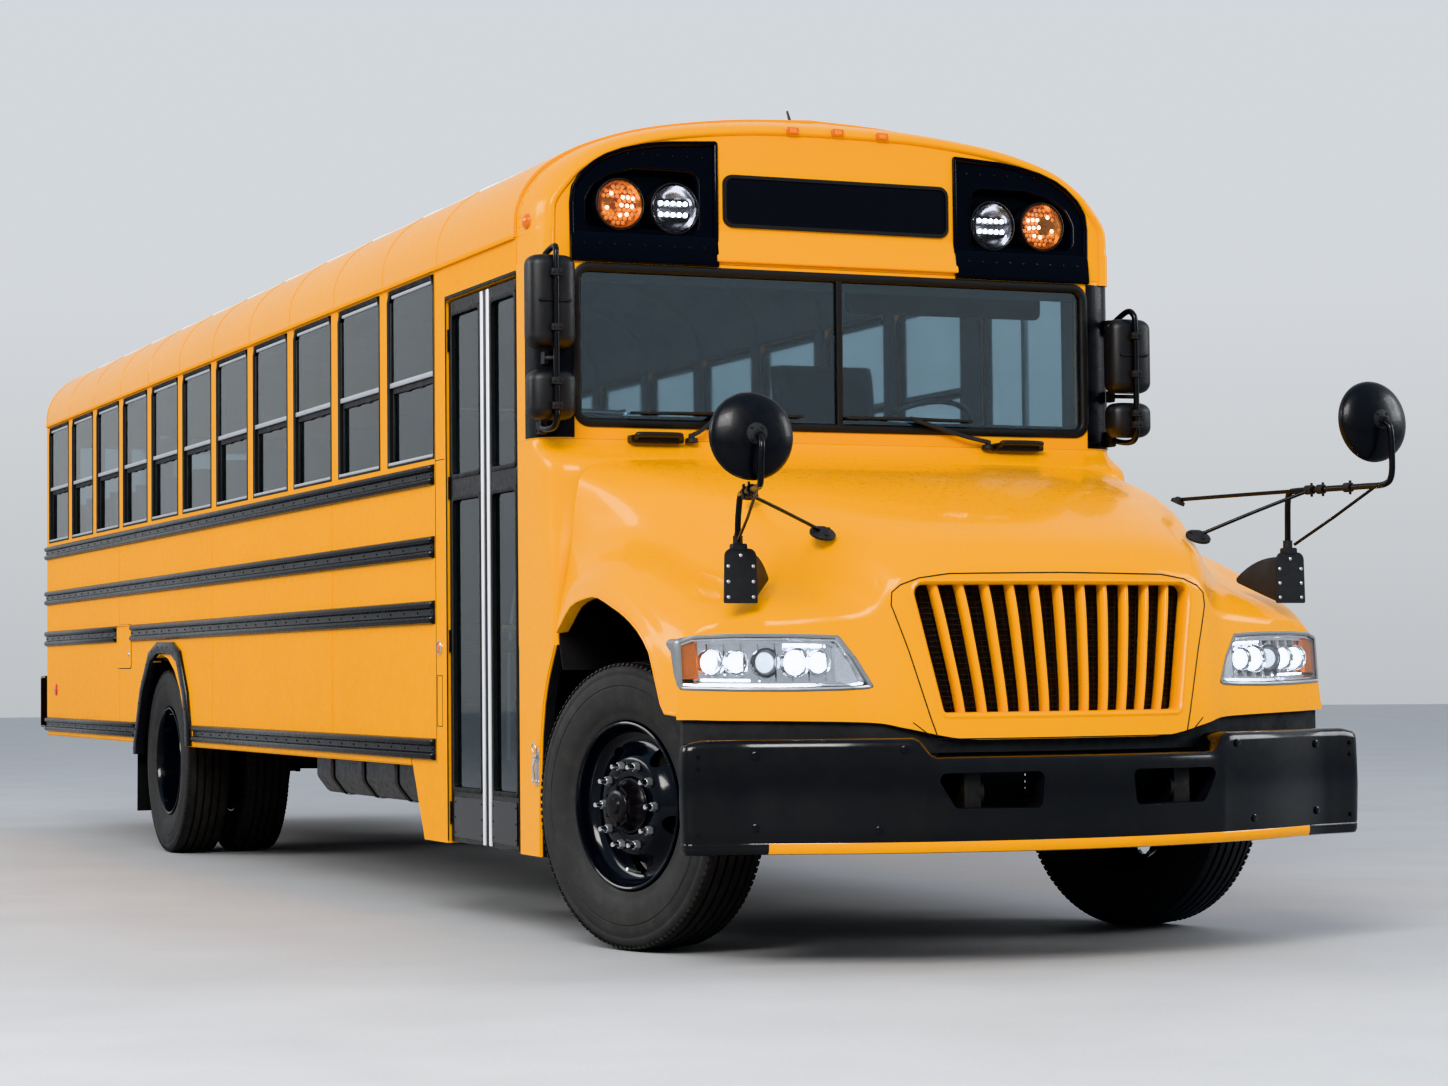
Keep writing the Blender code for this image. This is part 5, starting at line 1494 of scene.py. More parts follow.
seal = []
for g, y in ((-0.020, 0.502), (-0.020, 0.4955), (-0.010, 0.4915), (0.002, 0.4915), (0.010, 0.496), (0.013, 0.503),
             (0.013, 0.534), (-0.006, 0.534)):
    pts = rpoly([(-WSX - g, WS0 - g), (WSX + g, WS0 - g), (WSX + g, WS1 + g), (-WSX - g, WS1 + g)], 0.040 + g, 8)
    seal.append([(x, y, z) for x, z in pts])
seal2 = []
for g, y in ((0.020, 0.502), (0.020, 0.4955), (0.010, 0.4915), (-0.004, 0.4915), (-0.012, 0.496), (-0.014, 0.503),
             (-0.014, 0.534), (0.006, 0.534)):
    pts = rpoly([(-WSX - g, WS0 - g), (WSX + g, WS0 - g), (WSX + g, WS1 + g), (-WSX - g, WS1 + g)], 0.045 + g, 8)
    seal2.append([(x, y, z) for x, z in pts])
put("windscreen_rubber", rings(seal2, closed=True), "rubber", "body", angle=50)
ws = build("windscreen_panes", *join(box(-WSX + 0.008, -0.006, 0.5085, 0.5145, WS0 + 0.008, WS1 - 0.008),
                                     box(0.006, WSX - 0.008, 0.5085, 0.5145, WS0 + 0.008, WS1 - 0.008)),
           M["glass_front"], "body", smooth=False)
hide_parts("windscreen")
done(ws)
put("windscreen_mullion", rbox(-0.013, 0.013, 0.494, 0.520, WS0, WS1, 0.005, 3, "z"), "rubber", "body")
# dark printed band round the glass
band_ = []
for x0, x1, z0, z1 in ((-WSX + 0.01, WSX - 0.01, WS1 - 0.050, WS1 - 0.008), (-WSX + 0.01, WSX - 0.01, WS0 + 0.008, WS0 + 0.026)):
    band_.append(box(x0, x1, 0.5150, 0.5160, z0, z1))
put("windscreen_band", band_, "plastic_matte", "body")

# wipers: pivot, bent arm, blade with rubber
for k, (px, bx0, bx1, bz) in enumerate(((-0.624, -0.16, -0.86, 1.932), (0.624, 0.02, 0.56, 1.932))):
    base = [lathe([(1.822, 0.0), (1.822, 0.026), (1.838, 0.024), (1.842, 0.012), (1.856, 0.011), (1.858, 0.0)],
                  (px, 0.478, 0.0), "z", 24)]
    arm = crom([(px, 0.474, 1.850), (lerp(px, (bx0 + bx1) / 2, 0.30), 0.466, 1.868),
                (lerp(px, (bx0 + bx1) / 2, 0.75), 0.474, 1.910), ((bx0 + bx1) / 2, 0.484, bz + 0.004)], 8)
    base.append(pipe(arm, 0.0, 4, flat=(0.016, 0.009, (0, -1, 0.2))))
    base.append(pipe([(bx0, 0.4865, bz), ((bx0 + bx1) / 2, 0.482, bz + 0.003), (bx1, 0.4865, bz - 0.002)], 0.0, 4,
                     flat=(0.010, 0.012, (0, -1, 0))))
    base.append(pipe([(bx0, 0.494, bz), (bx1, 0.494, bz - 0.002)], 0.0, 4, flat=(0.007, 0.020, (0, -1, 0))))
    for q in (0.12, 0.34, 0.66, 0.88):
        x = lerp(bx0, bx1, q)
        base.append(box(x - 0.012, x + 0.012, 0.4835, 0.494, bz - 0.006, bz + 0.006))
    put("wiper_%d" % k, base, "plastic_matte", "body", bevel=0.0015)
for s in (1, -1):
    hx, hz = (0.75, 0.030) if s > 0 else (0.77, 0.030)
    h = [(s * (x + hx - 0.85), y, z + hz) for x, y, z in
         crom([(0.760, 0.462, 1.800), (0.764, 0.440, 1.812), (0.780, 0.430, 1.816), (0.920, 0.430, 1.816),
               (0.936, 0.440, 1.812), (0.940, 0.462, 1.800)], 5)]
    put("cowl_handle_%s" % ("left" if s > 0 else "right"),
        [pipe(h, 0.010, 10), rbox(s * hx - 0.105, s * hx + 0.105, 0.452, 0.492, 1.788 + hz, 1.816 + hz, 0.006, 3, "y")],
        "plastic", "body")
vents = []
for k in range(18):
    x = lerp(-0.50, 0.50, k / 17)
    vents.append(box(x - 0.018, x + 0.018, 0.385, 0.420, 1.7560 + 0.012, 1.7640 + 0.012))


# bail latch between the hood's side and the cowl, both sides
for s, tag in ((1, "left"), (-1, "right")):
    x = 1.224
    parts = [box(min(s * 1.2195, s * 1.2235), max(s * 1.2195, s * 1.2235), 0.512, 0.556, 0.560, 0.690)]
    loop = crom([(s * 1.232, 0.520, 0.680), (s * 1.236, 0.512, 0.700), (s * 1.236, 0.534, 0.716), (s * 1.236, 0.556, 0.700),
                 (s * 1.232, 0.548, 0.680)], 6)
    parts.append(pipe(loop, 0.0035, 8))
    parts.append(rod((s * 1.2305, 0.514, 0.665), (s * 1.2305, 0.554, 0.665), 0.007, 12))
    parts.append(pipe(crom([(s * 1.232, 0.534, 0.662), (s * 1.240, 0.534, 0.630), (s * 1.237, 0.534, 0.590),
                            (s * 1.243, 0.534, 0.572)], 5), 0.0, 4, flat=(0.020, 0.004, (s, 0, 0))))
    parts += dots_n([(s * 1.2235, 0.522, 0.575), (s * 1.2235, 0.546, 0.575)], (s, 0, 0), 0.005, 0.003, 8)
    put("cowl_latch_" + tag, parts, "steel", "body", bevel=0.001)


# ------------------------------------------------------------------ wheels
def tyre_shape(grooves, n=144):
    """Tyre turned about x, centred on 0: half width .125, radius .505."""
    prof = [(-0.085, 0.292), (-0.100, 0.298), (-0.105, 0.306), (-0.1055, 0.318), (-0.112, 0.332), (-0.1185, 0.350),
            (-0.1225, 0.375), (-0.1245, 0.398), (-0.1250, 0.410), (-0.1248, 0.414), (-0.1232, 0.416), (-0.1232, 0.419),
            (-0.1248, 0.421), (-0.1242, 0.436), (-0.1222, 0.452), (-0.1205, 0.456), (-0.1205, 0.462), (-0.1215, 0.466),
            (-0.1185, 0.478), (-0.1120, 0.490), (-0.1050, 0.4965)]
    x = -0.1050
    for g in grooves:
        prof += [(g - 0.0062, 0.4965 + 0.0085 * (1 - ((g - 0.0062) / 0.105) ** 2)),
                 (g - 0.0045, 0.4905), (g + 0.0045, 0.4905),
                 (g + 0.0062, 0.4965 + 0.0085 * (1 - ((g + 0.0062) / 0.105) ** 2))]
    prof.append((0.1050, 0.4965))
    prof += [(-a, r) for a, r in prof[:20][::-1]]
    prof += [(0.080, 0.2885), (-0.080, 0.2885)]
    return turned(prof, (0, 0, 0), n, "x")


def sipes(n=118, rear=False):
    """Small blocks of tread edge: dark slots along the shoulders as thin raised bars."""
    out = []
    for k in range(n):
        a = 2 * math.pi * k / n
        for s in (1, -1):
            m = Matrix.Rotation(a, 4, "X") @ Matrix.Translation((s * 0.1085, 0, 0.4940))
            sh = prism([(-0.0085, -0.0045), (0.0090, -0.0045), (0.0062, 0.0030), (-0.0050, 0.0066)], "y", -0.0078, 0.0078)
            out.append(move(sh, m @ (Matrix.Identity(4) if s > 0 else Matrix.Rotation(math.pi, 4, "Z"))))
    return out


def nuts(n, r, x0, length, centre_r=0.0115, cap=True, axis_sign=1):
    out = []
    for k in range(n):
        a = 2 * math.pi * (k + 0.5) / n
        y, z = r * math.sin(a), r * math.cos(a)
        hexa = turned([(x0, 0.0002), (x0, 0.0165), (x0 + 0.020, 0.0165), (x0 + 0.024, 0.0145), (x0 + 0.024, 0.0002)],
                      (0, y, z), 6, "x", closed=False)
        stud = turned([(x0 + 0.020, 0.0002), (x0 + 0.021, 0.0118), (x0 + length - 0.006, 0.0110), (x0 + length - 0.001, 0.0080),
                       (x0 + length, 0.0002)], (0, y, z), 14, "x", closed=False)
        out.append((hexa, stud))
    return out


def hand_holes(n, r, size, x0, x1, phase=0.5):
    out = []
    for k in range(n):
        a = 2 * math.pi * (k + phase) / n
        y, z = r * math.sin(a), r * math.cos(a)
        out.append(rod((x0, y, z), (x1, y, z), size, 28))
    return out


def plus_y(shape):
    return [(p[0], p[1] + YM, p[2]) for p in shape[0]], shape[1]


def wheel_piece(name, shapes, mat, body, where, turn=0.0, outer=1, cuts=None, **k):
    """Shapes made about the x axis, outwards +x, put at a wheel's centre."""
    m = Matrix.Translation(where) @ Matrix.Rotation(turn, 4, "Z")
    if outer < 0:
        m = m @ Matrix.Rotation(math.pi, 4, "Z")
    if isinstance(shapes, tuple):
        shapes = [shapes]
    ob = put(name, [move(s, m) for s in shapes], mat, body, **k)
    if cuts:
        cut(ob, [move(c, m) for c in cuts], "MANIFOLD")
        resharp(ob, k.get("angle", 38))
    return ob


# front rim, seen from outside: edge, gutter, deep barrel, disc bulging outwards
FR = [(0.1020, 0.2950), (0.1080, 0.2930), (0.1100, 0.2880), (0.1080, 0.2830), (0.1000, 0.2790), (0.0900, 0.2770),
      (0.0740, 0.2740), (0.0600, 0.2680), (0.0460, 0.2560), (0.0400, 0.2440), (0.0380, 0.2300), (0.0420, 0.2160),
      (0.0560, 0.1960), (0.0720, 0.1800), (0.0820, 0.1700), (0.0860, 0.1620), (0.0870, 0.1080), (0.0855, 0.1020),
      (0.0780, 0.0980), (0.0760, 0.0950), (0.0760, 0.0860), (0.0620, 0.0860), (0.0620, 0.1040), (0.0700, 0.1640),
      (0.0560, 0.1780), (0.0380, 0.1980), (0.0240, 0.2180), (0.0220, 0.2320), (0.0240, 0.2600), (-0.0800, 0.2680),
      (-0.0980, 0.2800), (-0.1020, 0.2860), (-0.0960, 0.2900), (-0.0780, 0.2870), (0.0780, 0.2870), (0.0960, 0.2900)]


def front_wheel(side):
    tag = "left" if side > 0 else "right"
    body = "front_wheel_" + tag
    c, s = math.cos(STEER), math.sin(STEER)
    off = FRONT_X - KING_X
    where = Vector((side * KING_X + side * off * c, side * off * s, WHEEL_Z))
    a = wheel_piece("tyre_front_" + tag, [tyre_shape((-0.074, -0.038, 0.0, 0.038, 0.074))], "tyre", body, where, STEER, side,
                    angle=34)
    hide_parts("front_tyre_" + tag)
    wheel_piece("tread_front_" + tag, sipes(), "tyre", body, where, STEER, side, angle=30)
    r = wheel_piece("rim_front_" + tag, [turned(FR, (0, 0, 0), 96, "x")], "black", body, where, STEER, side, angle=40,
                    cuts=hand_holes(5, 0.2080, 0.0330, -0.02, 0.12))
    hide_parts("front_rim_" + tag)
    lips = []
    for k in range(5):
        q = 2 * math.pi * (k + 0.5) / 5
        lips.append(move(turned([(0.0, 0.0325), (0.004, 0.0345), (0.007, 0.0380), (0.003, 0.0390), (-0.003, 0.0370)],
                                (0, 0, 0), 28, "x"),
                         Matrix.Translation((0.0475, 0.2080 * math.sin(q), 0.2080 * math.cos(q)))
                         @ Matrix.Rotation(q, 4, "X").inverted() @ Matrix.Rotation(math.radians(-50), 4, "Y")
                         @ Matrix.Rotation(q * 0, 4, "X")))
    ns = nuts(10, 0.1425, 0.0865, 0.050)
    wheel_piece("nut_front_" + tag, [n[0] for n in ns], "steel", body, where, STEER, side, angle=30)
    wheel_piece("stud_front_" + tag, [n[1] for n in ns], "chrome", body, where, STEER, side, angle=40)
    washers = []
    for k in range(10):
        q = 2 * math.pi * (k + 0.5) / 10
        washers.append(turned([(0.0862, 0.0002), (0.0862, 0.0205), (0.0885, 0.0200), (0.0892, 0.0002)],
                              (0, 0.1425 * math.sin(q), 0.1425 * math.cos(q)), 20, "x", closed=False))
    wheel_piece("washer_front_" + tag, washers, "plastic", body, where, STEER, side, angle=30)
    hub = turned([(0.060, 0.0002), (0.060, 0.0980), (0.0900, 0.0980), (0.0925, 0.0960), (0.0935, 0.0900), (0.1000, 0.0840),
                  (0.1200, 0.0760), (0.1400, 0.0700), (0.1430, 0.0685), (0.1440, 0.0640), (0.1440, 0.0600), (0.1490, 0.0580),
                  (0.1530, 0.0540), (0.1560, 0.0420), (0.1570, 0.0300), (0.1600, 0.0270), (0.1640, 0.0220), (0.1650, 0.0002)],
                 (0, 0, 0), 64, "x", closed=False)
    wheel_piece("hub_front_" + tag, hub, "black_satin", body, where, STEER, side, angle=35)
    hb = []
    for k in range(6):
        q = 2 * math.pi * k / 6
        hb.append(turned([(0.1435, 0.0002), (0.1435, 0.0075), (0.1500, 0.0075), (0.1510, 0.0002)],
                         (0, 0.0640 * math.sin(q), 0.0640 * math.cos(q)), 6, "x", closed=False))
    wheel_piece("hub_bolt_front_" + tag, hb, "black_satin", body, where, STEER, side, angle=30)
    valve = [rod((0.045, 0.0, -0.236), (0.098, 0.0, -0.222), 0.0045, 10), rod((0.090, 0.0, -0.2245), (0.104, 0.0, -0.2205), 0.0065, 10)]
    wheel_piece("valve_front_" + tag, valve, "steel", body, where, STEER, side)
    # drum behind the disc
    drum = turned([(-0.10, 0.0002), (-0.10, 0.205), (0.010, 0.205), (0.015, 0.195), (0.015, 0.0002)], (0, 0, 0), 48, "x", closed=False)
    wheel_piece("drum_front_" + tag, drum, "cast", body, where, STEER, side, angle=30)


RR = [(0.1020, 0.2950), (0.1080, 0.2930), (0.1100, 0.2880), (0.1080, 0.2830), (0.1000, 0.2790), (0.0900, 0.2770),
      (0.0600, 0.2720), (0.0000, 0.2660), (-0.0500, 0.2600), (-0.0660, 0.2520), (-0.0760, 0.2400), (-0.0860, 0.2180),
      (-0.1080, 0.1980), (-0.1180, 0.1860), (-0.1200, 0.1780), (-0.1200, 0.1100), (-0.1380, 0.1100), (-0.1380, 0.2000),
      (-0.1200, 0.2300), (-0.1120, 0.2760), (-0.1020, 0.2860), (-0.0960, 0.2900), (-0.0780, 0.2870), (0.0780, 0.2870),
      (0.0960, 0.2900)]


def rear_wheels(side):
    tag = "left" if side > 0 else "right"
    body = "rear_wheels_" + tag
    out = Vector((side * 1.065, WHEELBASE, WHEEL_Z))
    inn = Vector((side * 0.735, WHEELBASE, WHEEL_Z))
    g = (-0.062, -0.021, 0.021, 0.062)
    a = wheel_piece("tyre_rear_outer_" + tag, [tyre_shape(g)], "tyre", body, out, 0, side, angle=34)
    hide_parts("rear_tyre_outer_" + tag)
    b = wheel_piece("tyre_rear_inner_" + tag, [tyre_shape(g)], "tyre", body, inn, 0, side, angle=34)
    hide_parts("rear_tyre_inner_" + tag)
    wheel_piece("tread_rear_outer_" + tag, sipes(), "tyre", body, out, 0, side, angle=30)
    wheel_piece("tread_rear_inner_" + tag, sipes(), "tyre", body, inn, 0, side, angle=30)
    r = wheel_piece("rim_rear_" + tag, [turned(RR, (0, 0, 0), 88, "x")], "black", body, out, 0, side, angle=40,
                    cuts=hand_holes(5, 0.2100, 0.0300, -0.16, -0.05))
    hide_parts("rear_rims_" + tag)
    barrel = turned([(0.0900, 0.2870), (0.0900, 0.2780), (-0.0900, 0.2640), (-0.0960, 0.2830), (-0.0900, 0.2870)],
                    (0, 0, 0), 72, "x")
    wheel_piece("rim_rear_inner_" + tag, barrel, "black", body, inn, 0, side, angle=40)
    ns = nuts(10, 0.1425, -0.1200, 0.060)
    wheel_piece("nut_rear_" + tag, [n[0] for n in ns], "steel", body, out, 0, side, angle=30)
    wheel_piece("stud_rear_" + tag, [n[1] for n in ns], "chrome", body, out, 0, side, angle=40)
    hub = turned([(-0.150, 0.0002), (-0.150, 0.1090), (-0.1190, 0.1090), (-0.1160, 0.1060), (-0.1120, 0.0960), (-0.0500, 0.0900),
                  (-0.0450, 0.0880), (-0.0430, 0.0840), (-0.0430, 0.0640), (-0.0300, 0.0600), (-0.0200, 0.0500),
                  (-0.0180, 0.0002)], (0, 0, 0), 56, "x", closed=False)
    wheel_piece("hub_rear_" + tag, hub, "black_satin", body, out, 0, side, angle=35)
    hb = []
    for k in range(8):
        q = 2 * math.pi * k / 8
        hb.append(turned([(-0.0432, 0.0002), (-0.0432, 0.0085), (-0.0350, 0.0085), (-0.0340, 0.0002)],
                         (0, 0.0760 * math.sin(q), 0.0760 * math.cos(q)), 6, "x", closed=False))
    wheel_piece("hub_bolt_rear_" + tag, hb, "black_satin", body, out, 0, side, angle=30)
    drum = turned([(-0.200, 0.0002), (-0.200, 0.205), (0.06, 0.205), (0.08, 0.195), (0.08, 0.0002)], (0, 0, 0), 48, "x", closed=False)
    wheel_piece("drum_rear_" + tag, drum, "cast", body, inn, 0, side, angle=30)
    vl = [rod((-0.060, 0.0, 0.246), (0.098, 0.0, 0.255), 0.0045, 10)]
    wheel_piece("valve_rear_" + tag, vl, "steel", body, out, 0, side)


for side in (1, -1):
    front_wheel(side)
    rear_wheels(side)


# ------------------------------------------------------- carried-over nodes
def look(node, mat):
    ob = frame["nodes"][node]
    ob.data.materials.clear()
    ob.data.materials.append(M[mat])
    for p in ob.data.polygons:
        p.material_index = 0


for n, m in {"side_wall_right": "yellow_side", "side_wall_left": "yellow_side", "floor": "floor",
             "chassis_frame": "frame", "engine": "cast", "driveshaft": "frame", "exhaust": "pipe",
             "front_axle": "frame", "rear_axle": "frame", "knuckle_right": "cast", "knuckle_left": "cast",
             "tie_rod": "frame", "rear_wall": "yellow_side", "fuel_tank": "black_satin"}.items():
    look(n, m)


def X(side, *shapes):
    """Right-hand (+x) shapes, mirrored for the other side."""
    return [flip(s) if side < 0 else s for s in shapes]


# ---------------------------------------------------------- windows, rails
RAILS = [(1.732, 1.817), (1.437, 1.527), (1.171, 1.267), (0.623, 0.711)]
RAIL_Y0, RAIL_Y1 = 1.752, 10.045
FUEL_Y, FUEL_Z = (7.470, 7.850), (1.020, 1.268)


def rail_section(z0, z1):
    h = z1 - z0
    u0 = 0.0
    return [(u0, 0.000), (0.009, 0.001), (0.0170, 0.005), (0.0210, 0.012), (0.0215, h * 0.22), (0.0190, h * 0.30),
            (0.0075, h * 0.37), (0.0070, h * 0.50), (0.0075, h * 0.63), (0.0190, h * 0.70), (0.0215, h * 0.78), (0.0210, h - 0.012),
            (0.0170, h - 0.005), (0.009, h - 0.001), (u0, h)]


def rail_piece(side, z0, z1, y0, y1):
    sec = rail_section(z0, z1)
    secs = []
    for y, k in ((y0, 0.25), (y0 + 0.008, 0.75), (y0 + 0.020, 1.0), (y1 - 0.020, 1.0), (y1 - 0.008, 0.75), (y1, 0.25)):
        secs.append([(HALF_W - 0.001 + u * k, y, z0 + v) for u, v in sec])
    return X(side, rings(secs))[0]


for side, tag in ((1, "left"), (-1, "right")):
    rails = []
    y0 = RAIL_Y0 if side < 0 else 0.790
    arch_gap = (5.945, 7.350)
    spans = {0: [(y0, RAIL_Y1)], 1: [(y0, RAIL_Y1)],
             2: [(y0, FUEL_Y[0] - 0.012), (FUEL_Y[1] + 0.012, RAIL_Y1)] if side < 0 else [(y0, RAIL_Y1)],
             3: [(y0 if side > 0 else RAIL_Y0, arch_gap[0]), (arch_gap[1], RAIL_Y1)]}
    for k, (z0, z1) in enumerate(RAILS):
        for a, b in spans[k]:
            rails.append(rail_piece(side, z0, z1, a, b))
    put("rub_rails_" + tag, rails, "rail", "body", angle=32)
    riv = []
    for k, (z0, z1) in enumerate(RAILS):
        for a, b in spans[k]:
            n = int((b - a) / 0.19)
            for j in range(n + 1):
                y = lerp(a + 0.03, b - 0.03, j / max(1, n))
                riv.append((side * (HALF_W + 0.0060), y, (z0 + z1) / 2))
    put("rail_rivets_" + tag, join(*dots(riv, (side, 0, 0), 0.0050, 0.003, 6)), "rail", "body")
    pan = []
    for y in [RAIL_Y0 + 0.06 + 0.126 * j for j in range(65)]:
        for z in (0.735, 1.150, 1.290, 1.415, 1.548, 1.710):
            if side < 0 and FUEL_Y[0] - 0.02 < y < FUEL_Y[1] + 0.02 and z < 1.30:
                continue
            if z < 1.16 and 5.93 < y < 7.36:
                continue
            pan.append((side * HALF_W, y, z))
    put("panel_rivets_" + tag, join(*dots(pan, (side, 0, 0), 0.0040, 0.0022, 6)), "yellow_side", "body")
    # panel laps: thin raised steps where the side sheets overlap
    laps = []
    for y in (3.26, 5.52, 7.79):
        for z0, z1 in ((0.711, 1.171), (1.267, 1.437), (1.527, 1.732)):
            if z0 < 1.0 and 5.9 < y < 7.4:
                continue
            laps.append(box(HALF_W - 0.001, HALF_W + 0.0016, y, y + 0.026, z0 + 0.002, z1 - 0.002))
    put("panel_laps_" + tag, X(side, *laps), "yellow_side", "body", bevel=0.0006, seg=1)
    # drip rail over the windows, and the sheet's fold above it
    dsec = [(-0.002, 0.0), (0.004, -0.004), (0.013, -0.003), (0.0155, 0.002), (0.0155, 0.010), (0.0125, 0.012),
            (0.0100, 0.005), (0.004, 0.006), (-0.002, 0.016)]
    y0 = 0.742
    put("drip_rail_" + tag, X(side, rings([[(HALF_W + u * k, y, 2.5985 + v) for u, v in dsec] for y, k in
                                           ((y0, 0.3), (y0 + 0.02, 1), (9.985, 1), (10.00, 0.3))])),
        "yellow_side", "body", angle=30)
    # windows
    frames, bars, panes, inner, rubber = [], [], [], [], []
    wins = [(WIN_Y0 + k * WIN_PITCH, WIN_W, True) for k in range(WIN_N)]
    if side > 0:
        wins.append((0.860, 0.700, False))
    for y, w, two in wins:
        y1 = y + w
        zt = WIN_Z1
        # outer frame: black, hollow, with cut top corners
        out = [(y, WIN_Z0), (y1, WIN_Z0), (y1, zt - 0.045), (y1 - 0.040, zt), (y + 0.040, zt), (y, zt - 0.045)]
        inn = [(y + 0.020, WIN_Z0 + 0.020), (y1 - 0.020, WIN_Z0 + 0.020), (y1 - 0.020, zt - 0.053), (y1 - 0.050, zt - 0.020),
               (y + 0.050, zt - 0.020), (y + 0.020, zt - 0.053)]
        ring_ = []
        for pts, x in ((out, 1.180), (out, 1.2225), ([(lerp(a[0], b[0], 0.3), lerp(a[1], b[1], 0.3)) for a, b in zip(out, inn)], 1.2245),
                       (inn, 1.2185), (inn, 1.180)):
            ring_.append([(x, p[0], p[1]) for p in pts])
        frames.append(rings(ring_, closed=True))
        zm = 2.186
        if two:
            bars.append(rbox(1.200, 1.2165, y + 0.021, y1 - 0.021, zm - 0.010, zm + 0.012, 0.003, 2, "y"))
            inner.append(box(1.188, 1.206, y + 0.030, y1 - 0.030, zm - 0.036, zm - 0.010))
            bars.append(rbox(1.196, 1.2165, y + 0.050, y1 - 0.050, zt - 0.036, zt - 0.021, 0.003, 2, "y"))
            bars.append(rbox(1.196, 1.2235, y + 0.018, y1 - 0.018, WIN_Z0 + 0.008, WIN_Z0 + 0.022, 0.003, 2, "y"))
            # jambs of the lower sash sit further in
            for a, b in ((y + 0.020, y + 0.040), (y1 - 0.040, y1 - 0.020)):
                inner.append(box(1.186, 1.2045, a, b, WIN_Z0 + 0.028, zm - 0.014))
                inner.append(box(1.198, 1.2155, a, b - 0.006 if a < y + 0.03 else b, zm + 0.012, zt - 0.050))
            panes.append(box(1.2060, 1.2100, y + 0.022, y1 - 0.022, zm + 0.006, zt - 0.024))
            panes.append(box(1.1940, 1.1980, y + 0.030, y1 - 0.030, WIN_Z0 + 0.022, zm - 0.024))
            inner.append(box(1.190, 1.2045, y + 0.20, y + 0.26, zm - 0.040, zm - 0.030))
            inner.append(box(1.190, 1.2045, y1 - 0.26, y1 - 0.20, zm - 0.040, zm - 0.030))
        else:
            ym = y + w * 0.52
            panes.append(box(1.2060, 1.2100, y + 0.018, ym + 0.02, WIN_Z0 + 0.018, zt - 0.020))
            panes.append(box(1.1950, 1.1990, ym - 0.01, y1 - 0.018, WIN_Z0 + 0.018, zt - 0.020))
            bars.append(box(1.192, 1.2155, ym - 0.010, ym + 0.016, WIN_Z0 + 0.020, zt - 0.020))
            bars.append(box(1.196, 1.2235, y + 0.018, y1 - 0.018, WIN_Z0 + 0.010, WIN_Z0 + 0.026))
    f = put("sash_frames_" + tag, X(side, *frames), "rubber", "body", angle=25, bevel=0.0012, seg=1)
    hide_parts("windows_" + tag)
    put("sash_bars_" + tag, X(side, *bars), "alu_light", "body", angle=30)
    put("sash_jambs_" + tag, X(side, *inner), "plastic_matte", "body", bevel=0.0015, seg=1)
    put("window_panes_" + tag, X(side, *panes), "glass", "body", smooth=False)
    # panels inside: below, between and above the windows
    ins = [box(1.1660, 1.1745, 1.70 if side < 0 else 0.76, 9.99, 1.105, 1.822),
           box(1.1660, 1.1745, 0.76, 9.99, 2.592, 2.600)]
    edges_ = [0.76 if side > 0 else 1.64] + [v for y, w, t in sorted(wins) for v in (y, y + w)] + [9.99]
    for a, b in zip(edges_[::2], edges_[1::2]):
        ins.append(box(1.1660, 1.1745, a + 0.004, b - 0.004, 1.822, 2.592))
    put("inside_panels_" + tag, X(side, *ins), "inside", "body", bevel=0.001, seg=1)
    ledge = [box(1.125, 1.166, 1.72 if side < 0 else 0.80, 9.98, 1.800, 1.822)]
    put("window_ledge_" + tag, X(side, *ledge), "alu", "body", bevel=0.004)


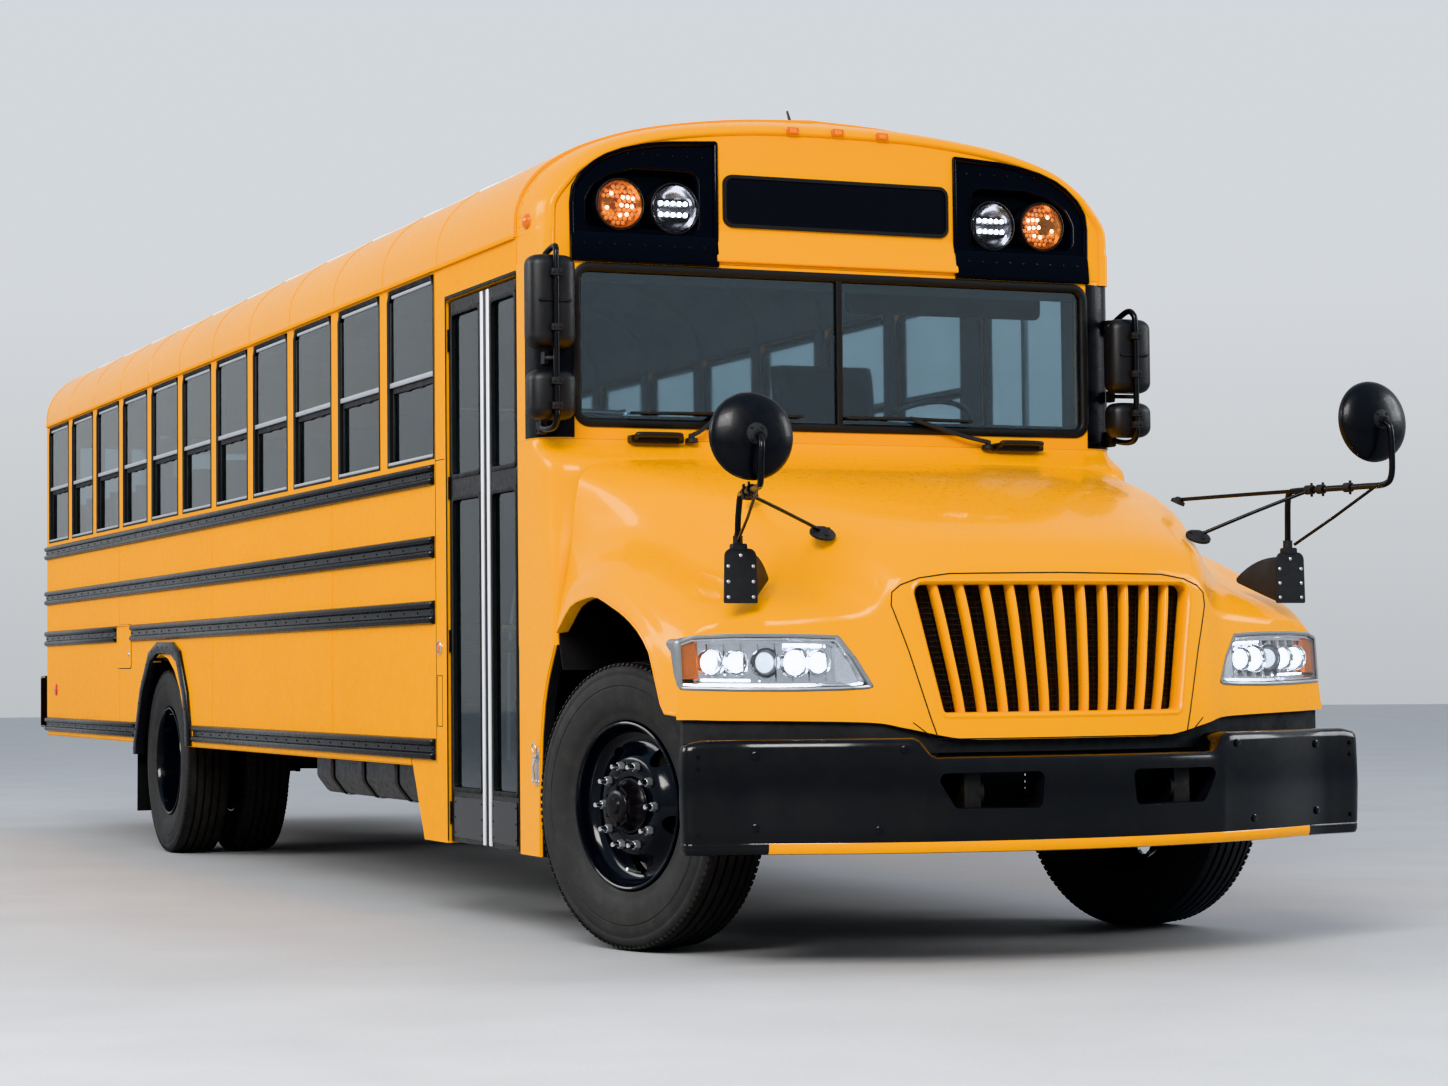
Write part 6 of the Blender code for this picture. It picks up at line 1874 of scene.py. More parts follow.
# ------------------------------------------------ rear arch, flaps, panels
F_OUT = [(7.345, 0.530), (7.335, 0.600), (7.170, 0.905), (6.945, 1.110), (6.760, 1.158), (6.380, 1.155), (6.215, 1.105),
         (6.045, 0.890), (5.985, 0.720), (5.975, 0.600)]
F_IN = [(7.262, 0.530), (7.255, 0.600), (7.095, 0.880), (6.905, 1.052), (6.745, 1.093), (6.420, 1.090), (6.270, 1.045),
        (6.125, 0.860), (6.075, 0.710), (6.062, 0.600)]
for side, tag in ((1, "left"), (-1, "right")):
    def carry(xo):
        return [(xo, y, z) for y, z in F_OUT]
    secs = []
    for (yo, zo), (yi, zi) in zip(F_OUT, F_IN):
        q = [(0.0, 1.2195), (0.0, 1.2330), (0.10, 1.2400), (0.30, 1.2440), (0.75, 1.2440), (0.94, 1.2390), (1.0, 1.2300),
             (1.0, 1.1700), (0.94, 1.1700), (0.93, 1.2195)]
        secs.append([(x, lerp(yo, yi, k), lerp(zo, zi, k)) for k, x in q])
    put("arch_flare_" + tag, X(side, rings(secs)), "rail", "body", angle=34)
    fl = []
    for j in range(len(F_OUT) - 1):
        a, b = F_OUT[j], F_OUT[j + 1]
        n = max(1, int(math.dist(a, b) / 0.12))
        for k in range(n):
            t = (k + 0.5) / n
            i1, i2 = F_IN[j], F_IN[j + 1]
            yo, zo = lerp(a[0], b[0], t), lerp(a[1], b[1], t)
            yi, zi = lerp(i1[0], i2[0], t), lerp(i1[1], i2[1], t)
            fl.append((side * 1.2435, lerp(yo, yi, 0.42), lerp(zo, zi, 0.42)))
    put("flare_rivets_" + tag, join(*dots(fl, (side, 0, 0), 0.0065, 0.003, 8)), "rail", "body")
    # wheel box seen through the arch
    wb = prism([(y, z) for y, z in [(7.29, 0.62), (7.28, 0.80), (7.10, 1.03), (6.95, 1.085), (6.45, 1.085), (6.28, 1.03),
                                    (6.11, 0.80), (6.10, 0.62), (6.085, 0.62), (6.095, 0.81), (6.27, 1.045), (6.44, 1.097),
                                    (6.96, 1.097), (7.11, 1.042), (7.295, 0.81), (7.305, 0.62)]], "x", 0.50, 1.174)
    put("wheel_box_" + tag, X(side, wb), "frame", "body", angle=30)
    # mud flap with its bracket and bolts
    flap = rings([[(x, 7.372 + 0.030 * (0.60 - z) + 0.004 * math.sin(x * 20), z) for x in np.linspace(0.62, 1.205, 14)]
                  + [(x, 7.380 + 0.030 * (0.60 - z) + 0.004 * math.sin(x * 20), z) for x in np.linspace(1.205, 0.62, 14)]
                  for z in np.linspace(0.205, 0.600, 9)])
    put("mud_flap_" + tag, X(side, flap), "rubber", "body", angle=40)
    put("mud_flap_bar_" + tag, X(side, box(0.60, 1.21, 7.360, 7.369, 0.550, 0.606)) +
        [dots_n([(side * x, 7.360, 0.578)], (0, -1, 0), 0.010, 0.007, 6)[0] for x in (0.68, 0.86, 1.04, 1.16)],
        "frame", "body", bevel=0.0015, seg=1)
    # skirt's lower fold
    sk = []
    for a, b in ((2.09 if side < 0 else 0.76, 6.07), (7.32, 9.99)):
        sk.append(box(1.172, 1.2200, a, b, 0.5955, 0.6035))
    put("skirt_fold_" + tag, X(side, *sk), "yellow_side", "body", bevel=0.002, seg=1)

# fuel door on the right
fd = prism(rpoly([(FUEL_Y[0], FUEL_Z[0]), (FUEL_Y[1], FUEL_Z[0]), (FUEL_Y[1], FUEL_Z[1]), (FUEL_Y[0], FUEL_Z[1])], 0.020, 4),
           "x", -1.2245, -1.2190)
put("fuel_door", [fd, rod((-1.2265, FUEL_Y[0] + 0.03, FUEL_Z[1] - 0.002), (-1.2265, FUEL_Y[1] - 0.03, FUEL_Z[1] - 0.002), 0.0045, 10)],
    "yellow_side", "body", bevel=0.0012, seg=1)
put("fuel_door_gap", prism(rpoly([(FUEL_Y[0] - 0.005, FUEL_Z[0] - 0.005), (FUEL_Y[1] + 0.005, FUEL_Z[0] - 0.005),
                                  (FUEL_Y[1] + 0.005, FUEL_Z[1] + 0.005), (FUEL_Y[0] - 0.005, FUEL_Z[1] + 0.005)], 0.022, 4),
                           "x", -1.2212, -1.2185), "rubber", "body")
put("fuel_door_latch", [move(lathe([(0.0, 0.0), (0.0, 0.016), (0.004, 0.015), (0.005, 0.0)], (0, 0, 0), "x", 24),
                             Matrix.Translation((-1.2245, FUEL_Y[0] + 0.045, 1.10)) @ Matrix.Rotation(math.pi, 4, "Z")),
                        box(-1.2310, -1.2285, FUEL_Y[0] + 0.032, FUEL_Y[0] + 0.058, 1.0975, 1.1025)], "steel", "body")


# --------------------------------- post behind the door, lamp and small doors
def seam_box(x, y0, y1, z0, z1, w=0.003):
    """Thin dark line round a rectangle on a side wall; x is signed."""
    a, b = sorted((x, x + math.copysign(0.0012, x)))
    return [box(a, b, y0, y0 + w, z0, z1), box(a, b, y1 - w, y1, z0, z1), box(a, b, y0, y1, z0, z0 + w),
            box(a, b, y0, y1, z1 - w, z1)]


lines_ = []
lines_ += [box(-1.2212, -1.2195, 1.738, 1.7415, 0.610, 2.585)]
lines_ += seam_box(-1.2200, 1.660, 1.728, 0.760, 0.965)
lines_ += [box(-1.2212, -1.2195, 2.078, 2.081, 0.60, 0.623)]
lines_ += [box(-1.2212, -1.2195, 1.620, 1.738, 1.827, 1.830)]
lines_ += [box(1.2195, 1.2212, 0.786, 0.789, 0.61, 1.80)]
put("side_seams", lines_, "rubber", "body", smooth=False)
for s, tag, y in ((-1, "right", 1.690), (1, "left", 0.765)):
    m4 = Matrix.Translation((s * 1.2195, y, 1.075)) @ (Matrix.Identity(4) if s > 0 else Matrix.Rotation(math.pi, 4, "Z"))
    put("side_lamp_base_" + tag, move(turned([(0.0, 0.0295), (0.006, 0.0290), (0.0085, 0.0260), (0.008, 0.0225), (0.0, 0.0225)],
                                             (0, 0, 0), 32, "x"), m4), "chrome", "body", angle=40)
    put("side_lamp_" + tag, move(lathe([(0.0, 0.0), (0.0, 0.023), (0.006, 0.0215), (0.0095, 0.014), (0.0105, 0.0)], (0, 0, 0),
                                       "x", 28), m4), "amber", "body", angle=60)
    # the red lens material glows, so the rear reflector carries a painted glow though it is no lamp
    m5 = Matrix.Translation((s * 1.2195, 9.72, 0.89)) @ (Matrix.Identity(4) if s > 0 else Matrix.Rotation(math.pi, 4, "Z"))
    put("rear_reflector_" + tag, move(lathe([(0.0, 0.0), (0.0, 0.038), (0.006, 0.037), (0.008, 0.030), (0.0085, 0.0)],
                                            (0, 0, 0), "x", 32), m5), "red_lens", "body", angle=50)
vents_ = []
for k in range(2):
    for j in range(6):
        z = 0.80 + j * 0.022
        y = 8.35 + k * 0.0
        vents_.append(rings([[(1.2195, yy, z - 0.006), (1.2195 + d, yy, z - 0.006), (1.2200, yy, z + 0.007)] for yy, d in
                             ((y, 0.001), (y + 0.01, 0.008), (y + 0.25, 0.008), (y + 0.26, 0.001))]))
put("side_vents", vents_[:6], "yellow_side", "body", angle=30)
batt = seam_box(1.2200, 2.30, 3.02, 0.735, 1.150)
batt += seam_box(1.2200, 3.55, 4.25, 0.735, 1.150)
put("locker_seams", batt, "rubber", "body", smooth=False)
knob = []
for y in (2.36, 2.96, 3.61, 4.19):
    knob.append(move(lathe([(0.0, 0.0), (0.0, 0.020), (0.004, 0.019), (0.0055, 0.0)], (0, 0, 0), "x", 20),
                     Matrix.Translation((1.2200, y, 1.09))))
put("locker_latches", knob, "steel", "body", angle=40)


# ------------------------------------------------------------ service door
def leaf(tag, node, body, y0, y1, hinge_at_low):
    z0, z1 = 0.3065, 2.4550
    xo, xi = -1.2080, -1.1740                     # outer and inner faces
    wa, wb = (0.040, 0.062) if hinge_at_low else (0.062, 0.040)
    g0, g1 = y0 + wa, y1 - wb
    stiles = [box(xo, xi, y0, g0, z0, z1), box(xo, xi, g1, y1, z0, z1),
              box(xo, xi, g0 - 0.002, g1 + 0.002, z1 - 0.050, z1), box(xo, xi, g0 - 0.002, g1 + 0.002, 1.668, 1.748),
              box(xo, xi, g0 - 0.002, g1 + 0.002, z0, z0 + 0.205)]
    fr = put("door_frame_" + tag, stiles, "black_satin", body, bevel=0.004, seg=2, angle=45)
    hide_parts(node)
    kick = [rbox(xo - 0.0035, xo + 0.001, y0 + 0.050, y1 - 0.050, z0 + 0.020, z0 + 0.180, 0.010, 3, "x")]
    kick += dots([(xo - 0.0035, y, z) for y in (y0 + 0.065, y1 - 0.065) for z in (z0 + 0.040, z0 + 0.100, z0 + 0.160)],
                 (-1, 0, 0), 0.0050, 0.0025)
    put("door_kick_" + tag, kick, "black", body, bevel=0.001, seg=1)
    beads, panes = [], []
    for a, b in ((z0 + 0.205, 1.668), (1.748, z1 - 0.050)):
        o = rpoly([(g0, a), (g1, a), (g1, b), (g0, b)], 0.022, 4)
        i_ = rpoly([(g0 + 0.012, a + 0.012), (g1 - 0.012, a + 0.012), (g1 - 0.012, b - 0.012), (g0 + 0.012, b - 0.012)], 0.018, 4)
        o2 = rpoly([(g0 - 0.006, a - 0.006), (g1 + 0.006, a - 0.006), (g1 + 0.006, b + 0.006), (g0 - 0.006, b + 0.006)], 0.024, 4)
        beads.append(rings([[(x, p[0], p[1]) for p in pts] for pts, x in
                            ((o2, xo + 0.002), (o2, xo - 0.003), (o, xo - 0.0055), (i_, xo - 0.003), (i_, xi + 0.002), (o2, xi + 0.002))],
                           closed=True))
        panes.append(box(xo + 0.012, xo + 0.016, g0 + 0.005, g1 - 0.005, a + 0.004, b - 0.004))
    put("door_bead_" + tag, beads, "rubber", body, angle=40)
    put("door_glass_" + tag, panes, "glass", body, smooth=False)
    # leading edge: bright strip and rubber
    ye = y1 if hinge_at_low else y0
    s = 1 if hinge_at_low else -1
    st = box(xo - 0.0055, xo + 0.004, min(ye - s * 0.018, ye - s * 0.044), max(ye - s * 0.018, ye - s * 0.044), z0 + 0.004, z1 - 0.006)
    put("door_strip_" + tag, [st], "strip_light", body, bevel=0.002)
    nb = pipe([(xo + 0.006, ye + s * 0.0005, z0 + 0.006), (xo + 0.006, ye + s * 0.0005, z1 - 0.006)], 0.0062, 10)
    put("door_nose_" + tag, nb, "rubber", body)
    yh = y0 if hinge_at_low else y1
    hs = []
    pin = 0.7440 if hinge_at_low else 1.5970
    for z in (0.42, 1.10, 1.71, 2.30):
        hs.append(rod((-1.208, pin, z - 0.045), (-1.208, pin, z + 0.045), 0.0052, 14))
    put("door_hinges_" + tag, hs, "black_satin", body)


M["strip_light"] = plain("door_strip", (0.72, 0.73, 0.75), 0.35, grain=700, strength=0.1, vary=0.08, metallic=0.2)
M["rail_yellow"] = paint("handrail_yellow", (0.62, 0.52, 0.02), rough=0.35, coat=0.3, dirt_amount=0.1)
leaf("front", "service_door_front", "service_door_front", 0.7445, 1.1345, True)
leaf("rear", "service_door_rear", "service_door_rear", 1.1435, 1.5965, False)

put("step_handrail", [pipe(crom([(-1.100, 0.925, 0.335), (-1.100, 0.925, 0.70), (-1.100, 0.925, 1.06), (-1.100, 0.945, 1.115),
                                 (-1.100, 1.000, 1.140), (-1.100, 1.180, 1.145), (-1.100, 1.365, 1.140), (-1.100, 1.415, 1.115),
                                 (-1.100, 1.435, 1.06), (-1.100, 1.435, 0.70), (-1.100, 1.435, 0.335)], 6), 0.0140, 12)],
    "rail_yellow", "body", angle=60)

# door surround: header with rivets, and rubber trim along the header and posts
sur = [box(-1.2190, -1.1760, 0.737, 1.604, 2.464, 2.592)]
put("door_header", sur, "yellow_side", "body", bevel=0.002)
put("door_header_trim", [box(-1.2230, -1.2170, 0.742, 1.600, 2.462, 2.476), box(-1.2215, -1.2170, 0.738, 0.7425, 0.31, 2.47),
                         box(-1.2215, -1.2170, 1.5985, 1.603, 0.31, 2.47)], "rubber", "body", bevel=0.001, seg=1)
riv = [(-1.2190, y, z) for y in np.linspace(0.80, 1.54, 8) for z in (2.52, 2.57)]
put("door_header_rivets", join(*dots(riv, (-1, 0, 0), 0.0045, 0.0025)), "yellow_side", "body")


# ------------------------------------------------------------------- roof
def roof_rows():
    ys = [0.7365]
    y = 1.16
    seams = [1.692 + WIN_PITCH * k for k in range(12)]
    marks = []
    for s in seams:
        marks += [(s - 0.016, 0.0), (s - 0.0135, 0.0022), (s + 0.0135, 0.0022), (s + 0.016, 0.0)]
    for v in np.linspace(0.7365, 9.84, 26):
        if all(abs(v - s) > 0.05 for s in seams):
            marks.append((float(v), 0.0))
    marks += [(9.90, 0.0), (9.95, -0.001), (9.985, -0.004), (10.015, -0.011), (10.038, -0.022), (10.052, -0.036), (10.060, -0.052),
              (10.0625, -0.068)]
    marks.sort()
    rows = []
    base = fine_arch(ROOF)
    n = len(base)
    nrm = []
    for i in range(n):
        a, b = Vector(base[max(0, i - 1)]), Vector(base[min(n - 1, i + 1)])
        t = (b - a).normalized()
        v = Vector((-t.y, t.x))
        nrm.append(v if v.dot(Vector(base[i]) - Vector((0, 2.5))) > 0 else -v)
    nrm[0], nrm[-1] = Vector((-1, 0)), Vector((1, 0))
    for y, k in marks:
        rows.append([(p[0] + q.x * k, y, p[1] + q.y * k) for p, q in zip(base, nrm)])
    return rows


RR_ = roof_rows()
roof = build("roof_skin", *thick(RR_, 0.010), M["roof"], "body", angle=24)
bm_check = sum((v.co.z for v in roof.data.vertices)) / len(roof.data.vertices)
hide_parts("roof")
done(roof)
inn = [(1.172, 2.600), (1.165, 2.700), (1.125, 2.780), (1.050, 2.850), (0.915, 2.920), (0.680, 2.990), (0.350, 3.040), (0.0, 3.060)]
ceil_rows = [[(x, y, z) for x, z in fine_arch(inn)] for y in np.linspace(0.70, 9.99, 12)]
put("ceiling_panels", thick(ceil_rows, 0.006), "ceiling", "body")
ribs_ = []
for k in range(13):
    y = 1.692 + WIN_PITCH * (k - 1)
    if y < 0.75:
        continue
    ribs_.append(rings([[(x * s, y + dy, 2.60 + (z - 2.60) * s) for x, z in fine_arch(inn, 3)] +
                        [(x * s * 0.992, y + dy, 2.60 + (z - 2.60) * s * 0.985) for x, z in fine_arch(inn, 3)[::-1]]
                        for dy, s in ((-0.03, 0.999), (0.03, 0.999))]))
put("ceiling_ribs", ribs_, "ceiling", "body")
# roof rivets by each seam, only on the curved sides
rr = []
for k in range(12):
    y = 1.692 + WIN_PITCH * k
    pr = fine_arch(ROOF)
    for s in range(2, 34, 4):
        for e in (s, len(pr) - 1 - s):
            p, q = Vector(pr[e - 1]), Vector(pr[e + 1])
            t = (q - p).normalized()
            v = Vector((-t.y, t.x))
            v = v if v.dot(Vector(pr[e]) - Vector((0, 2.5))) > 0 else -v
            for dy in (-0.007, 0.007):
                rr += dots([(pr[e][0] + v.x * 0.0022, y + dy, pr[e][1] + v.y * 0.0022)], (v.x, 0, v.y), 0.0040, 0.002, 6)
put("roof_rivets", join(*rr), "roof", "body")

for tag, yc in (("front", 3.1), ("rear", 7.6)):
    h = 0.330
    def sq(k, z):
        return [(x, y, z) for x, y in rpoly([(-k, yc - k), (k, yc - k), (k, yc + k), (-k, yc + k)], 0.045, 5)]
    lid = rings([sq(h, 3.1125), sq(h, 3.132), sq(h - 0.004, 3.139), sq(h - 0.016, 3.1425), sq(h - 0.050, 3.1445),
                 sq(h - 0.062, 3.1490), sq(h - 0.075, 3.1575), sq(h - 0.095, 3.1610), sq(0.12, 3.1620), sq(0.05, 3.1620)])
    o = put("hatch_lid_" + tag, lid, "white", "roof_hatch_" + tag, angle=35)
    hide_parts("roof_hatch_" + tag)
    put("hatch_handle_" + tag, [pipe(crom([(-0.05, yc + 0.24, 3.1605), (-0.045, yc + 0.24, 3.1622), (0.045, yc + 0.24, 3.1622),
                                           (0.05, yc + 0.24, 3.1605)], 5), 0.004, 8)], "plastic", "roof_hatch_" + tag)
    base = rings([sq(h - 0.004, 3.070), sq(h - 0.004, 3.1085), sq(h - 0.022, 3.1105), sq(h - 0.032, 3.1105), sq(h - 0.032, 3.070)], closed=True)
    put("hatch_base_" + tag, base, "rubber", "body", angle=35)
    liner = rings([sq(h - 0.034, 3.1100), sq(h - 0.034, 3.020), sq(h - 0.040, 3.020), sq(h - 0.040, 3.1100)], closed=True)
    put("hatch_liner_" + tag, liner, "inside", "body", angle=35)
    cut(roof, [box(-0.294, 0.294, yc - 0.294, yc + 0.294, 3.0, 3.2)], "MANIFOLD")
    ce = bpy.data.objects["ceiling_panels"]
    cut(ce, [box(-0.296, 0.296, yc - 0.296, yc + 0.296, 2.9, 3.2)], "MANIFOLD")
    cut(bpy.data.objects["ceiling_ribs"], [box(-0.296, 0.296, yc - 0.296, yc + 0.296, 2.9, 3.2)], "MANIFOLD")
resharp(roof, 24)
resharp(bpy.data.objects["ceiling_panels"], 40)


# -------------------------------------------------------------------- rear
Y_T = 10.060
rd_b = "rear_door"
lo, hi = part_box("rear_door")
dx0, dx1, dz0, dz1 = lo.x, hi.x, lo.z, hi.z
frame_d = prism(rpoly([(dx0, dz0), (dx1, dz0), (dx1, dz1), (dx0, dz1)], 0.050, 5), "y", 10.0205, 10.066)
rd = build("rear_door_panel", *frame_d, M["yellow_side"], rd_b, angle=30, bevel=0.004)
cut(rd, [prism(rpoly([(-0.380, a), (0.380, a), (0.380, b), (-0.380, b)], 0.045, 5), "y", 9.9, 10.2) for a, b in
         ((1.840, 2.460), (1.270, 1.700))])
resharp(rd, 30)
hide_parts("rear_door")
done(rd)


def gasket(x0, x1, z0, z1, y, r=0.045, w=0.018, out=0.008):
    secs = []
    for g, d in ((w, 0.0), (w, out * 0.6), (w * 0.6, out), (0.0, out), (-w * 0.4, out * 0.5), (-w * 0.5, -0.004), (-w * 0.5, -0.030), (w * 0.3, -0.030)):
        secs.append([(x, y + d, z) for x, z in rpoly([(x0 - g, z0 - g), (x1 + g, z0 - g), (x1 + g, z1 + g), (x0 - g, z1 + g)], max(0.006, r + g), 6)])
    return rings(secs, closed=True)


put("rear_door_gaskets", [gasket(-0.380, 0.380, 1.840, 2.460, 10.066), gasket(-0.380, 0.380, 1.270, 1.700, 10.066)], "rubber", rd_b, angle=45)
put("rear_door_glass", [box(-0.376, 0.376, 10.040, 10.045, 1.844, 2.456), box(-0.376, 0.376, 10.040, 10.045, 1.274, 1.696)],
    "glass", rd_b, smooth=False)
put("rear_door_seal", rings([[(x, y, z) for x, z in rpoly([(dx0 - g, dz0 - g), (dx1 + g, dz0 - g), (dx1 + g, dz1 + g), (dx0 - g, dz1 + g)], 0.05 + g, 5)]
                             for g, y in ((0.001, 10.0605), (0.001, 10.0625), (0.009, 10.0625), (0.009, 10.0605))], closed=True), "rubber", "body", angle=40)
hd = crom([(0.36, 10.066, 1.775), (0.36, 10.098, 1.780), (0.35, 10.100, 1.782), (0.24, 10.100, 1.782), (0.23, 10.098, 1.780), (0.23, 10.066, 1.775)], 5)
put("rear_door_handle", [pipe(hd, 0.009, 10), rbox(0.205, 0.385, 10.064, 10.071, 1.752, 1.806, 0.012, 3, "y")], "chrome", rd_b, bevel=0.001)
hin = []
for z in (1.24, 1.77, 2.40):
    hin.append(rod((-0.462, 10.068, z - 0.055), (-0.462, 10.068, z + 0.055), 0.0050, 16))
    hin.append(box(-0.4585, -0.395, 10.0660, 10.0700, z - 0.045, z + 0.045))
put("rear_door_hinges", hin, "black_satin", rd_b, bevel=0.0015, seg=1)
hinb = [box(-0.530, -0.469, 10.0605, 10.0650, z - 0.045, z + 0.045) for z in (1.24, 1.77, 2.40)]
put("rear_hinge_leaves", hinb, "black_satin", "body", bevel=0.0015, seg=1)
gs, pn = [], []
for s in (1, -1):
    x0, x1 = sorted((s * 0.56, s * 1.08))
    gs.append(gasket(x0, x1, 1.780, 2.480, 10.0605))
    pn.append(box(x0 + 0.003, x1 - 0.003, 10.034, 10.039, 1.783, 2.477))
put("rear_window_gaskets", gs, "rubber", "body", angle=45)
put("rear_window_glass", pn, "glass", "body", smooth=False)
# rub rails across the back
bk = []
for z0, z1 in ((1.171, 1.267), (0.711 - 0.088, 0.711)):
    for x0, x1 in ((-1.205, -0.535), (0.535, 1.205)):
        if z0 < 1:
            continue
        sec = rail_section(z0, z1)
        bk.append(rings([[(x, 10.0595 + u * k, z0 + v) for u, v in sec] for x, k in ((x0, 0.3), (x0 + 0.02, 1), (x1 - 0.02, 1), (x1, 0.3))]))
put("rub_rails_back", bk, "rail", "body", angle=32)
# lamps: four above, tail and turn lamps below, reversing lamps, markers
def back_lamp(name, x, z, r, mat, y=10.0605):
    put(name + "_ring", turned([(0.0, r + 0.012), (0.008, r + 0.011), (0.012, r + 0.004), (0.008, r - 0.002), (0.0, r - 0.002)],
                               (x, y, z), 44, "y"), "rubber", "body", angle=40)
    put(name, lathe([(0.0, 0.0), (0.0, r), (0.009, r * 0.96), (0.013, r * 0.80), (0.0155, r * 0.4), (0.016, 0.0)], (x, y, z), "y", 44),
        mat, "body", angle=50)


for s, tag in ((1, "left"), (-1, "right")):
    back_lamp("back_warn_outer_" + tag, s * 0.905, 2.735, 0.076, "red_lens")
    back_lamp("back_warn_inner_" + tag, s * 0.680, 2.755, 0.076, "amber")
    back_lamp("stop_lamp_" + tag, s * 0.955, 1.48, 0.088, "red_lens")
    back_lamp("turn_lamp_back_" + tag, s * 0.735, 1.48, 0.088, "amber")
    back_lamp("tail_lamp_" + tag, s * 0.955, 1.08, 0.050, "red_lens")
    back_lamp("reverse_lamp_" + tag, s * 0.795, 1.08, 0.050, "lens_white")
    back_lamp("back_marker_" + tag, s * 1.02, 2.585, 0.022, "red_lens")
for k, x in enumerate((-0.19, 0.0, 0.19)):
    put("back_marker_mid_%d" % k, [rbox(x - 0.026, x + 0.026, 10.058, 10.072, 2.960, 2.986, 0.006, 3, "y")], "red_lens", "body", bevel=0.003)
put("back_plate", [rbox(-0.155, 0.155, 10.0615, 10.0650, 0.992, 1.108, 0.010, 3, "y")], "trim_white", "body", bevel=0.001, seg=1)
put("back_plate_lamp", [rbox(-0.05, 0.05, 10.060, 10.082, 1.116, 1.136, 0.008, 3, "y")], "plastic", "body", bevel=0.002)
rbm = [(10.073, 0.645), (10.240, 0.645), (10.253, 0.658), (10.255, 0.675), (10.255, 0.790), (10.2510, 0.800), (10.2510, 0.825),
       (10.255, 0.835), (10.255, 0.945), (10.253, 0.962), (10.240, 0.978), (10.073, 0.980), (10.073, 0.966), (10.236, 0.964),
       (10.241, 0.950), (10.241, 0.670), (10.236, 0.659), (10.073, 0.659)]
rb_ = rings([[(x, 10.073 + (y - 10.073) * k, z) for y, z in rbm] for x, k in
             ((-1.225, 0.86), (-1.2235, 0.93), (-1.216, 0.985), (-1.195, 1), (1.195, 1), (1.216, 0.985), (1.2235, 0.93), (1.225, 0.86))])
o = put("rear_bumper_bar", rb_, "black", "body", angle=34)
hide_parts("rear_bumper")
put("rear_bumper_bolts", [q for x in (-1.10, -0.60, -0.39, 0.39, 0.60, 1.10) for q in dots_n([(x, 10.2545, 0.86), (x, 10.2545, 0.74)], (0, 1, 0), 0.011, 0.0045, 16)],
    "black", "body", angle=30)
put("rear_bumper_steps", [box(x - 0.16, x + 0.16, 10.09, 10.235, 0.9800, 0.9835) for x in (-0.55, 0.55)], "plastic_matte", "body", bevel=0.001, seg=1)
bl = [(x, 10.0605, z) for x in np.linspace(-1.14, 1.14, 25) for z in (0.70, 1.30) if abs(x) > 0.50 or z < 1]
put("back_rivets", join(*dots(bl, (0, 1, 0), 0.0045, 0.0025)), "yellow_side", "body")


# ------------------------------------------------------------ side mirrors
def mirror_head(cx, cy, z0, z1, w):
    r = 0.040
    lv = []
    for k in range(7):
        a = math.pi / 2 * k / 6
        lv.append((r - r * math.cos(a), r - r * math.sin(a)))      # height above the end, inset
    zs = [(z0 + h, d) for h, d in lv] + [(z1 - h, d) for h, d in lv[::-1]]
    secs = []
    for z, d in zs:
        ww, f = w - d, 0.072 - d * 0.9
        row = []
        for j in range(25):
            t = math.pi * j / 24
            c, s = math.cos(t), math.sin(t)
            row.append((cx + ww * math.copysign(abs(c) ** 0.62, c), cy + 0.018 - f * abs(s) ** 0.55, z))
        row += [(cx - ww + 0.001, cy + 0.026, z), (cx - ww + 0.008, cy + 0.030, z), (cx + ww - 0.008, cy + 0.030, z), (cx + ww - 0.001, cy + 0.026, z)]
        secs.append(row)
    return rings(secs)


